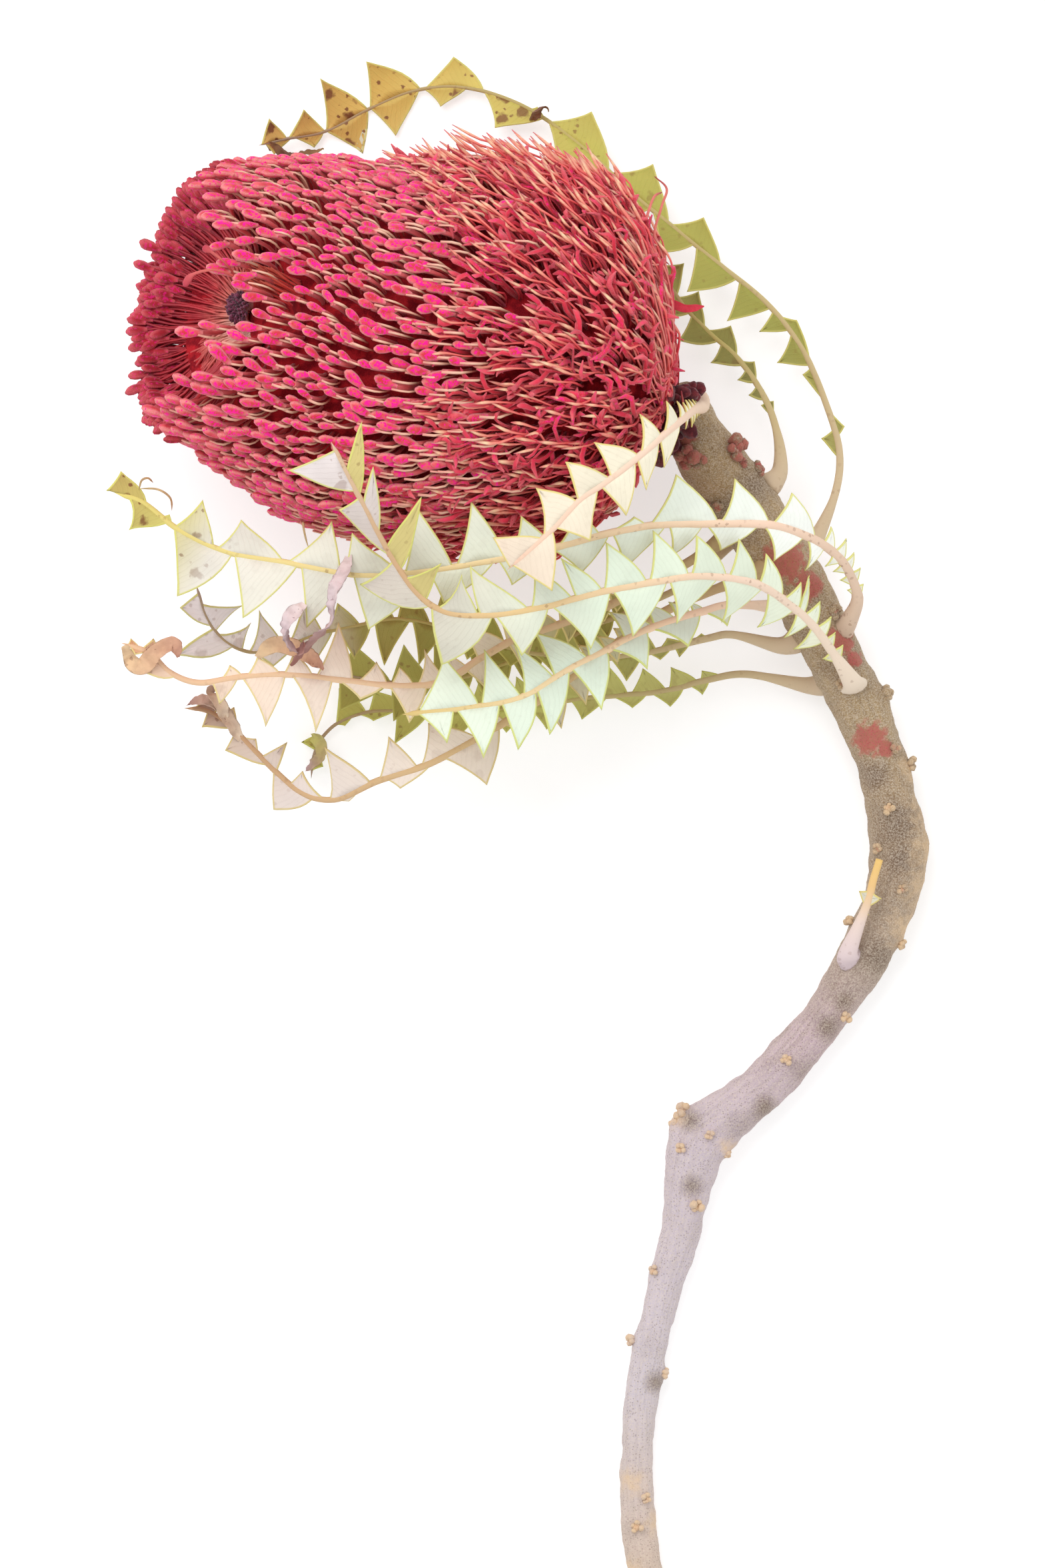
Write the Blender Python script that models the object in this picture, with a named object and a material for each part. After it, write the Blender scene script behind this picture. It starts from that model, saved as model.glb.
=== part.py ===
"""A cut, dried showy banksia lying on a table: flower head, S-bent stem and lobed leaves.

The flower lies as the photograph shows it from above: X to the right, Y along the stem towards
the flower, Z up. All lengths below are in millimetres and are scaled to metres at the end.
"""

import math
import random

import bmesh
import bpy
from mathutils import Matrix, Vector
from mathutils.bvhtree import BVHTree

MM = 0.001
SEED = 11
COLLECTION = "showy_banksia"
SEAT = 0.3
BASE_CLEARANCE = 0.32
ORIGIN_SHIFT = Vector((-0.5, -2.1, 0.0))

# Flower head: its axis runs from the stem to the apex, a little raised towards the viewer.
HEAD_BASE = Vector((37.5, 107.5, 33.6))
HEAD_AXIS = Vector((-121.0, 21.0, 40.0)).normalized()
HEAD_SIDES = 20
SPREAD = [(-2, 12), (6, 20), (9, 28), (14, 39), (20, 45), (30, 48), (50, 48.5), (70, 47.5)]
SPREAD += [(77, 46.5), (90, 44.5), (105, 41), (118, 36), (127, 31.5), (130, 27), (134, 25)]
CORE = [(0, 10), (3, 11.5), (6, 15), (9, 22), (13, 30), (20, 35.5), (30, 38.5), (50, 39.5)]
CORE += [(70, 39), (80, 38), (90, 36), (105, 32), (115, 27.5), (121, 22)]
CUP = [(120, 17.5), (115, 12), (111, 8), (112, 5.4), (114.5, 5), (116, 3.2)]
CUP_FLOOR = 116.3
SAG = 4.0
RIM_DROP = 4.0
CLUB_ROW = 10.4
CLUB_GAP = 7.0
CLUB_FIRST = 50.0
CLUB_LAST = 129.0
CLUB_HALF_WIDTH = 2.6
STYLE_ROW = 7.6
STYLE_GAP = 14.4
RIM_STRANDS = 30
BRACTS = 9

# Stem: x, y, z, radius.
STEM = [(38.0, 107.4, 34.3, 7.0), (44.5, 103.0, 30.0, 7.0), (50.0, 90.0, 25.5, 7.2),
        (57.5, 77.5, 21.0, 7.2), (65.5, 64.5, 17.5, 7.0), (74.0, 49.0, 14.2, 6.7),
        (82.5, 32.5, 11.2, 6.7), (87.0, 22.5, 9.6, 5.9), (89.5, 14.0, 8.8, 6.1),
        (92.0, 3.0, 8.4, 6.5), (93.0, -6.5, 8.2, 6.8), (90.5, -17.5, 8.0, 6.4),
        (83.5, -31.5, 7.6, 5.9), (74.5, -45.5, 7.0, 5.3), (60.0, -62.0, 7.0, 5.7),
        (46.5, -73.0, 7.6, 6.8), (42.5, -82.0, 7.0, 6.2), (40.0, -97.0, 5.8, 4.7),
        (35.5, -113.0, 5.2, 4.1), (31.0, -134.0, 4.8, 3.9), (29.5, -149.5, 4.4, 3.9),
        (29.5, -165.5, 4.2, 4.0), (31.0, -177.0, 4.3, 4.2), (32.5, -188.5, 4.2, 4.2)]
STEM_SIDES = 12
STEM_STEP = 8.0
# Buds and knobs: distance along the stem's length as a y value, side angle, radius.
BUDS = [(96.0, 20, 2.3), (92.0, 150, 1.8), (87.0, -20, 1.7), (80.5, 110, 1.5), (56.0, -35, 1.9),
        (41.0, 130, 1.7), (38.5, 112, 1.7), (32.0, 35, 2.1), (20.5, 5, 1.7), (14.5, -8, 1.8),
        (6.0, 100, 1.6), (-3.5, 120, 1.5), (-12.0, 60, 1.6), (-27.0, 5, 1.6), (-44.5, 20, 1.6),
        (-54.5, 85, 1.5), (-59.5, 95, 1.4), (-66.0, 175, 2.9), (-69.5, 150, 2.2),
        (-75.5, 70, 1.5), (-77.0, 10, 1.4), (-89.5, 60, 1.9), (-105.5, 120, 1.9),
        (-121.0, 175, 1.6), (-129.5, -5, 1.8), (-159.5, 110, 1.1), (-166.5, 100, 1.9)]

BLADE = 0.7
RIB_HALF_WIDTH = 1.25
RIB_RISE = 0.75
LEAF_TIP = 5.0

# Leaves: route points, then (place along the leaf, value) pairs for roll and lobe reach.
LEAVES = {
    "leaf_top_arc": {
        "under": False, "pitch": 12.4, "bare": 30.0, "petiole": 1.7,
        "route": [(71, 69, 14), (74.5, 74.5, 12.6), (77.5, 82.5, 12), (78.5, 92.5, 11.6),
                  (75.5, 103.5, 11.4), (69.5, 117.5, 11.4), (61, 128.5, 11.4),
                  (49.5, 138, 11.6), (36.5, 148.5, 11.4), (27, 156.5, 10.4), (16.5, 166.5, 8.4),
                  (2.5, 176.5, 5.6), (-12, 181.5, 3.2), (-24.5, 181, 1.6), (-36, 176.5, 1.1),
                  (-46.5, 171, 2.3), (-56, 169, 5.5), (-61.5, 167.5, 8.5)],
        "roll": [(0, 0), (0.25, -15), (0.35, 8), (0.5, 16), (0.6, 14), (0.74, 10), (0.85, -8), (1, -20)],
        "reach": [(0.14, 1.5), (0.24, 4), (0.34, 8), (0.45, 11), (0.85, 11.5), (1, 6)],
    },
    "leaf_side_arc": {
        "under": False, "pitch": 8.5, "bare": 17.0, "petiole": 1.5,
        "route": [(62, 85, 21), (63.5, 89.5, 20), (63.5, 95.5, 19), (60.5, 105, 17),
                  (54, 115, 12), (46, 122.5, 8), (39.5, 130, 5), (35.5, 137.5, 3.4),
                  (33.5, 144, 2.6)],
        "roll": [(0, 0), (0.4, 20), (0.7, 8), (1, 0)],
        "reach": [(0.25, 1.5), (0.45, 4), (0.62, 8.5), (0.8, 9), (1, 4)],
    },
    "leaf_short": {
        "under": True, "pitch": 10.6, "bare": 6.0, "petiole": 1.7,
        "route": [(44, 103.5, 39), (42, 101, 57), (37, 96.5, 77), (28.5, 89, 86.5),
                  (21.5, 83.5, 89), (15, 79, 90.5), (9.5, 73, 91), (2.5, 66.5, 91),
                  (-1, 63.5, 90)],
        "roll": [(0, 0), (0.2, -30), (0.42, -28), (0.65, -12), (1, 2)],
        "reach": [(0.08, 2), (0.3, 4), (0.5, 10.5), (0.8, 12), (1, 8)],
    },
    "leaf_upper": {
        "under": True, "pitch": 10.4, "bare": 10.0, "petiole": 1.7,
        "route": [(80.5, 50.5, 20), (82.5, 57, 26), (80, 63.5, 31.5), (76, 68, 37),
                  (69.5, 71.5, 44.5), (60.5, 74, 52), (45, 74, 62), (32.5, 73.5, 69),
                  (20, 71, 74), (7, 67.5, 77), (-5.5, 65, 78.5), (-21.5, 62.5, 79),
                  (-37.5, 61.5, 78), (-55, 64.5, 76.5), (-69, 67, 77), (-80, 72, 79.5),
                  (-88.5, 78.5, 82.5), (-94, 80.5, 84)],
        "roll": [(0, 0), (0.15, 8), (0.32, -20), (0.7, -20), (0.8, 0), (0.9, -14), (1, 20)],
        "reach": [(0.03, 1.5), (0.12, 4.5), (0.24, 10), (0.34, 12), (0.85, 12.5), (1, 7)],
    },
    "leaf_middle": {
        "under": True, "pitch": 10.2, "bare": 11.0, "petiole": 2.4,
        "route": [(82, 35.5, 22), (77.5, 42, 28.5), (71.5, 50, 36), (65, 55.5, 43.5),
                  (57, 60, 53), (45.5, 61.5, 63), (36, 60.5, 69.5), (20, 57.5, 75.5),
                  (7, 54, 78.5), (-5.5, 52, 80.5), (-16.5, 52.5, 83), (-24, 57.5, 87.5),
                  (-31, 68, 94.5), (-36, 77.5, 101), (-40, 85, 105), (-43, 91, 107.5)],
        "roll": [(0, 0), (0.2, -8), (0.35, -18), (0.62, -12), (0.8, -18), (1, 15)],
        "reach": [(0.03, 1.5), (0.1, 4), (0.22, 9), (0.34, 11.5), (0.85, 12), (1, 9)],
    },
    "leaf_lower_mid": {
        "under": True, "pitch": 10.4, "bare": 30.0, "petiole": 1.8,
        "route": [(65, 54.5, 24), (60.5, 55.2, 30), (52, 55, 38), (44, 53, 45),
                  (34.5, 50, 50.5), (27.5, 47, 54), (20, 43, 57.5), (12, 39, 60),
                  (1, 32.5, 62.5), (-12, 30, 63.5), (-21.5, 29, 63), (-26, 28.5, 61)],
        "roll": [(0, 10), (0.4, 25), (0.7, -6), (1, 10)],
        "reach": [(0.25, 2), (0.38, 7.5), (0.55, 11), (0.9, 12), (1, 9)],
    },
    "leaf_green_upper": {
        "under": False, "pitch": 10.4, "bare": 26.0, "petiole": 1.6,
        "route": [(68.5, 47, 14.5), (60.5, 48.5, 16), (52.5, 48, 17), (46, 47, 18.5),
                  (31, 43.5, 20.5), (17, 42, 23.5), (1, 44, 27.5), (-12, 47.5, 31),
                  (-21.5, 50.5, 34), (-29.5, 51.5, 36), (-38, 50, 38), (-47.5, 48, 40),
                  (-56, 45, 41.5), (-64, 43.5, 43), (-70.5, 46.5, 46), (-74.5, 52, 50),
                  (-76.5, 58.5, 54)],
        "roll": [(0, 0), (0.3, -18), (0.6, 12), (0.8, -14), (1, 10)],
        "reach": [(0.12, 1.5), (0.24, 4), (0.38, 9), (0.5, 11), (0.8, 10), (1, 6)],
    },
    "leaf_green_lower": {
        "under": False, "pitch": 10.2, "bare": 26.0, "petiole": 1.6,
        "route": [(75, 36.5, 9), (67.5, 38, 8.6), (56, 38.5, 8), (46, 37, 7.2),
                  (36.5, 34.5, 6.4), (27, 33.5, 5.8), (15.5, 32.5, 5), (1, 30.5, 4.2),
                  (-12, 29.5, 3.6), (-22, 29.5, 3.0), (-35, 29.5, 2.2), (-43, 27, 1.6),
                  (-47.5, 23, 1.4), (-49.5, 18.5, 1.3), (-50, 14.5, 1.1)],
        "roll": [(0, 0), (0.4, -10), (0.7, 5), (1, -4)],
        "reach": [(0.18, 1.5), (0.28, 4.5), (0.42, 9.5), (0.6, 11), (0.9, 10), (1, 5)],
    },
    "leaf_tan": {
        "under": True, "pitch": 10.2, "bare": 34.0, "petiole": 1.7,
        "route": [(60.4, 64.6, 23), (54.5, 61.5, 27), (46, 58, 31), (36, 53.5, 34.5),
                  (26.5, 47.5, 37.5), (17, 40, 40), (4, 31, 41.5), (-5.5, 25, 42),
                  (-12.5, 21, 42), (-22.5, 16, 41.5), (-33.5, 12.5, 40), (-44, 8, 37),
                  (-52.5, 10, 33.5), (-61.5, 18, 29.5), (-69, 25.5, 26.5), (-75, 29.5, 25),
                  (-79, 30, 24.5)],
        "roll": [(0, 0), (0.3, -12), (0.55, 10), (0.75, -25), (1, 25)],
        "reach": [(0.2, 1.5), (0.32, 7), (0.45, 10.5), (0.85, 11), (1, 6)],
    },
    "leaf_cream": {
        "under": True, "pitch": 10.2, "bare": 36.0, "petiole": 1.7,
        "route": [(54, 74.5, 22), (49, 70.5, 27.5), (41, 65, 34), (29.5, 58.5, 40),
                  (18.5, 53, 44.5), (7, 49, 47.5), (-1.5, 46, 49), (-8.5, 42, 50),
                  (-14.5, 38, 51), (-21.5, 35.5, 52), (-32, 35.5, 53), (-44.5, 37, 54),
                  (-55, 38, 55.5), (-66, 37.5, 57), (-76, 36, 58.5), (-83, 38.5, 60.5),
                  (-87.5, 43, 62.5), (-93, 45, 64)],
        "roll": [(0, 0), (0.35, -15), (0.6, 20), (0.8, -15), (1, 25)],
        "reach": [(0.2, 1.5), (0.32, 6), (0.42, 8), (0.6, 10.5), (0.85, 10), (1, 4)],
    },
    "leaf_hidden": {
        "under": False, "pitch": 10.4, "bare": 30.0, "petiole": 1.5,
        "route": [(54.5, 72.5, 14.5), (51, 68, 15), (43, 61.5, 15.5), (31.5, 55.5, 16),
                  (20, 50.5, 16.5), (7.5, 45, 16.5), (-5.5, 40, 17), (-15.5, 37, 18),
                  (-25, 36, 19.5), (-34.5, 37, 21.5), (-43, 38.5, 23.5)],
        "roll": [(0, 0), (0.5, 8), (1, -12)],
        "reach": [(0.25, 1.5), (0.4, 6), (0.6, 9.5), (0.9, 10), (1, 6)],
    },
    "leaf_stub": {
        "under": True, "pitch": 6.0, "bare": 9.0, "petiole": 2.0,
        "route": [(80.5, -30.5, 14.5), (83.5, -24, 16.5), (85, -17.5, 18.5),
                  (86.5, -11.5, 20), (88, -6.5, 21)],
        "roll": [(0, 0), (1, -10)],
        "reach": [(0.4, 2.5), (0.6, 4.5), (0.8, 2), (1, 1.2)],
    },
}
# A dried strip that curls over the upper leaf and is part of it.
STRIP = {
    "under": True, "pitch": 8.0, "bare": 2.0, "petiole": 1.0,
    "route": [(-37.5, 68.5, 73.5), (-39, 63.5, 79), (-41, 57, 80.5), (-42.5, 51.5, 79.5),
              (-45.5, 47, 76), (-49, 44, 71), (-52, 41.5, 67)],
    "roll": [(0, 40), (0.5, 62), (1, 50)],
    "reach": [(0, 3.5), (0.5, 4.5), (1, 3)],
}


def clear_scene():
    """Removes what the startup scene holds."""
    for obj in list(bpy.data.objects):
        bpy.data.objects.remove(obj, do_unlink=True)


def material(name, colour, roughness):
    """Returns a plain material with this colour."""
    found = bpy.data.materials.new(name)
    found.use_nodes = True
    shader = found.node_tree.nodes["Principled BSDF"]
    shader.inputs["Base Color"].default_value = (*colour, 1.0)
    shader.inputs["Roughness"].default_value = roughness
    return found


def interpolate(table, place):
    """Returns the value of a list of (place, value) pairs at this place."""
    if place <= table[0][0]:
        return table[0][1]
    for (first, low), (last, high) in zip(table, table[1:]):
        if place <= last:
            return low + (high - low) * (place - first) / (last - first)
    return table[-1][1]


def smooth_curve(points, step):
    """Returns points about a step apart on a curve through the given ones (Catmull-Rom)."""
    rows = [Vector(point) for point in points]
    rows = [2 * rows[0] - rows[1]] + rows + [2 * rows[-1] - rows[-2]]
    dense = []
    for i in range(1, len(rows) - 2):
        before, start, end, after = rows[i - 1:i + 3]
        count = max(2, int((end - start).length / step) + 1)
        for k in range(count):
            t = k / count
            bend = (2 * before - 5 * start + 4 * end - after) * t * t
            turn = (3 * start - before - 3 * end + after) * t ** 3
            dense.append((2 * start + (end - before) * t + bend + turn) / 2)
    dense.append(rows[-2].copy())
    return dense


def arc_places(points):
    """Returns the distance from the start of each point of a polyline."""
    places = [0.0]
    for first, last in zip(points, points[1:]):
        places.append(places[-1] + (last - first).length)
    return places


def point_at(points, places, place):
    """Returns the point of a polyline at this distance from its start."""
    for i in range(1, len(points)):
        if place <= places[i] or i == len(points) - 1:
            span = places[i] - places[i - 1]
            return points[i - 1].lerp(points[i], (place - places[i - 1]) / span)
    return points[-1].copy()


def object_from(name, vertices, faces):
    """Makes a mesh object, in millimetres, with its faces turned outwards."""
    mesh = bpy.data.meshes.new(name)
    mesh.from_pydata([tuple(vertex) for vertex in vertices], [], faces)
    work = bmesh.new()
    work.from_mesh(mesh)
    bmesh.ops.recalc_face_normals(work, faces=work.faces)
    if work.calc_volume(signed=True) < 0:
        bmesh.ops.reverse_faces(work, faces=work.faces)
    work.to_mesh(mesh)
    work.free()
    return bpy.data.objects.new(name, mesh)


def loft(name, rings, tip=None):
    """Makes a closed solid through rings of points, ending in a cap or in a tip point."""
    sides = len(rings[0])
    vertices = [point for ring in rings for point in ring]
    faces = [tuple(reversed(range(sides)))]
    for row in range(len(rings) - 1):
        for k in range(sides):
            after = (k + 1) % sides
            low = row * sides
            faces.append((low + k, low + after, low + sides + after, low + sides + k))
    last = (len(rings) - 1) * sides
    if tip is None:
        faces.append(tuple(range(last, last + sides)))
    else:
        vertices.append(tip)
        for k in range(sides):
            faces.append((last + k, last + (k + 1) % sides, len(vertices) - 1))
    return object_from(name, vertices, faces)


def ring(centre, across, up, half_width, half_height, sides, turn=0.0):
    """Returns the points of an elliptic ring."""
    points = []
    for k in range(sides):
        angle = turn + 2 * math.pi * k / sides
        side = across * (half_width * math.cos(angle))
        points.append(centre + side + up * (half_height * math.sin(angle)))
    return points


def keep_outer_shell(mesh):
    """Keeps the largest closed shell: loose scraps and sealed hollows go."""
    work = bmesh.new()
    work.from_mesh(mesh)
    bmesh.ops.triangulate(work, faces=work.faces)
    left = set(work.faces)
    shells = []
    while left:
        start = left.pop()
        shell = [start]
        queue = [start]
        while queue:
            for edge in queue.pop().edges:
                for face in edge.link_faces:
                    if face in left:
                        left.discard(face)
                        shell.append(face)
                        queue.append(face)
        shells.append(shell)
    shells.sort(key=len)
    for shell in shells[:-1]:
        bmesh.ops.delete(work, geom=shell, context="FACES")
    loose = [vertex for vertex in work.verts if not vertex.link_faces]
    bmesh.ops.delete(work, geom=loose, context="VERTS")
    work.to_mesh(mesh)
    work.free()


def combine(body, extras, operation="UNION"):
    """Applies one Boolean between the body and a collection, then removes the collection."""
    group = bpy.data.collections.new(body.name + "_extras")
    bpy.context.scene.collection.children.link(group)
    for extra in extras:
        group.objects.link(extra)
    bpy.context.scene.collection.objects.link(body)
    modifier = body.modifiers.new("combine", "BOOLEAN")
    modifier.operation = operation
    modifier.operand_type = "COLLECTION"
    modifier.collection = group
    modifier.solver = "MANIFOLD"
    graph = bpy.context.evaluated_depsgraph_get()
    mesh = bpy.data.meshes.new_from_object(body.evaluated_get(graph))
    body.modifiers.clear()
    body.data = mesh
    keep_outer_shell(mesh)
    for extra in extras:
        bpy.data.objects.remove(extra, do_unlink=True)
    bpy.data.collections.remove(group)
    bpy.context.scene.collection.objects.unlink(body)
    return body


def finish(obj, colour, roughness, collection, smooth):
    """Scales a node from millimetres to metres, colours it and puts it in the collection."""
    obj.data.transform(Matrix.Translation(ORIGIN_SHIFT))
    obj.data.transform(Matrix.Scale(MM, 4))
    obj.data.materials.clear()
    obj.data.materials.append(material(obj.name + "_finish", colour, roughness))
    obj.data.polygons.foreach_set("use_smooth", [smooth] * len(obj.data.polygons))
    obj.data.update()
    collection.objects.link(obj)


def head_directions():
    """Returns the head's raised side direction and its level side direction."""
    up = Vector((0, 0, 1))
    raised = (up - HEAD_AXIS * up.dot(HEAD_AXIS)).normalized()
    return raised, HEAD_AXIS.cross(raised)


def head_point(along, angle, radius):
    """Returns a point of the head from its place along the axis, its angle and its radius."""
    raised, level = head_directions()
    share = min(1.0, max(0.0, (along - 85.0) / 36.0))
    drop = RIM_DROP * (1 + math.cos(angle)) * share * share * (3 - 2 * share)
    sag = -SAG * math.exp(-(((along - 82.0) / 24.0) ** 2))
    centre = HEAD_BASE + HEAD_AXIS * (along - drop) + level * sag
    return centre + (raised * math.cos(angle) + level * math.sin(angle)) * radius


def head_core():
    """Makes the core that the florets stand out of, with the hollow at the apex."""
    rings = []
    for along, radius in CORE + CUP:
        turns = [2 * math.pi * k / HEAD_SIDES for k in range(HEAD_SIDES)]
        rings.append([head_point(along, angle, radius) for angle in turns])
    return loft("flower_head", rings, head_point(CUP_FLOOR, 0, 0))


def tapered(name, root, belly, tip, angle, widths):
    """Makes a four-sided floret from a sunk root, through a belly, to a point."""
    raised, level = head_directions()
    along = (tip - root).normalized()
    out = raised * math.cos(angle) + level * math.sin(angle)
    across = along.cross(out).normalized()
    up = across.cross(along)
    turn = math.pi / 4
    start = ring(root, across, up, widths[0], widths[0], 4, turn)
    middle = ring(belly, across, up, widths[1] * 1.3, widths[2] * 1.3, 4, turn)
    return loft(name, [start, middle], tip)


def closed_florets(rng):
    """Makes the closed florets with club tips that point to the apex."""
    florets = []
    rows = int((CLUB_LAST - CLUB_FIRST) / CLUB_ROW) + 1
    for row in range(rows):
        place = CLUB_FIRST + (CLUB_LAST - CLUB_FIRST) * row / (rows - 1)
        count = max(18, round(2 * math.pi * interpolate(SPREAD, place) / CLUB_GAP))
        for k in range(count):
            angle = 2 * math.pi * (k + 0.5 * (row % 2)) / count + rng.uniform(-0.012, 0.012)
            end = place + rng.uniform(-1.6, 1.6)
            reach = interpolate(SPREAD, end) + rng.uniform(-0.9, 0.5)
            foot = end - 13.5
            root = head_point(foot, angle, interpolate(CORE, foot) - 2.4)
            tip = head_point(end, angle, reach)
            lift = head_point(end - 4.4, angle, reach + 0.2)
            belly = lift.lerp(root.lerp(tip, 0.7), 0.35)
            widths = (0.9, CLUB_HALF_WIDTH, 1.9)
            florets.append(tapered("club", root, belly, tip, angle, widths))
    return florets


def open_florets(rng):
    """Makes the open florets of the base half: styles that stand out with swollen tips."""
    florets = []
    place = 8.0
    row = 0
    while place < CLUB_FIRST - 6.0:
        count = max(9, round(2 * math.pi * interpolate(SPREAD, place) / STYLE_GAP))
        for k in range(count):
            angle = 2 * math.pi * (k + 0.5 * (row % 2)) / count + rng.uniform(-0.04, 0.04)
            end = place + rng.uniform(-1.2, 1.2)
            foot = end - 1.0 if place < 16 else end - 7.0
            foot = max(foot, 7.5)
            reach = interpolate(SPREAD, end) + rng.uniform(-1.5, 0.4)
            root = head_point(foot, angle, interpolate(CORE, foot) - 3.0)
            tip = head_point(end, angle, reach)
            belly = root.lerp(tip, 0.66)
            florets.append(tapered("style", root, belly, tip, angle, (1.5, 2.5, 2.2)))
        place += STYLE_ROW
        row += 1
    return florets


def rim_strands(rng):
    """Makes the thin florets that line the hollow at the apex, tips standing out of its rim."""
    strands = []
    for k in range(RIM_STRANDS):
        angle = 2 * math.pi * (k + rng.uniform(-0.25, 0.25)) / RIM_STRANDS
        root = head_point(110.5, angle, 10.0)
        tip = head_point(130.5 + rng.uniform(-1.0, 1.0), angle, 27.5)
        belly = head_point(125.5, angle, 23.6)
        strands.append(tapered("strand", root, belly, tip, angle, (0.9, 1.5, 1.6)))
    return strands


def bracts(rng):
    """Makes the short dark bracts round the base of the head."""
    pieces = []
    for k in range(BRACTS):
        angle = 2 * math.pi * (k + rng.uniform(-0.2, 0.2)) / BRACTS
        root = head_point(5.0, angle, 9.0)
        tip = head_point(1.2, angle, 15.5)
        belly = head_point(2.8, angle, 12.0)
        pieces.append(tapered("bract", root, belly, tip, angle, (1.6, 2.2, 1.4)))
    return pieces


def table_block():
    """Makes the block below the table top, which flattens what would sink into it."""
    corners = [Vector((x, y, z)) for z in (-30, 0) for x, y in
               ((-200, -300), (200, -300), (200, 300), (-200, 300))]
    return loft("table_block", [corners[:4], corners[4:]])


def flower_head(collection, rng):
    """Makes the flower head as one solid."""
    pieces = closed_florets(rng) + open_florets(rng) + rim_strands(rng) + bracts(rng)
    head = combine(head_core(), pieces)
    head = combine(head, [table_block()], "DIFFERENCE")
    finish(head, (0.55, 0.05, 0.09), 0.75, collection, False)


def stem_rings():
    """Returns the stem's centre line with its radii: the points, their places and the radii."""
    centres = smooth_curve([row[:3] for row in STEM], 1.0)
    places = arc_places(centres)
    marks = []
    for x, y, z, radius in STEM:
        gaps = [(centre - Vector((x, y, z))).length for centre in centres]
        marks.append((places[gaps.index(min(gaps))], radius))
    return centres, places, marks


def stem_frame(centres, places, place):
    """Returns a point of the stem and its three directions: along, sideways and raised."""
    point = point_at(centres, places, place)
    ahead = point_at(centres, places, min(places[-1], place + 1.5))
    behind = point_at(centres, places, max(0.0, place - 1.5))
    along = (ahead - behind).normalized()
    across = along.cross(Vector((0, 0, 1))).normalized()
    return point, along, across * -1, across.cross(along)


def stem_body(centres, places, marks):
    """Makes the bent stem with its slight swellings."""
    rings = []
    count = int(places[-1] / STEM_STEP)
    for k in range(count + 1):
        place = places[-1] * k / count
        point, along, across, up = stem_frame(centres, places, place)
        if k == 0:
            across = across - HEAD_AXIS * across.dot(HEAD_AXIS)
            across.normalize()
            up = HEAD_AXIS.cross(across)
            up = up if up.z > 0 else -up
            point = HEAD_BASE - HEAD_AXIS * SEAT
        radius = interpolate(marks, place)
        points = []
        for j in range(STEM_SIDES):
            angle = 2 * math.pi * j / STEM_SIDES
            swell = 1 + 0.035 * math.sin(0.21 * place + 2 * angle)
            swell += 0.025 * math.sin(0.37 * place - 3 * angle)
            swell = 1.0 if k in (0, count) else swell
            side = across * math.cos(angle) + up * math.sin(angle)
            points.append(point + side * (radius * swell))
        rings.append(points)
    return loft("flower_stem", rings)


def stem_buds(centres, places, marks):
    """Makes the buds and knobs that stand out of the stem."""
    buds = []
    for level, turn, size in BUDS:
        gaps = [abs(centre.y - level) for centre in centres]
        place = places[gaps.index(min(gaps))]
        point, along, across, up = stem_frame(centres, places, place)
        angle = math.radians(turn)
        out = across * math.cos(angle) + up * math.sin(angle)
        side = along.cross(out)
        surface = point + out * interpolate(marks, place)
        rings = [ring(surface - out * 2.2, along, side, size * 1.1, size * 1.1, 5),
                 ring(surface + out * size * 0.25, along, side, size, size, 5),
                 ring(surface + out * size * 0.8, along, side, size * 0.55, size * 0.55, 5)]
        buds.append(loft("bud", rings))
    return buds


def flower_stem(collection):
    """Makes the stem with its buds as one solid and returns its surface."""
    centres, places, marks = stem_rings()
    stem = combine(stem_body(centres, places, marks), stem_buds(centres, places, marks))
    stem = combine(stem, [table_block()], "DIFFERENCE")
    surface = surface_of(stem)
    finish(stem, (0.36, 0.28, 0.21), 0.85, collection, False)
    return surface


def surface_of(obj):
    """Returns a search tree of an object's faces, in millimetres."""
    corners = [vertex.co.copy() for vertex in obj.data.vertices]
    return BVHTree.FromPolygons(corners, [tuple(face.vertices) for face in obj.data.polygons])


def seat_start(spec, stem_surface):
    """Moves a leaf's first point so that its base stands just clear of the stem."""
    route = spec["route"]
    centres = stem_rings()[0]
    start = Vector(route[0])
    gaps = [(centre - start).length for centre in centres]
    nearest = centres[gaps.index(min(gaps))]
    out = (start - nearest).normalized()
    side = out.orthogonal().normalized()
    width = RIB_HALF_WIDTH * 1.1 + spec["petiole"] * 0.6
    disc = ring(Vector(), side, out.cross(side), width, width, 12)
    distance = 12.0
    for _ in range(8):
        base = nearest + out * distance
        clear = min(stem_surface.find_nearest(base + corner)[3] for corner in disc)
        clear = min(clear, stem_surface.find_nearest(base)[3])
        distance -= (clear - SEAT - BASE_CLEARANCE) * 0.9
    seated = nearest + out * distance
    ahead = (Vector(route[2]) - seated).normalized()
    second = seated + out * 2.0 + ahead * 1.8
    rest = [Vector(point) for point in route[1:]]
    return [seated, second] + [point for point in rest if (point - second).length > 6.0]


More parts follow.
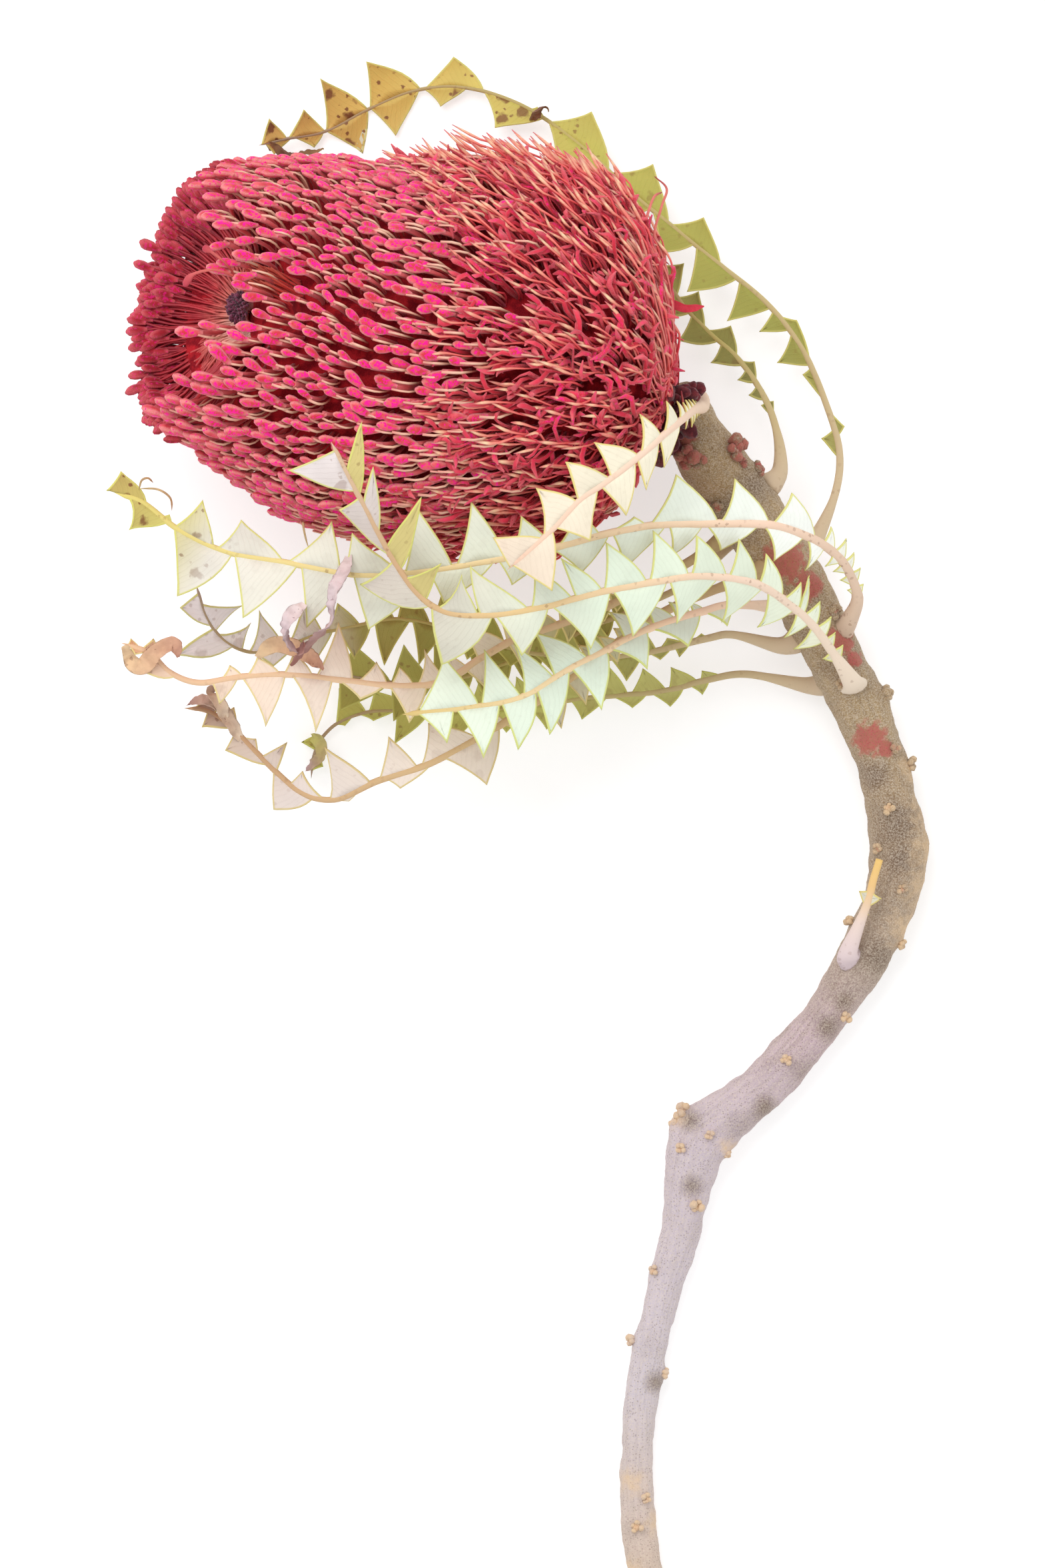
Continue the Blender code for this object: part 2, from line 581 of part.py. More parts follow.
def leaf_stations(spec, route):
    """Returns the stations of a leaf: place, point, along, side and face directions, reach."""
    curve = smooth_curve(route, 1.5)
    places = arc_places(curve)
    length = places[-1]
    marks = []
    place = 0.0
    while place < length - 3.5:
        marks.append(place)
        reach = interpolate(spec["reach"], place / length)
        lobed = place >= spec["bare"]
        step = min(spec["pitch"], max(4.2, reach * 1.05)) if lobed else 6.0
        if not lobed and place + step > spec["bare"]:
            step = max(2.0, spec["bare"] - place)
        place += step
    marks.append(length)
    stations = []
    for place in marks:
        point = point_at(curve, places, place)
        ahead = point_at(curve, places, min(length, place + 2.0))
        behind = point_at(curve, places, max(0.0, place - 2.0))
        along = (ahead - behind).normalized()
        share = place / length
        face = Vector((0, 0, 1))
        face = (face - along * face.dot(along)).normalized()
        roll = math.radians(interpolate(spec["roll"], share))
        face = Matrix.Rotation(roll, 3, along) @ face
        stations.append((place, point, along, face.cross(along), face,
                         interpolate(spec["reach"], share)))
    return stations


def bend_limit(stations, k, sign):
    """Returns the reach a lobe may have on the inner side of a bend."""
    first = stations[k]
    last = stations[k + 1]
    turn = (last[2] - first[2]).dot(first[3] * sign)
    if turn <= 1e-4:
        return 99.0
    return 0.6 * (last[0] - first[0]) / turn


def leaf_blade(name, spec, route, rng):
    """Makes a thin leaf cut to the rib into lobes that point to its tip."""
    stations = leaf_stations(spec, route)
    half = BLADE / 2
    vertices = []
    faces = []

    def add(point):
        vertices.append(point)
        return len(vertices) - 1

    rows = []
    for place, point, along, side, face, reach in stations:
        fade = max(0.0, 1 - place / 14.0)
        share = place / stations[-1][0]
        width = RIB_HALF_WIDTH * (1.1 - 0.45 * share) + spec["petiole"] * 0.6 * fade
        rise = RIB_RISE * (1.1 - 0.4 * share)
        bulge = 1.2 * fade
        front = rise if spec["under"] else 0.12
        back = 0.12 if spec["under"] else rise
        rows.append((add(point + side * width + face * half),
                     add(point + face * (half + front + bulge)),
                     add(point - side * width + face * half),
                     add(point - side * width - face * half),
                     add(point - face * (half + back + bulge)),
                     add(point + side * width - face * half)))
    faces.append(rows[0])
    for k in range(len(rows) - 1):
        one, two = rows[k], rows[k + 1]
        faces += [(one[0], one[1], two[0]), (one[1], two[1], two[0]),
                  (one[1], one[2], two[1]), (one[2], two[2], two[1]),
                  (one[5], two[5], one[4]), (one[4], two[5], two[4]),
                  (one[4], two[4], one[3]), (one[3], two[4], two[3])]
        place, point, along, side, face, reach = stations[k]
        step = stations[k + 1][0] - place
        lobed = place >= spec["bare"]
        for sign, top, bottom in ((1, 0, 5), (-1, 2, 3)):
            if not lobed:
                faces += [(one[top], two[top], two[bottom]), (one[top], two[bottom], one[bottom])]
                continue
            middle = interpolate(spec["reach"], (place + step * 0.6) / stations[-1][0])
            size = middle * rng.uniform(0.9, 1.08)
            size = min(size, bend_limit(stations, k, sign))
            fold = rng.uniform(0.02, 0.2) * size * (-1 if spec["under"] else 1)
            after = stations[k + 1]
            out = (side * sign).lerp(after[3] * sign, 0.8).normalized()
            lift = face.lerp(after[4], 0.8).normalized()
            base = point.lerp(after[1], 0.9)
            peak = base + out * (size + RIB_HALF_WIDTH) + lift * fold
            base = point.lerp(after[1], 0.42)
            shoulder = base + (side * sign) * (size * 0.66 + RIB_HALF_WIDTH) + face * fold * 0.5
            a, b = one[top], two[top]
            c, d = one[bottom], two[bottom]
            m, n = add(shoulder + face * half), add(shoulder - face * half)
            p, q = add(peak + lift * half), add(peak - lift * half)
            faces += [(a, m, b), (m, p, b), (c, d, n), (n, d, q),
                      (a, c, m), (c, n, m), (m, n, p), (n, q, p), (p, q, b), (q, d, b)]
    place, point, along, side, face, reach = stations[-1]
    end = rows[-1]
    tip = point + along * LEAF_TIP
    up, low = add(tip + face * half), add(tip - face * half)
    faces += [(end[0], end[1], up), (end[1], end[2], up), (end[5], low, end[4]),
              (end[4], low, end[3]), (end[0], up, low), (end[0], low, end[5]),
              (end[2], low, up), (end[2], end[3], low)]
    return object_from(name, vertices, faces)


LEAF_COLOURS = {
    "leaf_top_arc": (0.42, 0.38, 0.11), "leaf_side_arc": (0.36, 0.34, 0.1),
    "leaf_short": (0.66, 0.62, 0.47), "leaf_upper": (0.62, 0.64, 0.5),
    "leaf_middle": (0.63, 0.66, 0.52), "leaf_lower_mid": (0.62, 0.68, 0.56),
    "leaf_green_upper": (0.38, 0.38, 0.12), "leaf_green_lower": (0.4, 0.4, 0.13),
    "leaf_tan": (0.6, 0.49, 0.4), "leaf_cream": (0.68, 0.55, 0.46),
    "leaf_hidden": (0.34, 0.34, 0.12), "leaf_stub": (0.6, 0.5, 0.38),
}


def leaves(collection, stem_surface):
    """Makes every leaf, each as one solid."""
    for order, (name, spec) in enumerate(LEAVES.items()):
        rng = random.Random(SEED + order)
        leaf = leaf_blade(name, spec, seat_start(spec, stem_surface), rng)
        if name == "leaf_upper":
            strip = leaf_blade("strip", STRIP, STRIP["route"], rng)
            leaf = combine(leaf, [strip])
        finish(leaf, LEAF_COLOURS[name], 0.7, collection, False)


def main():
    """Builds the whole flower."""
    clear_scene()
    collection = bpy.data.collections.new(COLLECTION)
    bpy.context.scene.collection.children.link(collection)
    rng = random.Random(SEED)
    stem_surface = flower_stem(collection)
    flower_head(collection, rng)
    leaves(collection, stem_surface)


main()
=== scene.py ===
"""A cut, dried showy banksia on a pale table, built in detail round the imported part.

Lengths in the data are drawn millimetres in the part's frame before its shift: X to the right,
Y along the stem towards the flower, Z up. They become metres when a mesh is made.
"""

import logging
import math
import random
from dataclasses import dataclass
from enum import Enum

import bpy
import numpy as np
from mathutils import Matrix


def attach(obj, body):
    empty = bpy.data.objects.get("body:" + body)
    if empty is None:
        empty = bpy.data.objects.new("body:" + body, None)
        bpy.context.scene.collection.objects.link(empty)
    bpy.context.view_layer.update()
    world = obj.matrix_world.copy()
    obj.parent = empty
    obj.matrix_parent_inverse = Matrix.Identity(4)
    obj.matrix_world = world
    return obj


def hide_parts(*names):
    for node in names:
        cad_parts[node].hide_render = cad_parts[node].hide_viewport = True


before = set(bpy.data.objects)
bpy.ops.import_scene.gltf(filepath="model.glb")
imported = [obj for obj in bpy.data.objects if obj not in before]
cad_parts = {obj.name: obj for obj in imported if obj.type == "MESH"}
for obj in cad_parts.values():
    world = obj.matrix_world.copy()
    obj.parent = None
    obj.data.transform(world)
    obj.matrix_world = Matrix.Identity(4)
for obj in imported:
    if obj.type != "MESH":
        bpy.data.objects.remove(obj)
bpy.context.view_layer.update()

log = logging.getLogger("banksia")

Array = np.ndarray
Colour = tuple[float, float, float, float]
Point = tuple[float, float, float]
Range = tuple[float, float]
Table = tuple[Range, ...]
Row = tuple[float, float, float, float]
Stops = tuple[tuple[float, Colour], ...]
Values = dict[str, Array]
Tree = bpy.types.NodeTree
Socket = bpy.types.NodeSocket
Pattern = tuple[Socket, Socket]
Object = bpy.types.Object
Material = bpy.types.Material

MM = 0.001
SHIFT = np.array((-0.5, -2.1, 0.0))
TABLE_CLEARANCE = 0.25
UP = np.array((0.0, 0.0, 1.0))
WHITE = (1.0, 1.0, 1.0, 1.0)
GOLDEN_ANGLE = math.pi * (3 - math.sqrt(5))


def rgb(red: int, green: int, blue: int) -> Colour:
    """Turns display values from 0 to 255 into a linear colour.

    Args:
        red: The red value.
        green: The green value.
        blue: The blue value.

    Returns:
        The linear colour, opaque.
    """
    parts = [value / 255 for value in (red, green, blue)]
    linear = [p / 12.92 if p <= 0.04045 else ((p + 0.055) / 1.055) ** 2.4 for p in parts]
    return (linear[0], linear[1], linear[2], 1.0)


def add(tree: Tree, kind: str, inputs: dict | None = None,
        **settings: object) -> bpy.types.Node:
    """Places a node and joins or sets its inputs.

    Args:
        tree: The node tree of a material, group or modifier.
        kind: The node's type.
        inputs: Sockets or plain values by the input's name or number.
        **settings: The node's own properties.

    Returns:
        The new node.
    """
    node = tree.nodes.new(kind)
    for name, value in settings.items():
        setattr(node, name, value)
    for key, value in (inputs or {}).items():
        socket = node.inputs[key]
        if isinstance(value, Socket):
            tree.links.new(value, socket)
        else:
            socket.default_value = value
    return node


def math_node(tree: Tree, operation: str, *values: object,
              clamp: bool = False) -> Socket:
    """Places a Math node.

    Args:
        tree: The node tree.
        operation: The operation's name.
        *values: Sockets or numbers.
        clamp: Whether the result is kept from 0 to 1.

    Returns:
        The result's socket.
    """
    inputs = dict(enumerate(values))
    node = add(tree, "ShaderNodeMath", inputs, operation=operation, use_clamp=clamp)
    return node.outputs[0]


def times(tree: Tree, first: object, last: object) -> Socket:
    """Returns the product of two sockets or numbers."""
    return math_node(tree, "MULTIPLY", first, last)


def remainder(tree: Tree, share: object) -> Socket:
    """Returns what a share leaves of one."""
    return math_node(tree, "SUBTRACT", 1.0, share)


def step_up(tree: Tree, value: object, low: float, high: float,
            top: float = 1.0) -> Socket:
    """Places a smooth step.

    Args:
        tree: The node tree.
        value: The socket that is read.
        low: Where the result starts to rise from 0.
        high: Where the result reaches its top.
        top: The highest result.

    Returns:
        The result's socket.
    """
    inputs = {"Value": value, "From Min": low, "From Max": high, "To Min": 0.0, "To Max": top}
    node = add(tree, "ShaderNodeMapRange", inputs, interpolation_type="SMOOTHSTEP")
    return node.outputs["Result"]


def blend_colours(tree: Tree, share: object, first: object, last: object,
                  way: str = "MIX") -> Socket:
    """Places a Mix node for two colours.

    Args:
        tree: The node tree.
        share: How much of the last colour there is.
        first: The first colour.
        last: The last colour.
        way: The blend type.

    Returns:
        The mixed colour's socket.
    """
    inputs = {0: share, 6: first, 7: last}
    node = add(tree, "ShaderNodeMix", inputs, data_type="RGBA", blend_type=way)
    return node.outputs[2]


def colour_ramp(tree: Tree, factor: object,
                stops: Stops) -> Socket:
    """Places a colour ramp.

    Args:
        tree: The node tree.
        factor: The socket that is read.
        stops: Places and colours.

    Returns:
        The colour's socket.
    """
    node = add(tree, "ShaderNodeValToRGB", {"Fac": factor})
    ramp = node.color_ramp
    while len(ramp.elements) < len(stops):
        ramp.elements.new(0.5)
    for element, (place, colour) in zip(ramp.elements, stops):
        element.position = place
        element.color = colour
    return node.outputs["Color"]


def attribute(tree: Tree, name: str) -> Socket:
    """Returns the value of a mesh attribute in a material."""
    return add(tree, "ShaderNodeAttribute", attribute_name=name).outputs["Fac"]


def object_place(tree: Tree) -> Socket:
    """Returns the Object coordinates in a material."""
    return add(tree, "ShaderNodeTexCoord").outputs["Object"]


def new_group(name: str, kind: str, inputs: dict[str, tuple[str, object]],
              outputs: dict[str, str]) -> Tree:
    """Makes a node group with named sockets.

    Args:
        name: The group's name.
        kind: The tree's type.
        inputs: Socket types and default values by name.
        outputs: Socket types by name.

    Returns:
        The new tree, without nodes.
    """
    tree = bpy.data.node_groups.new(name, kind)
    for label, (socket_type, value) in inputs.items():
        socket = tree.interface.new_socket(label, in_out="INPUT", socket_type=socket_type)
        if value is not None:
            socket.default_value = value
    for label, socket_type in outputs.items():
        tree.interface.new_socket(label, in_out="OUTPUT", socket_type=socket_type)
    return tree


def to_world(points: Array) -> Array:
    """Turns drawn millimetres into the row frame's metres."""
    return (points + SHIFT) * MM


def unit(vectors: Array) -> Array:
    """Returns the vectors with length one."""
    return vectors / np.maximum(np.linalg.norm(vectors, axis=-1, keepdims=True), 1e-9)


def curve_between(before: Array, start: Array, end: Array, after: Array, t: Array) -> Array:
    """Returns points of a smooth curve (Catmull-Rom) between two of its four points.

    Args:
        before: The point before the stretch.
        start: Where the stretch starts.
        end: Where it ends.
        after: The point after it.
        t: Shares of the way from start to end.

    Returns:
        The points.
    """
    bend = (2 * before - 5 * start + 4 * end - after) * t * t
    turn = (3 * start - before - 3 * end + after) * t ** 3
    return (2 * start + (end - before) * t + bend + turn) / 2


def smooth_paths(points: Array, count: int) -> Array:
    """Draws smooth curves through rows of points.

    Args:
        points: The given points, paths by points by three.
        count: How many points each new path has.

    Returns:
        The new points, paths by count by three.
    """
    first = 2 * points[:, :1] - points[:, 1:2]
    last = 2 * points[:, -1:] - points[:, -2:-1]
    rows = np.concatenate([first, points, last], axis=1)
    spot = np.linspace(0, points.shape[1] - 1 - 1e-9, count)
    k = spot.astype(int)
    near = (rows[:, k + step] for step in range(4))
    return curve_between(*near, (spot - k)[None, :, None])


def read_table(table: Table, places: Array) -> Array:
    """Reads a table of (place, value) pairs at these places."""
    return np.interp(places, [row[0] for row in table], [row[1] for row in table])


def store_values(mesh: bpy.types.Mesh, values: Values) -> None:
    """Stores values for each point of a mesh.

    Args:
        mesh: The mesh.
        values: Numbers or vectors by name.
    """
    for name, value in values.items():
        flat = np.ascontiguousarray(value, np.float32)
        if flat.ndim == 2:
            layer = mesh.attributes.new(name, "FLOAT_VECTOR", "POINT")
            layer.data.foreach_set("vector", flat.ravel())
        else:
            layer = mesh.attributes.new(name, "FLOAT", "POINT")
            layer.data.foreach_set("value", flat)


def place_object(name: str, data: bpy.types.ID) -> Object:
    """Puts an object into the scene.

    Args:
        name: The object's name.
        data: Its mesh, light or camera.

    Returns:
        The new object.
    """
    obj = bpy.data.objects.new(name, data)
    bpy.context.scene.collection.objects.link(obj)
    return obj


def point_object(name: str, points: Array, values: Values) -> Object:
    """Makes an object of loose points, for a tool that sets a form on each.

    Args:
        name: The object's name.
        points: The points in drawn millimetres.
        values: Values for each point by name.

    Returns:
        The new object, in the scene.
    """
    mesh = bpy.data.meshes.new(name)
    mesh.vertices.add(len(points))
    mesh.vertices.foreach_set("co", to_world(points).astype(np.float32).ravel())
    store_values(mesh, values)
    return place_object(name, mesh)


def mesh_object(name: str, points: Array, quads: Array, values: Values) -> Object:
    """Makes an object from points and four-sided faces.

    Args:
        name: The object's name.
        points: The points in drawn millimetres.
        quads: Four point numbers for each face.
        values: Values for each point by name.

    Returns:
        The new object, in the scene.
    """
    obj = point_object(name, points, values)
    mesh = obj.data
    mesh.loops.add(quads.size)
    mesh.loops.foreach_set("vertex_index", quads.astype(np.int32).ravel())
    mesh.polygons.add(len(quads))
    mesh.polygons.foreach_set("loop_start", np.arange(len(quads), dtype=np.int32) * 4)
    mesh.update(calc_edges=True)
    mesh.polygons.foreach_set("use_smooth", np.ones(len(quads), bool))
    return obj


def degrees_from(angle: Array, zero: float) -> Array:
    """Returns angles in degrees between -180 and 180, counted from this direction."""
    return (np.degrees(angle) + (180.0 - zero)) % 360.0 - 180.0


def ring_quads(rows: int, sides: int, start: int = 0) -> Array:
    """Returns the faces of a tube made of rings of points.

    Args:
        rows: How many rings there are.
        sides: How many points a ring has.
        start: The number of the first point.

    Returns:
        Four point numbers for each face.
    """
    row, side = np.meshgrid(np.arange(rows - 1), np.arange(sides), indexing="ij")
    low = row * sides + side
    high = row * sides + (side + 1) % sides
    quads = np.stack([low, high, high + sides, low + sides], axis=-1)
    return quads.reshape(-1, 4) + start


@dataclass
class Paths:
    """Paths for a sweep: points, half widths and outward directions, all by path and point."""

    points: Array
    breadth: Array
    lift: Array
    values: Values

    def clear_table(self) -> None:
        """Bends what would sink into the table up, so that it lies on it."""
        floor = TABLE_CLEARANCE + self.breadth
        self.points[..., 2] = np.maximum(self.points[..., 2], floor)

    def to_object(self, name: str) -> Object:
        """Makes a mesh of edges that carries the widths and directions.

        Args:
            name: The object's name.

        Returns:
            The new object, in the scene.
        """
        self.clear_table()
        count, length = self.points.shape[:2]
        flat = self.points.reshape(-1, 3)
        lift = np.broadcast_to(self.lift, self.points.shape).reshape(-1, 3)
        stored = {"breadth": self.breadth.ravel() * MM, "lift": lift, "spine": to_world(flat)}
        for label, value in self.values.items():
            stored[label] = np.broadcast_to(value, (count, length)).ravel()
        obj = point_object(name, flat, stored)
        starts = (np.arange(count)[:, None] * length + np.arange(length - 1)).ravel()
        ends = np.stack([starts, starts + 1], axis=1).astype(np.int32)
        obj.data.edges.add(len(starts))
        obj.data.edges.foreach_set("vertices", ends.ravel())
        return obj


class NodeTool:
    """A Geometry Nodes tree that is built once and used on many objects."""

    name = "tool"
    sockets: dict[str, tuple[str, object]] = {}

    def __init__(self) -> None:
        """Builds the tree."""
        sockets = {"Geometry": ("NodeSocketGeometry", None), **self.sockets}
        sockets["Finish"] = ("NodeSocketMaterial", None)
        outputs = {"Geometry": "NodeSocketGeometry"}
        self.tree = new_group(self.name, "GeometryNodeTree", sockets, outputs)
        given = add(self.tree, "NodeGroupInput").outputs
        shape = self.shape(given)
        smooth = add(self.tree, "GeometryNodeSetShadeSmooth", {"Geometry": shape})
        real = add(self.tree, "GeometryNodeRealizeInstances", {"Geometry": smooth.outputs[0]})
        dressed = add(self.tree, "GeometryNodeSetMaterial",
                      {"Geometry": real.outputs[0], "Material": given["Finish"]})
        add(self.tree, "NodeGroupOutput", {"Geometry": dressed.outputs[0]})

    def shape(self, given: bpy.types.bpy_prop_collection) -> Socket:
        """Builds the tool's own nodes and returns the geometry they make."""
        raise NotImplementedError

    def read(self, name: str, kind: str = "FLOAT") -> Socket:
        """Returns a stored number, or a vector where the kind says so."""
        node = add(self.tree, "GeometryNodeInputNamedAttribute", {"Name": name}, data_type=kind)
        return node.outputs["Attribute"]

    def vector(self, name: str) -> Socket:
        """Returns a stored vector."""
        return self.read(name, "FLOAT_VECTOR")

    def vector_math(self, way: str, *values: object) -> bpy.types.Node:
        """Places a Vector Math node and returns it."""
        return add(self.tree, "ShaderNodeVectorMath", dict(enumerate(values)), operation=way)

    def scaled(self, vector: object, scale: object) -> Socket:
        """Returns a vector times a number."""
        inputs = {0: vector, "Scale": scale}
        return add(self.tree, "ShaderNodeVectorMath", inputs, operation="SCALE").outputs[0]

    def noise(self, size: object, seed: object, detail: float = 1.0) -> Socket:
        """Places seeded noise.

        Args:
            size: The size of its lumps in metres.
            seed: The seed.
            detail: How much finer noise there is in it.

        Returns:
            A value from -0.5 to 0.5.
        """
        inputs = {"W": seed, "Scale": math_node(self.tree, "DIVIDE", 1.0, size), "Detail": detail}
        node = add(self.tree, "ShaderNodeTexNoise", inputs, noise_dimensions="4D")
        return math_node(self.tree, "SUBTRACT", node.outputs[0], 0.5)

    def rough(self, given: bpy.types.bpy_prop_collection, geometry: Socket) -> Socket:
        """Moves every point along its normal by the tool's fuzz.

        Args:
            given: The tool's inputs.
            geometry: The geometry so far.

        Returns:
            The moved geometry.
        """
        fuzz = times(self.tree, self.noise(given["Fuzz Size"], given["Seed"]), given["Fuzz"])
        normal = add(self.tree, "GeometryNodeInputNormal").outputs["Normal"]
        return self.moved(geometry, self.scaled(normal, fuzz))

    def swept(self, curve: Socket, sides: Socket, width: Socket) -> bpy.types.Node:
        """Sweeps a closed round section along a curve.

        Args:
            curve: The curve.
            sides: How many sides the section has.
            width: The section's radius along the curve.

        Returns:
            The node that makes the mesh.
        """
        circle = add(self.tree, "GeometryNodeCurvePrimitiveCircle",
                     {"Resolution": sides, "Radius": 1.0})
        return add(self.tree, "GeometryNodeCurveToMesh",
                   {"Curve": curve, "Profile Curve": circle.outputs["Curve"], "Scale": width,
                    "Fill Caps": True})

    def store(self, geometry: object, name: str, value: object) -> Socket:
        """Stores a number on every point and returns the geometry."""
        inputs = {"Geometry": geometry, "Name": name, "Value": value}
        return add(self.tree, "GeometryNodeStoreNamedAttribute", inputs).outputs[0]

    def moved(self, geometry: object, offset: object) -> Socket:
        """Moves every point and returns the geometry."""
        inputs = {"Geometry": geometry, "Offset": offset}
        return add(self.tree, "GeometryNodeSetPosition", inputs).outputs[0]

    def apply(self, obj: Object, finish: Material,
              **settings: float) -> Object:
        """Runs the tree on an object and keeps the plain mesh that it makes.

        Args:
            obj: The object, in the scene.
            finish: The material of the result.
            **settings: Values by the socket's name, with _ for a space.

        Returns:
            The same object with its new mesh.
        """
        modifier = obj.modifiers.new(self.name, "NODES")
        modifier.node_group = self.tree
        wanted = {name.replace("_", " "): value for name, value in settings.items()}
        wanted["finish"] = finish
        for item in self.tree.interface.items_tree:
            if item.in_out == "INPUT" and item.name.lower() in wanted:
                modifier[item.identifier] = wanted[item.name.lower()]
        graph = bpy.context.evaluated_depsgraph_get()
        mesh = bpy.data.meshes.new_from_object(obj.evaluated_get(graph))
        obj.modifiers.clear()
        old = obj.data
        obj.data = mesh
        bpy.data.meshes.remove(old)
        mesh.name = obj.name
        return obj


class SweepTool(NodeTool):
    """Sweeps a section along every path: styles, tubes, strands and dried strips."""

    name = "sweep_strands"
    sockets = {"Sides": ("NodeSocketInt", 5), "Flatness": ("NodeSocketFloat", 1.0),
               "Curl": ("NodeSocketFloat", 0.0),
               "Fuzz": ("NodeSocketFloat", 0.0), "Fuzz Size": ("NodeSocketFloat", 0.001),
               "Seed": ("NodeSocketInt", 1)}

    def shape(self, given: bpy.types.bpy_prop_collection) -> Socket:
        """Builds the sweep, flattened and curled to its outward direction, and its fuzz.

        Args:
            given: The tool's inputs.

        Returns:
            The tubes.
        """
        tree = self.tree
        curve = add(tree, "GeometryNodeMeshToCurve", {"Mesh": given["Geometry"]})
        swept = self.swept(curve.outputs[0], given["Sides"], self.read("breadth"))
        place = add(tree, "GeometryNodeInputPosition").outputs[0]
        reach = self.vector_math("SUBTRACT", place, self.vector("spine")).outputs["Vector"]
        lift = self.vector("lift")
        height = self.vector_math("DOT_PRODUCT", reach, lift).outputs["Value"]
        way = self.vector_math("NORMALIZE", reach).outputs["Vector"]
        outward = self.vector_math("DOT_PRODUCT", way, lift).outputs["Value"]
        kept = self.store(swept.outputs[0], "outward", outward)
        less = math_node(tree, "SUBTRACT", given["Flatness"], 1.0)
        whole = self.vector_math("DOT_PRODUCT", reach, reach).outputs["Value"]
        wide = math_node(tree, "SUBTRACT", whole, times(tree, height, height))
        bent = math_node(tree, "DIVIDE", wide, math_node(tree, "MAXIMUM",
                                                         self.read("breadth"), 0.0001))
        bent = times(tree, bent, given["Curl"])
        shift = math_node(tree, "ADD", times(tree, height, less), bent)
        flat = self.moved(kept, self.scaled(lift, shift))
        return self.rough(given, flat)


class ScatterTool(NodeTool):
    """Sets one rounded, tapered form on every point: floret clubs, buds and bracts."""

    name = "scatter_forms"
    sockets = {"Length": ("NodeSocketFloat", 0.006), "Width": ("NodeSocketFloat", 0.001),
               "Flatness": ("NodeSocketFloat", 0.8), "Bow": ("NodeSocketFloat", 0.0),
               "Rings": ("NodeSocketInt", 8), "Sides": ("NodeSocketInt", 7),
               "Size Spread": ("NodeSocketFloat", 0.1), "Fuzz": ("NodeSocketFloat", 0.0),
               "Fuzz Size": ("NodeSocketFloat", 0.001), "Seed": ("NodeSocketInt", 1)}
    profile: Table = ((0.0, 0.4), (0.12, 0.52), (0.3, 0.74), (0.5, 0.95), (0.66, 1.0),
                      (0.8, 0.93), (0.91, 0.72), (1.0, 0.3))

    def shape(self, given: bpy.types.bpy_prop_collection) -> Socket:
        """Builds the form, sets it on the points and roughens it.

        Args:
            given: The tool's inputs.

        Returns:
            All the forms.
        """
        tree = self.tree
        end = add(tree, "ShaderNodeCombineXYZ", {"Z": given["Length"]}).outputs[0]
        line = add(tree, "GeometryNodeCurvePrimitiveLine", {"End": end})
        rings = add(tree, "GeometryNodeResampleCurve",
                    {"Curve": line.outputs[0], "Count": given["Rings"]})
        factor = add(tree, "GeometryNodeSplineParameter").outputs["Factor"]
        marked = self.store(rings.outputs[0], "along", factor)
        taper = add(tree, "ShaderNodeFloatCurve", {"Value": factor})
        curve = taper.mapping.curves[0]
        for place, value in self.profile[1:-1]:
            curve.points.new(place, value)
        curve.points[0].location = self.profile[0]
        curve.points[-1].location = self.profile[-1]
        taper.mapping.update()
        width = times(tree, taper.outputs[0], given["Width"])
        form = self.swept(marked, given["Sides"], width)
        place = add(tree, "GeometryNodeInputPosition").outputs[0]
        x = add(tree, "ShaderNodeSeparateXYZ", {0: place}).outputs["X"]
        less = math_node(tree, "SUBTRACT", given["Flatness"], 1.0)
        along = self.read("along")
        bow = times(tree, times(tree, along, along), given["Bow"])
        shift = math_node(tree, "SUBTRACT", times(tree, x, less), bow)
        offset = add(tree, "ShaderNodeCombineXYZ", {"X": shift}).outputs[0]
        flat = self.moved(form.outputs[0], offset)
        turn = add(tree, "FunctionNodeAxesToRotation",
                   {"Primary Axis": self.vector("aim"), "Secondary Axis": self.vector("lift")},
                   primary_axis="Z", secondary_axis="X")
        low = remainder(tree, given["Size Spread"])
        high = math_node(tree, "ADD", 1.0, given["Size Spread"])
        chance = add(tree, "FunctionNodeRandomValue",
                     {2: low, 3: high, "Seed": given["Seed"]}, data_type="FLOAT")
        size = times(tree, chance.outputs[1], self.read("size"))
        points = add(tree, "GeometryNodeMeshToPoints", {"Mesh": given["Geometry"]})
        placed = add(tree, "GeometryNodeInstanceOnPoints",
                     {"Points": points.outputs[0], "Instance": flat,
                      "Rotation": turn.outputs[0], "Scale": size})
        real = add(tree, "GeometryNodeRealizeInstances", {"Geometry": placed.outputs[0]})
        normal = add(tree, "GeometryNodeInputNormal").outputs["Normal"]
        outward = self.vector_math("DOT_PRODUCT", normal, self.vector("lift"))
        kept = self.store(real.outputs[0], "outward", outward.outputs["Value"])
        return self.rough(given, kept)


class WeatherTool(NodeTool):
    """Moves a surface in and out along its stored lift by coarse and fine noise."""

    name = "weather_surface"
    sockets = {"Wave": ("NodeSocketFloat", 0.0), "Wave Size": ("NodeSocketFloat", 0.01),
               "Grain": ("NodeSocketFloat", 0.0), "Grain Size": ("NodeSocketFloat", 0.001),
               "Seed": ("NodeSocketInt", 1)}

    def shape(self, given: bpy.types.bpy_prop_collection) -> Socket:
        """Builds the two layers of noise and the move.

        Args:
            given: The tool's inputs.

        Returns:
            The moved surface.
        """
        tree = self.tree
        wave = times(tree, self.noise(given["Wave Size"], given["Seed"], 2.0), given["Wave"])
        grain = times(tree, self.noise(given["Grain Size"], given["Seed"], 3.0), given["Grain"])
        height = math_node(tree, "ADD", wave, grain)
        return self.moved(given["Geometry"], self.scaled(self.vector("lift"), height))


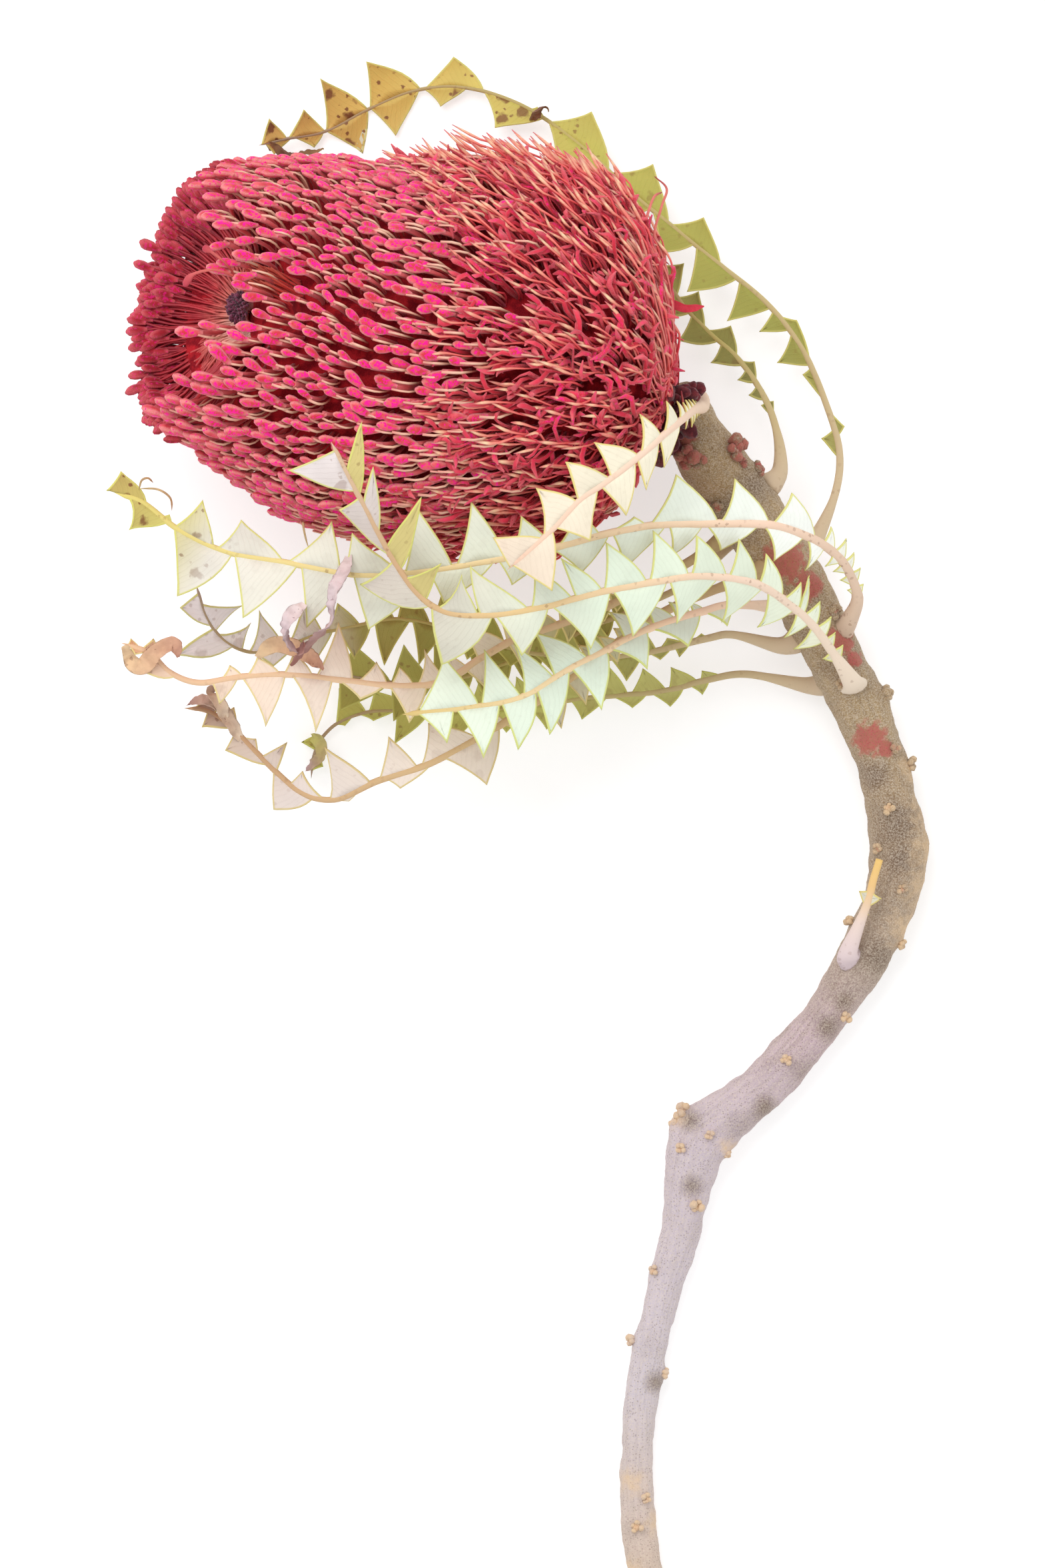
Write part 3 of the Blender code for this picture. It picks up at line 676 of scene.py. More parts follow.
class Effects:
    """Shader node groups that several finishes share."""

    def __init__(self) -> None:
        """Builds the groups."""
        self.patches = self.build_patches()
        self.specks = self.build_specks()
        self.felt = self.build_felt()

    def build_patches(self) -> Tree:
        """Makes soft patches of noise: a mask that rises between two levels.

        Returns:
            The group.
        """
        tree = new_group("soft_patches", "ShaderNodeTree",
                         {"Vector": ("NodeSocketVector", None),
                          "Scale": ("NodeSocketFloat", 100.0),
                          "Detail": ("NodeSocketFloat", 3.0),
                          "Low": ("NodeSocketFloat", 0.4), "High": ("NodeSocketFloat", 0.6)},
                         {"Mask": "NodeSocketFloat"})
        given = add(tree, "NodeGroupInput").outputs
        noise = add(tree, "ShaderNodeTexNoise", {"Vector": given["Vector"],
                                                 "Scale": given["Scale"],
                                                 "Detail": given["Detail"]})
        rise = add(tree, "ShaderNodeMapRange",
                   {"Value": noise.outputs[0], "From Min": given["Low"],
                    "From Max": given["High"]}, interpolation_type="SMOOTHSTEP")
        add(tree, "NodeGroupOutput", {"Mask": rise.outputs["Result"]})
        return tree

    def build_specks(self) -> Tree:
        """Makes scattered ragged spots: a mask with a share of the cells spotted.

        Returns:
            The group.
        """
        tree = new_group("scattered_specks", "ShaderNodeTree",
                         {"Vector": ("NodeSocketVector", None),
                          "Scale": ("NodeSocketFloat", 300.0),
                          "Share": ("NodeSocketFloat", 0.3),
                          "Size": ("NodeSocketFloat", 0.3)},
                         {"Mask": "NodeSocketFloat"})
        given = add(tree, "NodeGroupInput").outputs
        ragged = times(tree, given["Scale"], 3.0)
        noise = add(tree, "ShaderNodeTexNoise", {"Vector": given["Vector"], "Scale": ragged,
                                                 "Detail": 2.0})
        cells = add(tree, "ShaderNodeTexVoronoi", {"Vector": given["Vector"],
                                                   "Scale": given["Scale"]})
        pick = add(tree, "ShaderNodeSeparateColor", {0: cells.outputs["Color"]})
        chosen = math_node(tree, "LESS_THAN", pick.outputs[0], given["Share"])
        spread = math_node(tree, "MULTIPLY_ADD", noise.outputs[0], 0.5, -0.25)
        edge = math_node(tree, "ADD", cells.outputs["Distance"], spread)
        near = math_node(tree, "SUBTRACT", given["Size"], edge)
        soft = math_node(tree, "MULTIPLY", near, 9.0, clamp=True)
        add(tree, "NodeGroupOutput", {"Mask": times(tree, soft, chosen)})
        return tree

    def build_felt(self) -> Tree:
        """Makes short matted hair: a height for the bump and a shade for the colour.

        Returns:
            The group.
        """
        tree = new_group("felted_hair", "ShaderNodeTree",
                         {"Vector": ("NodeSocketVector", None),
                          "Scale": ("NodeSocketFloat", 4000.0)},
                         {"Height": "NodeSocketFloat", "Shade": "NodeSocketFloat"})
        given = add(tree, "NodeGroupInput").outputs
        fine = add(tree, "ShaderNodeTexNoise", {"Vector": given["Vector"],
                                                "Scale": given["Scale"], "Detail": 4.0,
                                                "Roughness": 0.7})
        coarse = add(tree, "ShaderNodeTexNoise",
                     {"Vector": given["Vector"], "Distortion": 1.5,
                      "Scale": times(tree, given["Scale"], 0.22)})
        height = math_node(tree, "MULTIPLY_ADD", coarse.outputs[0], 0.6, fine.outputs[0])
        shade = step_up(tree, fine.outputs[0], 0.38, 0.66)
        add(tree, "NodeGroupOutput", {"Height": height, "Shade": shade})
        return tree

    def mask(self, tree: Tree, vector: object, scale: float, low: float,
             high: float, detail: float = 3.0) -> Socket:
        """Places the soft patches in a material and returns their mask."""
        inputs = {"Vector": vector, "Scale": scale, "Low": low, "High": high, "Detail": detail}
        return add(tree, "ShaderNodeGroup", inputs, node_tree=self.patches).outputs["Mask"]

    def spots(self, tree: Tree, vector: object, scale: float, share: float,
              size: float) -> Socket:
        """Places the scattered specks in a material and returns their mask."""
        inputs = {"Vector": vector, "Scale": scale, "Share": share, "Size": size}
        return add(tree, "ShaderNodeGroup", inputs, node_tree=self.specks).outputs["Mask"]

    def hair(self, tree: Tree, vector: object, scale: float) -> Pattern:
        """Places the felted hair in a material.

        Args:
            tree: The material's tree.
            vector: The place on the surface.
            scale: How fine the hair is.

        Returns:
            The sockets of its height and shade.
        """
        inputs = {"Vector": vector, "Scale": scale}
        node = add(tree, "ShaderNodeGroup", inputs, node_tree=self.felt)
        return node.outputs["Height"], node.outputs["Shade"]


@dataclass(frozen=True)
class Finish:
    """A material: constants of its shader, and a pattern that its class makes."""

    name: str
    roughness: float = 0.8
    sheen: float = 0.0
    sheen_tint: Colour = (1.0, 0.9, 0.9, 1.0)
    specular: float = 0.3
    bump: float = 0.5
    bump_depth: float = 0.0002
    glow: float = 0.0

    def pattern(self, tree: Tree, effects: Effects) -> Pattern:
        """Builds the pattern and returns its colour and its height."""
        raise NotImplementedError

    def material(self, effects: Effects) -> Material:
        """Makes the material.

        Args:
            effects: The shared node groups.

        Returns:
            The new material.
        """
        made = bpy.data.materials.new(self.name)
        made.use_nodes = True
        tree = made.node_tree
        shader = tree.nodes["Principled BSDF"]
        values = {"Roughness": self.roughness, "Sheen Weight": self.sheen,
                  "Sheen Roughness": 0.5, "Sheen Tint": self.sheen_tint,
                  "Specular IOR Level": self.specular, "Emission Color": WHITE,
                  "Emission Strength": self.glow}
        for name, value in values.items():
            shader.inputs[name].default_value = value
        colour, height = self.pattern(tree, effects)
        tree.links.new(colour, shader.inputs["Base Color"])
        bump = add(tree, "ShaderNodeBump", {"Height": height, "Strength": self.bump,
                                            "Distance": self.bump_depth})
        tree.links.new(bump.outputs[0], shader.inputs["Normal"])
        return made


@dataclass(frozen=True)
class ClubFinish(Finish):
    """Velvety closed florets: dusty crimson, pale hair rims with painted sheen on their lit side,
    and hot pink dye that is also a painted highlight on the outward crowns.
    """

    body: Colour = rgb(240, 96, 106)
    deep: Colour = rgb(210, 48, 62)
    # Pale rim colour: the real pale hairs, brightened as painted sheen on the lit sides.
    fuzz: Colour = rgb(244, 168, 164)
    # Hot pink dye; where it gathers on the outward crowns it is also a painted highlight.
    dye: Colour = rgb(255, 4, 150)
    dye_and_highlight_share: float = 1.0
    roughness: float = 0.85
    bump: float = 0.7

    def pattern(self, tree: Tree, effects: Effects) -> Pattern:
        """Builds body colour, hair rims with painted sheen, and dye with a painted highlight, from
        the floret's own attributes.

        Args:
            tree: The material's tree.
            effects: The shared node groups.

        Returns:
            The sockets of the colour and of the height.
        """
        place = object_place(tree)
        along = attribute(tree, "along")
        outward = attribute(tree, "outward")
        tint = attribute(tree, "tint")
        height, shade = effects.hair(tree, place, 5200.0)
        patch = effects.mask(tree, place, 420.0, 0.38, 0.62)
        body = blend_colours(tree, patch, self.deep, self.body)
        body = blend_colours(tree, times(tree, tint, 0.6), body, self.deep)
        # Painted sheen: the pale rim runs along each club's sides and only on its lit, outward
        # half; the pale neck below is the floret's own colour.
        side = remainder(tree, step_up(tree, outward, 0.35, 0.85))
        lit = step_up(tree, outward, -0.5, 0.1)
        rim = times(tree, times(tree, side, lit),
                    math_node(tree, "MULTIPLY_ADD", shade, 0.5, 0.35))
        neck = math_node(tree, "SUBTRACT", 0.55, step_up(tree, along, 0.02, 0.26, 0.55))
        rim = math_node(tree, "MAXIMUM", rim, neck)
        hair_and_sheen_rimmed = blend_colours(tree, rim, body, self.fuzz)
        # Painted highlight: the dye gathers on the outward-facing crowns, where the light falls.
        lit_crown = step_up(tree, outward, 0.4, 0.97)
        start = step_up(tree, along, 0.12, 0.4)
        end = remainder(tree, step_up(tree, along, 0.72, 1.0))
        region = effects.mask(tree, place, 70.0, 0.28, 0.5, 1.0)
        lucky = step_up(tree, tint, 1.1, 0.5)
        zone = times(tree, lit_crown, start)
        for factor in (end, region, lucky):
            zone = times(tree, zone, factor)
        grains = effects.mask(tree, place, 1500.0, 0.38, 0.62, 5.0)
        level = math_node(tree, "MULTIPLY_ADD", grains, 1.0, times(tree, zone, 0.52))
        dyed = step_up(tree, level, 0.96, 1.0, self.dye_and_highlight_share)
        return blend_colours(tree, dyed, hair_and_sheen_rimmed, self.dye), height


@dataclass(frozen=True)
class StrandFinish(Finish):
    """Styles, tubes and strips: a run of colours from the root to the tip."""

    stops: Stops = ()
    # Darker colour for random patches, and for the painted shade on the inner side.
    shade: Colour = rgb(120, 20, 35)
    shade_share: float = 0.35
    # Hot pink dye; its specks on the outward face are also a painted highlight.
    dye: Colour = rgb(255, 0, 146)
    dye_and_highlight_share: float = 0.0
    edge: Colour = rgb(222, 130, 132)
    edge_share: float = 0.0

    def pattern(self, tree: Tree, effects: Effects) -> Pattern:
        """Builds the run of colours with darker patches, painted shade on the inner side, and
        specks of dye that are also a painted highlight on the outward face.

        Args:
            tree: The material's tree.
            effects: The shared node groups.

        Returns:
            The sockets of the colour and of the height.
        """
        place = object_place(tree)
        along = attribute(tree, "along")
        tint = attribute(tree, "tint")
        outward = attribute(tree, "outward")
        height, shade = effects.hair(tree, place, 4200.0)
        run = colour_ramp(tree, along, self.stops)
        patch = effects.mask(tree, place, 380.0, 0.4, 0.66)
        share = times(tree, math_node(tree, "ADD", patch, tint), self.shade_share * 0.6)
        dark = blend_colours(tree, share, run, self.shade)
        # Painted shade: the side turned away from the outward direction, into the head or down, is
        # darkened.
        inside = remainder(tree, step_up(tree, outward, -0.8, 0.1))
        dark = blend_colours(tree, times(tree, inside, 0.45), dark, self.shade)
        rim = remainder(tree, step_up(tree, outward, 0.2, 0.8))
        rim = times(tree, rim, times(tree, shade, self.edge_share))
        pale = blend_colours(tree, rim, dark, self.edge)
        # Painted highlight: the dye specks show only on the outward face, where the light falls.
        grains = effects.mask(tree, place, 1700.0, 0.52, 0.58, 2.0)
        top = step_up(tree, outward, 0.4, 0.9, self.dye_and_highlight_share)
        region = effects.mask(tree, place, 70.0, 0.45, 0.62, 1.0)
        dyed = times(tree, times(tree, grains, top), region)
        return blend_colours(tree, dyed, pale, self.dye), height


@dataclass(frozen=True)
class VelvetFinish(Finish):
    """The core, the apex knob and the collar bracts: one colour with darker, matted patches."""

    light: Colour = rgb(150, 30, 40)
    dark: Colour = rgb(60, 8, 16)
    hair_share: float = 0.5
    patch_scale: float = 300.0

    def pattern(self, tree: Tree, effects: Effects) -> Pattern:
        """Builds the patches and the pale ends of the hairs.

        Args:
            tree: The material's tree.
            effects: The shared node groups.

        Returns:
            The sockets of the colour and of the height.
        """
        place = object_place(tree)
        height, shade = effects.hair(tree, place, 3800.0)
        patch = effects.mask(tree, place, self.patch_scale, 0.42, 0.62)
        tips = times(tree, shade, self.hair_share)
        mixed = math_node(tree, "MULTIPLY_ADD", patch, 0.5, tips, clamp=True)
        return blend_colours(tree, mixed, self.dark, self.light), height


@dataclass(frozen=True)
class BarkFinish(Finish):
    """Felted bark: brown-grey above, pale lavender grey below, red dye and dark patches."""

    stops: Stops = ()
    dark: Colour = rgb(98, 76, 60)
    dye: Colour = rgb(178, 54, 64)
    rust: Colour = rgb(226, 194, 154)
    pale: Colour = rgb(222, 208, 190)

    def pattern(self, tree: Tree, effects: Effects) -> Pattern:
        """Builds the run of colours down the stem, its patches, specks and streaks.

        Args:
            tree: The material's tree.
            effects: The shared node groups.

        Returns:
            The sockets of the colour and of the height.
        """
        place = object_place(tree)
        down = attribute(tree, "down")
        dye = attribute(tree, "dye")
        stain = attribute(tree, "stain")
        rust = attribute(tree, "rust")
        height, shade = effects.hair(tree, place, 2600.0)
        run = colour_ramp(tree, down, self.stops)
        blot = effects.mask(tree, place, 90.0, 0.45, 0.68, 4.0)
        upper = remainder(tree, step_up(tree, down, 0.5, 0.75))
        share = times(tree, blot, math_node(tree, "MULTIPLY_ADD", upper, 0.35, 0.12))
        base = blend_colours(tree, share, run, self.dark)
        base = blend_colours(tree, times(tree, stain, 0.75), base, self.dark)
        wrap = add(tree, "ShaderNodeAttribute", attribute_name="wrap").outputs["Vector"]
        streaks = effects.mask(tree, wrap, 1.0, 0.4, 0.7, 5.0)
        deepen = math_node(tree, "MULTIPLY_ADD", upper, 0.16, 0.12)
        base = blend_colours(tree, times(tree, streaks, deepen), base, self.dark)
        grain = times(tree, shade, 0.52)
        base = blend_colours(tree, grain, base, self.pale)
        flecks = effects.spots(tree, place, 1700.0, 0.6, 0.34)
        base = blend_colours(tree, times(tree, flecks, 0.4), base, self.dark)
        edge = effects.mask(tree, place, 520.0, 0.3, 0.65, 6.0)
        red = step_up(tree, math_node(tree, "MULTIPLY_ADD", edge, 0.4, dye), 0.55, 0.95)
        soft = math_node(tree, "MULTIPLY_ADD", shade, 0.4, 0.45)
        base = blend_colours(tree, times(tree, red, soft), base, self.dye)
        warm = step_up(tree, math_node(tree, "MULTIPLY_ADD", edge, 0.35, rust), 0.2, 1.6)
        base = blend_colours(tree, warm, base, self.rust)
        return base, math_node(tree, "MULTIPLY_ADD", streaks, -0.45, height)


@dataclass(frozen=True)
class LeafFinish(Finish):
    """A dried leaf: its seen face by place, its far face, rib, margins, veins and spots."""

    front: Stops = ()
    back: Colour = rgb(150, 150, 84)
    rib: Stops = ()
    margin: Colour = rgb(214, 208, 116)
    spot: Colour = rgb(122, 74, 46)
    spots: Table = ((0.0, 0.1), (1.0, 0.1))
    fleck: float = 0.25

    def pattern(self, tree: Tree, effects: Effects) -> Pattern:
        """Builds blade, veins, margin, rib and spots from the leaf's own attributes.

        Args:
            tree: The material's tree.
            effects: The shared node groups.

        Returns:
            The sockets of the colour and of the height.
        """
        place = object_place(tree)
        share = attribute(tree, "share")
        across = attribute(tree, "across")
        run = attribute(tree, "run")
        tint = attribute(tree, "tint")
        seen = attribute(tree, "seen")
        margin = attribute(tree, "margin")
        rib = attribute(tree, "rib")
        front = colour_ramp(tree, share, self.front)
        blade = blend_colours(tree, seen, self.back, front)
        patch = effects.mask(tree, place, 120.0, 0.35, 0.7, 4.0)
        tone = math_node(tree, "MULTIPLY_ADD", math_node(tree, "ADD", patch, tint), -0.07, 1.05)
        toned = add(tree, "ShaderNodeVectorMath", {0: blade, "Scale": tone}, operation="SCALE")
        wobble = add(tree, "ShaderNodeTexNoise", {"Vector": place, "Scale": 260.0})
        slant = math_node(tree, "MULTIPLY_ADD", across, -0.55, run)
        slant = math_node(tree, "MULTIPLY_ADD", wobble.outputs[0], 1.6, slant)
        wave = math_node(tree, "SINE", times(tree, slant, 4.6))
        vein = step_up(tree, wave, 0.55, 1.0)
        darker = blend_colours(tree, times(tree, vein, 0.03), toned.outputs[0], self.spot)
        specks = effects.spots(tree, place, 520.0, 0.4, 0.3)
        blots = effects.spots(tree, place, 190.0, 0.5, 0.34)
        spotty = math_node(tree, "MAXIMUM", specks, blots)
        grey = tuple((at, (level, level, level, 1.0)) for at, level in self.spots)
        level = times(tree, spotty, colour_ramp(tree, share, grey))
        spotted = blend_colours(tree, level, darker, self.spot)
        edged = blend_colours(tree, times(tree, margin, 0.85), spotted, self.margin)
        ribbed = blend_colours(tree, rib, edged, colour_ramp(tree, share, self.rib))
        flecks = effects.spots(tree, place, 760.0, 0.35, 0.4)
        browned = times(tree, flecks, times(tree, patch, rib))
        flecked = times(tree, browned, self.fleck)
        colour = blend_colours(tree, flecked, ribbed, self.spot)
        fine = add(tree, "ShaderNodeTexNoise", {"Vector": place, "Scale": 3500.0, "Detail": 3.0})
        plain = remainder(tree, rib)
        height = times(tree, vein, times(tree, plain, 0.3))
        return colour, math_node(tree, "MULTIPLY_ADD", fine.outputs[0], 0.5, height)


@dataclass(frozen=True)
class TableFinish(Finish):
    """The plain pale table top."""

    colour: Colour = (0.62, 0.62, 0.62, 1.0)

    def pattern(self, tree: Tree, effects: Effects) -> Pattern:
        """Builds an almost even pale colour.

        Args:
            tree: The material's tree.
            effects: The shared node groups.

        Returns:
            The sockets of the colour and of the height.
        """
        place = object_place(tree)
        patch = effects.mask(tree, place, 3.0, 0.2, 0.8)
        darker = tuple(part * 0.985 for part in self.colour[:3]) + (1.0,)
        return blend_colours(tree, patch, self.colour, darker), patch


class Workshop:
    """The tools, the shared effects and the record of what has been made."""

    def __init__(self) -> None:
        """Builds the node trees that every sub-assembly uses."""
        self.effects = Effects()
        self.sweep = SweepTool()
        self.scatter = ScatterTool()
        self.weather = WeatherTool()

    def keep(self, obj: Object, node: str) -> None:
        """Gives a finished piece to the frame.

        Args:
            obj: The finished piece.
            node: The CAD node that it stands for, whose part is hidden.
        """
        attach(obj, "root")
        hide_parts(node)
        faces = len(obj.data.polygons)
        triangles = sum(len(face.vertices) - 2 for face in obj.data.polygons)
        log.info("%s: %d faces, %d triangles", obj.name, faces, triangles)


@dataclass(frozen=True)
class HeadForm:
    """The flower head's form: an axis with a spread of tips and a core by place along it."""

    base: Point = (37.5, 107.5, 33.6)
    axis: Point = (-121.0, 21.0, 40.0)
    sag: float = 4.0
    rim_drop: float = 4.0
    knob_place: float = 109.4
    spread_table: Table = ((-2, 12), (6, 20), (9, 28), (14, 39), (20, 45), (30, 48), (50, 48.5),
                           (70, 47.5), (77, 46.5), (90, 44.5), (105, 41), (118, 36),
                           (127, 33), (131, 31), (136, 27.5), (140, 24.5))
    core_table: Table = ((0, 10), (3, 11.5), (6, 15), (9, 22), (13, 30), (20, 35.5),
                         (30, 38.5), (50, 39.5), (70, 39), (80, 38), (90, 36), (105, 32),
                         (115, 27.5), (121, 22))

    def directions(self) -> tuple[Array, Array, Array]:
        """Works out the head's own directions.

        Returns:
            The axis, the raised side direction and the level side direction.
        """
        axis = unit(np.array(self.axis))
        raised = unit(UP - axis * (UP @ axis))
        return axis, raised, np.cross(axis, raised)

    def out(self, angle: Array) -> Array:
        """Returns the outward direction at these angles."""
        _, raised, level = self.directions()
        return np.cos(angle)[..., None] * raised + np.sin(angle)[..., None] * level

    def spread(self, along: Array) -> Array:
        """Returns the radius of the floret tips."""
        return read_table(self.spread_table, along)

    def core(self, along: Array) -> Array:
        """Returns the radius of the core."""
        return read_table(self.core_table, along)

    def drop(self, along: Array, angle: Array) -> Array:
        """Returns how far the near side falls back towards the apex."""
        share = np.clip((along - 85.0) / 36.0, 0.0, 1.0)
        return self.rim_drop * (1 + np.cos(angle)) * share * share * (3 - 2 * share)

    def point(self, along: Array, angle: Array, radius: Array) -> Array:
        """Returns points of the head.

        Args:
            along: Places along the axis.
            angle: Angles from the raised side.
            radius: Distances from the axis.

        Returns:
            The points in drawn millimetres.
        """
        axis, _, level = self.directions()
        along, angle, radius = np.broadcast_arrays(along, angle, radius)
        drop = self.drop(along, angle)
        bulge = -self.sag * np.exp(-(((along - 82.0) / 24.0) ** 2))
        centre = np.array(self.base) + (along - drop)[..., None] * axis
        return centre + bulge[..., None] * level + self.out(angle) * radius[..., None]

    def path(self, steps: list[tuple[Array, Array]], angle: Array) -> Array:
        """Returns a path at each of these angles through steps of (along, radius)."""
        return np.stack([self.point(along, angle, radius) for along, radius in steps], axis=1)


@dataclass(frozen=True)
class Strand:
    """A kind of style, tube or strip: half widths in millimetres along it, look and fuzz."""

    name: str
    widths: Table
    look: StrandFinish
    seed: int
    fuzz: float = 0.0001
    fuzz_size: float = 0.0009
    sides: int = 5
    flatness: float = 1.0
    curl: float = 0.0


BOWED_STYLES = Strand(
    "bowed_styles", ((0, 0.33), (0.35, 0.33), (0.6, 0.26), (1, 0.2)),
    StrandFinish("cream_bowed_styles", roughness=0.5, specular=0.35, shade_share=0.12, stops=(
        (0.0, rgb(238, 160, 146)), (0.2, rgb(246, 200, 174)), (0.5, rgb(246, 200, 168)),
        (0.72, rgb(226, 130, 116)), (1.0, rgb(170, 50, 54)))),
    seed=2, fuzz=0.00008, fuzz_size=0.0008)
FLORET_TUBES = Strand(
    "floret_tubes", ((0, 0.75), (0.4, 0.6), (1, 0.45)),
    StrandFinish("red_tubes", roughness=0.75, sheen=0.3, shade_share=0.3, stops=(
        (0.0, rgb(232, 120, 124)), (0.3, rgb(224, 84, 86)), (0.7, rgb(206, 46, 50)),
        (1.0, rgb(140, 20, 28)))),
    seed=4, fuzz=0.0002, fuzz_size=0.001, flatness=0.8)
PARTING_TUBES = Strand(
    "parting_tubes", ((0, 0.26), (0.7, 0.3), (1, 0.14)),
    StrandFinish("orange_red_tubes", roughness=0.6, sheen=0.2, shade_share=0.25, stops=(
        (0.0, rgb(176, 26, 32)), (0.5, rgb(232, 70, 56)), (1.0, rgb(244, 120, 96)))),
    seed=13, fuzz_size=0.001)
OPEN_STYLES = Strand(
    "open_styles", ((0, 0.34), (0.4, 0.28), (0.66, 0.27), (0.77, 0.38), (0.86, 0.5),
                    (0.93, 0.28), (1, 0.1)),
    StrandFinish("cream_tipped_styles", roughness=0.5, specular=0.35, shade=rgb(228, 60, 80),
                 shade_share=0.6, stops=(
                     (0.0, rgb(170, 34, 48)), (0.35, rgb(226, 78, 84)),
                     (0.62, rgb(238, 118, 108)), (0.77, rgb(244, 166, 142)),
                     (0.88, rgb(252, 222, 178)), (1.0, rgb(196, 100, 114)))),
    seed=6)
CURLED_STRIPS = Strand(
    "curled_strips", ((0, 0.42), (0.5, 0.52), (0.8, 0.72), (0.93, 0.6), (1, 0.2)),
    StrandFinish("red_strips", roughness=0.85, sheen=0.4, sheen_tint=rgb(255, 180, 190),
                 shade_share=0.3, dye_and_highlight_share=0.95, edge_share=0.6, stops=(
                     (0.0, rgb(140, 14, 26)), (0.45, rgb(210, 34, 54)),
                     (0.8, rgb(232, 58, 84)), (1.0, rgb(238, 100, 112)))),
    seed=8, fuzz=0.0003, fuzz_size=0.0007, flatness=0.35, curl=0.35)
SHOULDER_STYLES = Strand(
    "shoulder_styles", ((0, 0.26), (0.6, 0.25), (0.82, 0.28), (0.9, 0.36), (0.95, 0.22),
                        (1, 0.1)),
    StrandFinish("pink_arched_styles", roughness=0.5, specular=0.35, shade_share=0.25, stops=(
        (0.0, rgb(206, 66, 74)), (0.5, rgb(226, 104, 102)), (0.8, rgb(236, 144, 130)),
        (0.92, rgb(246, 196, 166)), (1.0, rgb(176, 84, 112)))),
    seed=9)
# The pale cream band near the strands' roots is a painted highlight on their shiny surface.
HOLLOW_STRANDS = Strand(
    "hollow_strands", ((0, 0.24), (0.75, 0.34), (1, 0.46)),
    StrandFinish("red_strands", roughness=0.4, specular=0.45, shade_share=0.5, stops=(
        (0.0, rgb(190, 84, 84)), (0.12, rgb(244, 194, 176)), (0.3, rgb(238, 134, 120)),
        (0.55, rgb(204, 54, 64)), (1.0, rgb(146, 20, 42)))),
    seed=10, fuzz=0.00008, sides=4)


def drawn_from(rng: np.random.Generator, seen: Array, ranges: tuple[Range, Range]) -> Array:
    """Draws values from the first range for the seen items and from the second for the rest."""
    first, rest = (rng.uniform(*limits, len(seen)) for limits in ranges)
    return np.where(seen, first, rest)


@dataclass(frozen=True)
class Planting:
    """How florets are set out in rows round the head, in millimetres and radians."""

    first: float
    last: float
    row_step: float
    side_step: float
    turn_spread: float
    place_spread: float


class Zone(Enum):
    """The two halves of the head's surface, with how the florets are set out in each."""

    CLOSED = Planting(40.0, 140.0, 4.5, 4.15, 0.02, 1.15)
    OPEN = Planting(7.0, 80.0, 4.3, 4.3, 0.03, 0.9)


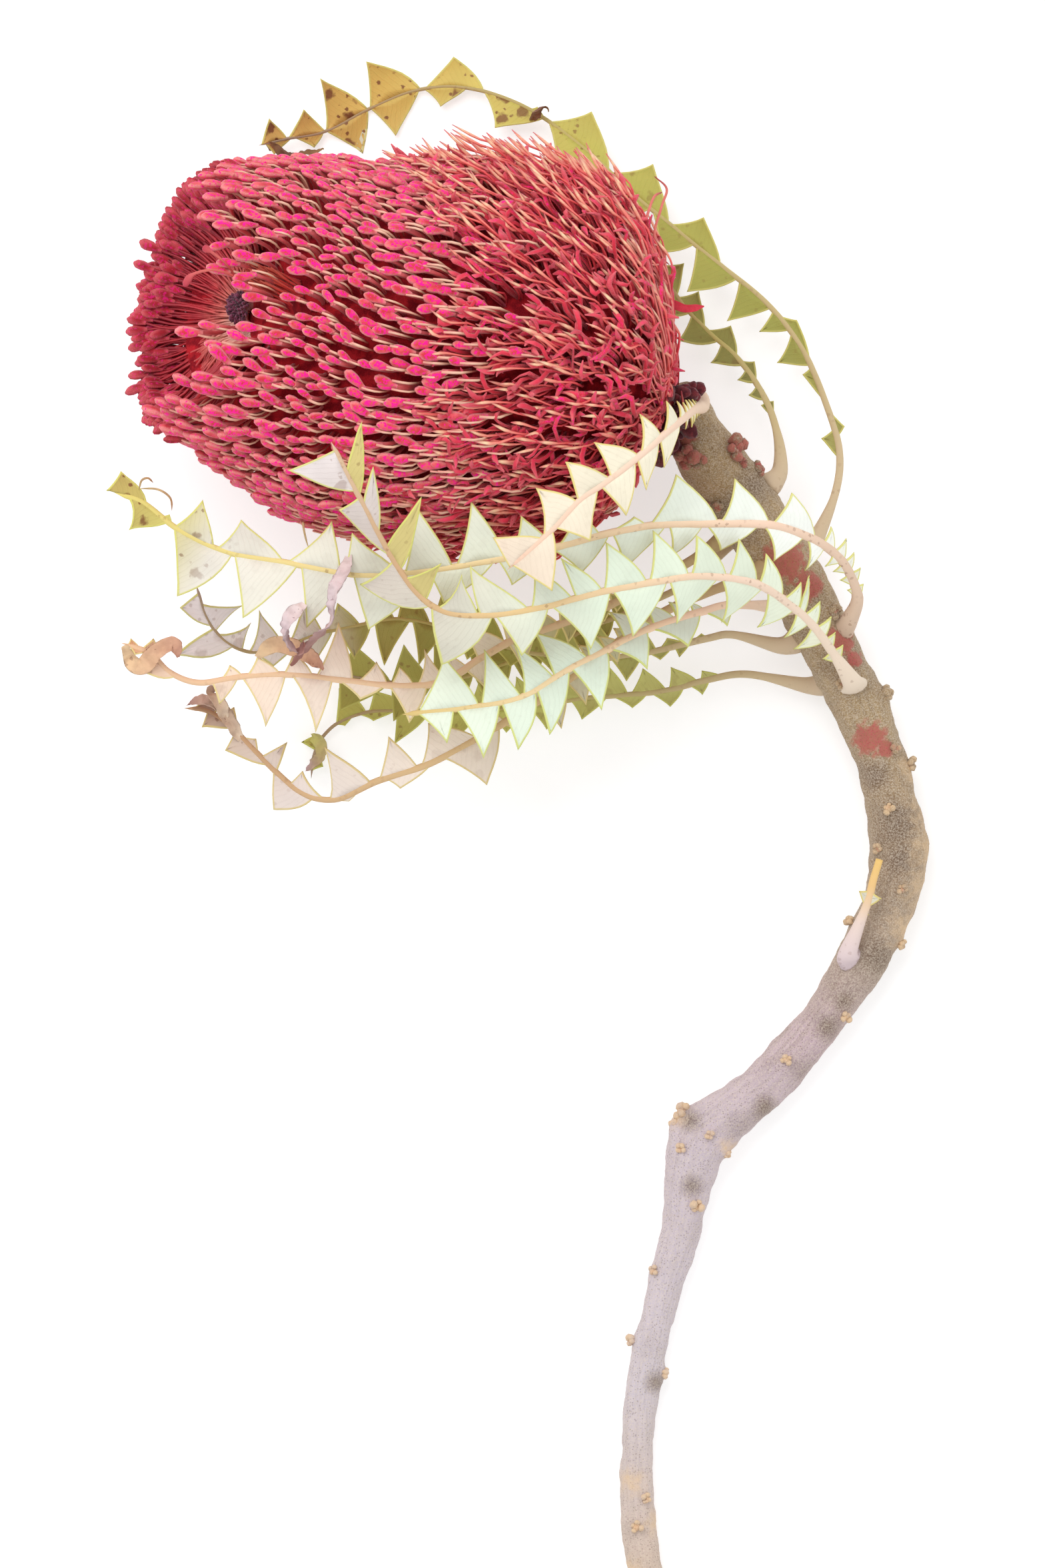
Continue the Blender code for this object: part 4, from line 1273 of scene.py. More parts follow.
@dataclass
class FlowerHead:
    """The flower head: core, closed and open florets, apex hollow with its knob, collar."""

    shop: Workshop
    form: HeadForm = HeadForm()
    seed: int = 7
    # The core's first rings, rows and cup, as places along the axis and radii.
    core_start: Table = ((-0.2, 0.4), (0.0, 5.0))
    core_rows: tuple[int, int, int] = (2, 118, 2)
    cup: Table = ((117.0, 20.5), (112.0, 14.5), (108.6, 9.5), (107.2, 6.0), (106.8, 3.0),
                  (106.8, 0.4))
    core_sides: int = 96
    core_inset: float = 0.6
    # Directions round the head in degrees from the raised side: where the rim dips, where the
    # hollow's near side and its gap have their middles, and half of each.
    dip_side: float = -1.0
    near_side: float = -12.0
    near_half: float = 92.0
    gap_side: float = -2.0
    gap_half: float = 27.0
    # Where the closed florets begin, how far that line slants and is blurred, and where they
    # stop by degrees from the dip.
    boundary_place: float = 65.0
    boundary_slant: float = 6.0
    boundary_spread: float = 6.0
    limit_table: Table = ((0, 128.8), (5, 129.2), (11, 135.0), (18, 139.5), (60, 138.0),
                          (88, 134.0), (105, 123.0), (180, 124.0))
    fewest_in_row: int = 24
    club_length: float = 6.2
    club_half_width: float = 1.36
    # The style and the tube behind a club, as steps from its foot: place and what the edge of
    # the closed half adds to it, reach and what the edge adds to that.
    style_steps: tuple[Row, ...] = (
        (1.2, 1.6, 0.3, 1.5), (-1.6, 0.0, 0.6, 1.2), (-4.2, 0.0, -0.5, 0.0),
        (-7.0, 0.0, -3.2, 0.0), (-9.2, 0.0, -6.8, 0.0))
    tube_steps: tuple[Row, ...] = (
        (1.4, 0.0, -0.1, 0.0), (-2.4, 0.0, -1.3, 0.0), (-6.0, 0.0, -4.2, 0.0),
        (-8.6, 0.0, -9.0, 0.0))
    parting_tries: int = 9000
    # Open florets: share of twins, lean of a style towards the apex at the base and past it,
    # first place of a root, length of the bent tip and of a strip's curl.
    twin_share: float = 0.18
    lean: Range = (3.0, 12.5)
    first_root: float = 3.5
    tip_length: Range = (3.4, 6.0)
    curl_length: Range = (1.8, 4.4)
    # A strip's reach as a share of the head's radius, and how far in it stays, everywhere and
    # at the head's base.
    strip_share: Range = (0.7, 1.06)
    strip_inset: float = 0.3
    base_inset: float = 3.4
    base_place: float = 22.0
    # Styles round the shoulder: sector and end of the seen ones and of the rest, turn of the
    # seen ones, depth in the head, shares of the way that are drawn, and length of the hook.
    shoulder_styles: int = 330
    seen_shoulder_styles: int = 170
    shoulder_sectors: tuple[Range, Range] = ((-0.6, 1.0), (-math.pi, math.pi))
    shoulder_ends: tuple[Range, Range] = ((9.0, 28.0), (9.0, 26.0))
    shoulder_turn: Range = (0.45, 1.2)
    shoulder_depth: Range = (-4.2, -0.8)
    shoulder_shares: tuple[float, ...] = (0.06, 0.28, 0.52, 0.78, 1.0)
    shoulder_start: float = 3.0
    hook_length: Range = (3.0, 7.0)
    # The apex: florets round the hollow and beyond its far rim, and the knob in it.
    hollow_florets: int = 640
    clubbed_share: float = 0.66
    # Place and radius of the hollow's rim: of its inner layer, what the outer layer adds, the
    # scatter, and what is added round the low side; then both for the near side.
    rim_end: Row = (119.6, 4.4, 1.1, -1.6)
    rim_radius: Row = (22.4, 4.6, 0.7, 6.0)
    near_rim: Range = (122.0, 21.0)
    low_side: float = -118.0
    low_width: float = 30.0
    far_florets: int = 102
    far_rows: int = 3
    far_start: float = 86.0
    far_sector: float = 176.0
    # Radius and end of the far florets: of the first row, step to the next row, and scatter.
    far_radius: Point = (28.8, 1.9, 0.3)
    far_end: Point = (121.4, -0.6, 0.6)
    knob_buds: int = 130
    knob_radius: float = 2.5
    # Bracts: sector, place along the axis and radius of the seen ones and of the rest.
    bracts: int = 130
    seen_bracts: int = 85
    bract_sectors: tuple[Range, Range] = ((-1.5, 0.06), (1.9, 4.6))
    bract_places: tuple[Range, Range] = ((-1.6, 5.5), (1.5, 4.5))
    bract_radii: Range = (8.0, 6.0)
    # Partings on the seen side, as x, y, half length and half width in drawn millimetres.
    hollows: tuple[Row, ...] = (
        (-60.0, 133.5, 6.2, 3.8), (-5.0, 128.0, 7.0, 4.6), (-41.5, 123.8, 4.2, 0.9),
        (-38.0, 114.3, 5.0, 1.0), (-4.5, 103.5, 2.4, 1.8), (12.0, 121.5, 2.5, 1.5))
    node: str = "flower_head"

    def boundary(self, angle: Array) -> Array:
        """Returns the place along the axis where closed florets give way to open ones."""
        return self.boundary_place + self.boundary_slant * np.sin(angle)

    def limit(self, angle: Array) -> Array:
        """Returns the place where the outer florets stop, beside the knob and far round."""
        return read_table(self.limit_table, np.abs(degrees_from(angle, self.dip_side)))

    def in_hollow(self, points: Array, count: int = 6) -> Array:
        """Tells which points of the seen side lie in a parting.

        Args:
            points: The points in drawn millimetres.
            count: How many of the partings count.

        Returns:
            True for each point in a parting.
        """
        inside = np.zeros(points.shape[:-1], bool)
        _, raised, _ = self.form.directions()
        middle = self.form.point(np.array(60.0), np.array(0.0), np.array(0.0))
        seen = (points - middle) @ raised > 15.0
        for x, y, length, width in self.hollows[:count]:
            reach = ((points[..., 0] - x) / length) ** 2 + ((points[..., 1] - y) / width) ** 2
            inside |= (reach < 1.0) & seen
        return inside

    def places(self, zone: Zone, rng: np.random.Generator) -> tuple[Array, Array]:
        """Sets florets out in staggered rows round the head.

        Args:
            zone: Which half of the head is wanted.
            rng: The source of small differences.

        Returns:
            Places along the axis and angles, one pair for each floret.
        """
        plan = zone.value
        alongs, angles = [], []
        for row, level in enumerate(np.arange(plan.first, plan.last, plan.row_step)):
            around = 2 * math.pi * float(self.form.spread(level))
            count = max(self.fewest_in_row, round(around / plan.side_step))
            angle = 2 * math.pi * (np.arange(count) + 0.5 * (row % 2)) / count
            angle = angle + rng.normal(0.0, plan.turn_spread, count)
            along = level + rng.normal(0.0, plan.place_spread, count)
            line = self.boundary(angle) + rng.normal(0.0, self.boundary_spread, count)
            if zone is Zone.CLOSED:
                kept = (along > line) & (along < self.limit(angle))
            else:
                kept = along < line + self.boundary_spread
            alongs.append(along[kept])
            angles.append(angle[kept])
        along, angle = np.concatenate(alongs), np.concatenate(angles)
        tips = self.form.point(along, angle, self.form.spread(along))
        kept = ~self.in_hollow(tips)
        return along[kept], angle[kept]

    def club_material(self) -> Material:
        """Makes the finish of the closed florets."""
        look = ClubFinish("velvet_clubs", sheen=0.5, sheen_tint=rgb(255, 205, 210))
        return look.material(self.shop.effects)

    def build_core(self) -> None:
        """Makes the core that the florets stand out of, notched and cupped at the apex."""
        body = tuple((float(a), float(self.form.core(a)) - self.core_inset)
                     for a in range(*self.core_rows))
        rows = self.core_start + body + self.cup
        along = np.array([row[0] for row in rows])[:, None]
        radius = np.array([row[1] for row in rows])[:, None]
        angle = (2 * math.pi * np.arange(self.core_sides) / self.core_sides)[None, :]
        turned = degrees_from(angle, self.dip_side)
        sunk = np.clip((along - 96.0) / 20.0, 0.0, 1.0) * np.clip(radius / 12.0, 0.0, 1.0)
        low = along - 9.0 * np.exp(-(turned / 20.0) ** 2) * sunk
        low = low + self.form.drop(low, angle) * np.clip(1.3 - radius / 13.0, 0.0, 1.0)
        points = self.form.point(low, angle, radius)
        points[..., 2] = np.maximum(points[..., 2], TABLE_CLEARANCE)
        lift = np.broadcast_to(self.form.out(angle), points.shape)
        quads = ring_quads(len(rows), self.core_sides)
        obj = mesh_object("head_core", points.reshape(-1, 3), quads, {"lift": lift.reshape(-1, 3)})
        finish = VelvetFinish("core_felt", light=rgb(206, 42, 50), dark=rgb(112, 14, 26),
                              roughness=0.95, hair_share=0.35, specular=0.1)
        self.shop.weather.apply(obj, finish.material(self.shop.effects), wave=0.0008,
                                wave_size=0.004, grain=0.0008, grain_size=0.0012, seed=3)
        self.shop.keep(obj, self.node)

    def clubs(self, name: str, base: Array, tip: Array, lift: Array, rng: np.random.Generator,
              finish: Material, shade: float = 0.0) -> None:
        """Makes closed floret ends between given points.

        Args:
            name: The piece's name.
            base: Where each end starts.
            tip: Where each end stops.
            lift: The outward direction of each.
            rng: The source of small differences.
            finish: The material.
            shade: A part of the tint that all share.
        """
        length = np.linalg.norm(tip - base, axis=-1)
        tint = np.clip(rng.uniform(0.0, 0.8, len(base)) + shade, 0.0, 1.0)
        obj = point_object(name, base, {"aim": unit(tip - base), "lift": lift, "tint": tint,
                                        "size": length / self.club_length})
        self.shop.scatter.apply(obj, finish, length=self.club_length * MM,
                                width=self.club_half_width * MM, flatness=0.86,
                                bow=0.0003, rings=8, sides=7, size_spread=0.09,
                                fuzz=0.0003, fuzz_size=0.0006, seed=5)
        low = np.empty(len(obj.data.vertices) * 3, np.float32)
        obj.data.vertices.foreach_get("co", low)
        low[2::3] = np.maximum(low[2::3], TABLE_CLEARANCE * MM)
        obj.data.vertices.foreach_set("co", low)
        self.shop.keep(obj, self.node)

    def strands(self, kind: Strand, points: Array, lift: Array, rng: np.random.Generator
                ) -> None:
        """Sweeps styles, tubes or strips along paths and keeps them as one piece.

        Args:
            kind: What they are.
            points: The paths' points.
            lift: The outward direction of each path.
            rng: The source of small differences.
        """
        count, length = points.shape[:2]
        t = np.linspace(0.0, 1.0, length)
        breadth = read_table(kind.widths, t) * rng.uniform(0.82, 1.16, (count, 1))
        paths = Paths(points, breadth, lift[:, None],
                      {"along": np.broadcast_to(t, (count, length)),
                       "tint": rng.uniform(0.0, 1.0, (count, 1))})
        obj = paths.to_object(kind.name)
        self.shop.sweep.apply(obj, kind.look.material(self.shop.effects), sides=kind.sides,
                              flatness=kind.flatness, curl=kind.curl, fuzz=kind.fuzz,
                              fuzz_size=kind.fuzz_size, seed=kind.seed)
        self.shop.keep(obj, self.node)

    def build_closed(self, finish: Material) -> None:
        """Makes the closed florets: clubs, the styles that bow out behind them, and tubes.

        Args:
            finish: The clubs' material.
        """
        rng = np.random.default_rng(self.seed)
        form = self.form
        along, angle = self.places(Zone.CLOSED, rng)
        count = len(along)
        edge = np.clip((96.0 - along) / 28.0, 0.0, 1.0)
        reach = form.spread(along) - 0.9 - 0.7 * edge + rng.normal(0.0, 0.75, count)
        sway = rng.normal(0.0, 1.1, count) / reach
        tip = form.point(along, angle + sway, reach)
        foot_place = along - self.club_length * rng.uniform(0.84, 1.06, count) \
            * (1 - 0.12 * edge)
        foot_reach = np.minimum(form.spread(foot_place) - 2.1, reach + 0.6)
        foot = form.point(foot_place, angle, foot_reach)
        lift = form.out(angle)
        self.clubs("floret_clubs", foot, tip, lift, rng, finish)
        depth = rng.normal(0.0, 0.3, count)
        turn = angle + rng.normal(0.0, 0.6, count) / reach
        steps = [(foot_place + a + b * edge, foot_reach + c + d * edge + depth)
                 for a, b, c, d in self.style_steps]
        self.strands(BOWED_STYLES, smooth_paths(form.path(steps, turn), 7), lift, rng)
        steps = [(foot_place + a + b * edge, foot_reach + c + d * edge)
                 for a, b, c, d in self.tube_steps]
        self.strands(FLORET_TUBES, smooth_paths(form.path(steps, angle), 6), lift, rng)
        self.build_partings()

    def build_partings(self) -> None:
        """Makes the fine straight tubes that show where the clubs part."""
        rng = np.random.default_rng(self.seed + 6)
        form = self.form
        along = rng.uniform(50.0, 126.0, self.parting_tries)
        angle = rng.uniform(-0.9, 0.9, self.parting_tries)
        kept = self.in_hollow(form.point(along, angle, form.spread(along)), 1)
        along, angle = along[kept], angle[kept]
        spread = form.spread(along)
        depth = rng.uniform(5.0, 10.0, len(along))
        turn = rng.normal(0.0, 0.02, (len(along), 2))
        steps = ((along - 9.5, angle + turn[:, 0] - 0.06, form.core(along - 9.5) - 1.5),
                 (along - 4.0, angle + turn[:, 1] - 0.02, spread - depth - 2.2),
                 (along + 1.5, angle, spread - depth))
        points = np.stack([form.point(a, b, r) for a, b, r in steps], axis=1)
        self.strands(PARTING_TUBES, smooth_paths(points, 6), form.out(angle), rng)

    def sweep_round(self, angle: Array) -> Array:
        """Returns how far the open florets lean round the head, in millimetres."""
        return 5.0 * np.clip((angle + 0.35) / 0.9, -0.3, 1.0) * (np.abs(angle) < 1.9)

    def build_open(self) -> None:
        """Makes the open florets: free styles with swollen tips and curled dry strips."""
        rng = np.random.default_rng(self.seed + 1)
        form = self.form
        along, angle = self.places(Zone.OPEN, rng)
        twin = rng.uniform(0.0, 1.0, len(along)) < self.twin_share
        along = np.concatenate([along, along[twin] + rng.normal(0.0, 1.6, twin.sum())])
        angle = np.concatenate([angle, angle[twin] + rng.normal(0.0, 0.035, twin.sum())])
        count = len(along)
        spread = form.spread(along)
        ratio = np.clip((along - 10.0) / 45.0, 0.0, 1.0)
        lean = self.lean[0] + (self.lean[1] - self.lean[0]) * ratio
        foot = np.maximum(along - lean, self.first_root)
        core = form.core(foot)
        upper = np.clip(np.sin(angle), 0.0, 1.0) ** 2
        upper = upper * np.clip(1.5 - np.abs(along - 42.0) / 26.0, 0.0, 1.0)
        extra = rng.normal(-0.9, 1.0, count) - 3.6 * (along < 24.0)
        extra += 3.8 * upper * rng.uniform(0.1, 1.0, count) ** 1.6
        reach = spread + extra
        turn = rng.normal(0.0, 1.1, (count, 3)) / spread[:, None]
        swing = self.sweep_round(angle) / spread
        axis, _, _ = form.directions()
        lift = form.out(angle)
        start = angle - swing
        root = form.point(foot, start, core - 2.0)
        low = form.point(foot + 0.15 * lean, start + turn[:, 0] + 0.25 * swing,
                         core + 0.4 * (reach - core))
        high = form.point(foot + 0.5 * lean, start + turn[:, 1] + 0.6 * swing,
                          core + 0.82 * (reach - core))
        neck = form.point(along - 0.4, angle + turn[:, 2], reach - 0.4)
        around = np.cross(axis, lift)
        side = (self.sweep_round(angle) * 0.12)[:, None] * around
        outward = 0.5 - 0.32 * ratio + 0.58 * upper
        tip_way = unit(axis * (0.8 + 0.5 * ratio)[:, None] + lift * outward[:, None]
                       + side + rng.normal(0.0, 0.16, (count, 3)))
        tip = neck + tip_way * (rng.uniform(*self.tip_length, count) + 1.5 * upper)[:, None]
        points = smooth_paths(np.stack([root, low, high, neck, tip], axis=1), 12)
        self.strands(OPEN_STYLES, points, lift, rng)
        self.build_strips(rng, along, angle, foot, core)

    def build_strips(self, rng: np.random.Generator, along: Array, angle: Array, foot: Array,
                     core: Array) -> None:
        """Makes the curled red strips that the opened florets leave.

        Args:
            rng: The source of small differences.
            along: Places of the florets along the axis.
            angle: Their angles.
            foot: Places of their roots.
            core: The core's radius at the roots.
        """
        form = self.form
        along, angle, foot, core = (np.repeat(value, 2) for value in (along, angle, foot, core))
        count = len(along)
        spread = form.spread(along)
        share = rng.uniform(*self.strip_share, count)
        reach = core + (spread - core) * share - self.strip_inset \
            - self.base_inset * (along < self.base_place)
        turn = rng.normal(0.0, 1.9, (count, 4)) / spread[:, None]
        swing = self.sweep_round(angle) / spread
        lift = form.out(angle)
        lean = along - foot
        steps = ((0.0, -1.5 + core), (0.35, core + 0.45 * (reach - core)),
                 (0.75, core + 0.85 * (reach - core)))
        points = [form.point(foot + s * lean, angle + turn[:, k] * s + swing * (s - 1), r)
                  for k, (s, r) in enumerate(steps)]
        points.append(form.point(along, angle + turn[:, 3], reach)
                      + rng.normal(0.0, 0.7, (count, 3)))
        axis, _, _ = form.directions()
        curl = unit(rng.normal(0.0, 0.75, (count, 3)) + axis * 0.7 + lift * 0.15)
        points.append(points[-1] + curl * rng.uniform(*self.curl_length, (count, 1)))
        points = smooth_paths(np.stack(points, axis=1), 8)
        side = unit(lift + rng.normal(0.0, 0.5, (count, 3)))
        self.strands(CURLED_STRIPS, points, side, rng)

    def build_shoulder(self) -> None:
        """Makes the long arched styles that run round the shoulder beside the collar."""
        rng = np.random.default_rng(self.seed + 2)
        form = self.form
        count = self.shoulder_styles
        seen = np.arange(count) < self.seen_shoulder_styles
        angle = drawn_from(rng, seen, self.shoulder_sectors)
        arc = np.where(seen, rng.uniform(*self.shoulder_turn, count),
                       rng.normal(0.0, 0.15, count))
        end = drawn_from(rng, seen, self.shoulder_ends)
        offset = rng.uniform(*self.shoulder_depth, count)
        turn = rng.normal(0.0, 0.03, (count, len(self.shoulder_shares)))
        points = []
        for k, share in enumerate(self.shoulder_shares):
            place = self.shoulder_start + (end - self.shoulder_start) * share
            radius = form.spread(place) + offset * share - 2.4 * (1 - share) \
                - 2.0 * (place < 24.0)
            points.append(form.point(place, angle + arc * share + turn[:, k] * share, radius))
        axis, _, _ = form.directions()
        way = form.out(angle + arc)
        hook = unit(axis * 0.9 + way * 0.35 + np.cross(axis, way) * (arc * 0.9)[:, None]
                    + rng.normal(0.0, 0.15, (count, 3)))
        points.append(points[-1] + hook * rng.uniform(*self.hook_length, (count, 1)))
        points = smooth_paths(np.stack(points, axis=1), 16)
        self.strands(SHOULDER_STYLES, points, form.out(angle), rng)

    def build_hollow(self) -> None:
        """Makes the strands that line the apex hollow, with dark clubs on the far rim."""
        rng = np.random.default_rng(self.seed + 3)
        form = self.form
        count = self.hollow_florets
        angle = 2 * math.pi * np.arange(count) / count + rng.normal(0.0, 0.008, count)
        turned = degrees_from(angle, self.near_side)
        near = np.abs(turned) < self.near_half
        low_left = np.exp(-((turned - self.low_side) / self.low_width) ** 2)
        layer = rng.uniform(0.0, 1.0, count) ** 1.4
        end, rim = (
            np.where(near, at_near, first + more * (1 - layer) + rng.normal(0.0, spread, count)
                     + lowered * low_left)
            for at_near, (first, more, spread, lowered)
            in zip(self.near_rim, (self.rim_end, self.rim_radius)))
        turn = rng.normal(0.0, 0.03, (count, 3))
        lift = -form.out(angle)
        steps = ((107.4 + layer, 2.4 + 3.0 * layer, 0),
                 (109.8 + 2 * layer + 3.0 * low_left, rim * 0.4, 0),
                 (end - 6.2 + 2.4 * low_left, rim - 5.2, 1), (end, rim, 2))
        points = np.stack([form.point(a, angle + turn[:, k], r) for a, r, k in steps], axis=1)
        kept = np.abs(degrees_from(angle, self.gap_side)) > self.gap_half
        ring, ring_lift = self.far_ring(rng)
        points = np.concatenate((smooth_paths(points, 10)[kept], smooth_paths(ring, 10)))
        lift = np.concatenate((lift[kept], ring_lift))
        near = np.concatenate((near[kept], np.zeros(len(ring), bool)))
        count = len(points)
        way = unit(points[:, -1] - points[:, -3])
        start = points[:, -1] - way * 0.8
        self.strands(HOLLOW_STRANDS, points, lift, rng)
        clubbed = ~near & (rng.uniform(0.0, 1.0, count) < self.clubbed_share)
        clubbed[-len(ring):] = True
        tips = start + way * (self.club_length * rng.uniform(0.8, 1.0, (count, 1)))
        # Darker rim clubs; their rims carry painted sheen and their dye a painted highlight, as on
        # the other clubs.
        finish = ClubFinish("dark_rim_clubs", sheen=0.35, sheen_tint=rgb(255, 176, 176),
                            body=rgb(198, 38, 58), deep=rgb(148, 16, 34),
                            fuzz=rgb(220, 100, 108), dye_and_highlight_share=0.4)
        self.clubs("rim_clubs", start[clubbed], tips[clubbed], lift[clubbed], rng,
                   finish.material(self.shop.effects), shade=0.3)
        self.build_knob(rng)

    def far_ring(self, rng: np.random.Generator) -> tuple[Array, Array]:
        """Lays the florets between the rim and the outer florets of the far side.

        Args:
            rng: The source of the scatter.

        Returns:
            The corner points of each floret, and its upward direction.
        """
        count = self.far_florets
        row = np.arange(count) % self.far_rows
        angle = np.radians(self.far_start + self.far_sector * (np.arange(count) + 0.5) / count
                           + rng.normal(0.0, 0.8, count))
        radius, end = (first + step * row + rng.normal(0.0, spread, count)
                       for first, step, spread in (self.far_radius, self.far_end))
        steps = [(end - 13.0, radius - 1.0), (end - 9.0, radius - 0.8),
                 (end - 4.0, radius - 0.4), (end, radius + 0.3)]
        return self.form.path(steps, angle), -self.form.out(angle)

    def build_knob(self, rng: np.random.Generator) -> None:
        """Makes the dark felted knob of unopened buds at the bottom of the hollow.

        Args:
            rng: The source of small differences.
        """
        count = self.knob_buds
        spot = np.arange(count) + 0.5
        polar = np.arccos(1 - spot / count * 0.95)
        turn = spot * GOLDEN_ANGLE
        axis, raised, level = self.form.directions()
        side = np.cos(turn)[:, None] * raised + np.sin(turn)[:, None] * level
        way = np.cos(polar)[:, None] * axis + np.sin(polar)[:, None] * side
        centre = self.form.point(np.array(self.form.knob_place), np.array(math.pi),
                                 np.array(0.0)) + level * 1.2
        obj = point_object("apex_knob", centre + way * self.knob_radius,
                           {"aim": way, "lift": unit(side - way * 0.1),
                            "size": rng.uniform(0.8, 1.15, count), "tint": np.ones(count)})
        finish = VelvetFinish("purple_black_felt", light=rgb(150, 72, 104),
                              dark=rgb(44, 16, 30), roughness=0.95, sheen=0.3,
                              hair_share=0.55, patch_scale=900.0)
        self.shop.scatter.apply(obj, finish.material(self.shop.effects), length=0.0019,
                                width=0.00048, flatness=1.0, rings=5, sides=6,
                                size_spread=0.2, fuzz=0.0002, fuzz_size=0.0004, seed=12)
        self.shop.keep(obj, self.node)

    def build_collar(self) -> None:
        """Makes the dark bracts at the base of the head."""
        rng = np.random.default_rng(self.seed + 4)
        count = self.bracts
        seen = np.arange(count) < self.seen_bracts
        angle = drawn_from(rng, seen, self.bract_sectors)
        place = drawn_from(rng, seen, self.bract_places)
        radius = np.where(seen, *self.bract_radii) + (place + 2.0) * 1.1
        base = self.form.point(place, angle, radius)
        axis, _, _ = self.form.directions()
        out = self.form.out(angle)
        way = unit(out + axis * rng.uniform(-0.9, 0.3, (count, 1))
                   + rng.normal(0.0, 0.25, (count, 3)))
        obj = point_object("collar_bracts", base,
                           {"aim": way, "lift": unit(out - axis * 0.4),
                            "size": rng.uniform(0.6, 1.25, count),
                            "tint": rng.uniform(0.0, 1.0, count)})
        finish = VelvetFinish("dark_bract_felt", light=rgb(134, 52, 58), dark=rgb(66, 18, 30),
                              roughness=0.9, sheen=0.25, hair_share=0.35, patch_scale=500.0)
        self.shop.scatter.apply(obj, finish.material(self.shop.effects), length=0.0048,
                                width=0.0015, flatness=0.7, rings=7, sides=7,
                                size_spread=0.25, fuzz=0.0007, fuzz_size=0.0011, seed=14)
        self.shop.keep(obj, self.node)

    def build(self) -> None:
        """Makes the whole head."""
        finish = self.club_material()
        self.build_core()
        self.build_closed(finish)
        self.build_open()
        self.build_shoulder()
        self.build_hollow()
        self.build_collar()


@dataclass(frozen=True)
class LeafShape:
    """One leaf: its route on the table's frame and how its lobes and roll change along it."""

    name: str
    under: bool
    pitch: float
    bare: float
    petiole: float
    route: tuple[Point, ...]
    roll: Table
    reach: Table
    right: tuple[Row, ...] = ()
    left: tuple[Row, ...] = ()
    blunt: bool = False


class LeafRoute:
    """A leaf's smooth centre line with its directions."""

    def __init__(self, shape: LeafShape) -> None:
        """Draws the line.

        Args:
            shape: The leaf's data.
        """
        points = np.array(shape.route, float)
        spans = []
        for k in range(len(points) - 1):
            part = points[max(0, k - 1):k + 3]
            if k == 0:
                part = np.concatenate([[2 * points[0] - points[1]], part])
            if k == len(points) - 2:
                part = np.concatenate([part, [2 * points[-1] - points[-2]]])
            length = float(np.linalg.norm(points[k + 1] - points[k]))
            count = max(2, int(length / 1.5) + 1)
            spans.append(curve_between(*part, (np.arange(count) / count)[:, None]))
        self.line = np.concatenate(spans + [points[-1:]])
        gaps = np.linalg.norm(np.diff(self.line, axis=0), axis=1)
        self.places = np.concatenate([[0.0], np.cumsum(gaps)])
        self.length = float(self.places[-1])
        self.shape = shape

    def point(self, place: Array) -> Array:
        """Finds points of the line, which goes straight on past both ends.

        Args:
            place: Places along the line.

        Returns:
            The points in drawn millimetres.
        """
        parts = [np.interp(place, self.places, self.line[:, k]) for k in range(3)]
        ahead = unit(self.line[-1] - self.line[-3])
        past = np.maximum(np.asarray(place) - self.length, 0.0)
        behind = unit(self.line[2] - self.line[0])
        before = np.minimum(np.asarray(place), 0.0)
        return np.stack(parts, axis=-1) + past[..., None] * ahead + before[..., None] * behind

    def frame(self, place: Array) -> tuple[Array, Array, Array, Array]:
        """Finds points of the line and how the leaf lies there.

        Args:
            place: Places along the line.

        Returns:
            The points with their along, side and face directions.
        """
        place = np.asarray(place, float)
        along = unit(self.point(np.minimum(place + 2.0, self.length))
                     - self.point(np.maximum(np.minimum(place, self.length) - 2.0, 0.0)))
        face = unit(UP - along * (along @ UP)[..., None])
        roll = np.radians(read_table(self.shape.roll, place / self.length))[..., None]
        face = face * np.cos(roll) + np.cross(along, face) * np.sin(roll)
        return self.point(place), along, np.cross(face, along), face

    def stations(self) -> list[float]:
        """Finds where lobes start, as the CAD leaf has them.

        Returns:
            The places, and the leaf's length as the last of them.
        """
        marks = []
        place = 0.0
        while place < self.length - 3.5:
            marks.append(place)
            reach = float(read_table(self.shape.reach, np.array(place / self.length)))
            lobed = place >= self.shape.bare
            step = min(self.shape.pitch, max(4.2, reach * 1.05)) if lobed else 6.0
            if not lobed and place + step > self.shape.bare:
                step = max(2.0, self.shape.bare - place)
            place += step
        return marks + [self.length]


@dataclass(frozen=True)
class Lobe:
    """One lobe: its start, apex and end along the rib, its reach, side, fold and face."""

    start: float
    peak: float
    end: float
    reach: float
    sign: int
    fold: float
    tint: float
    turned: bool


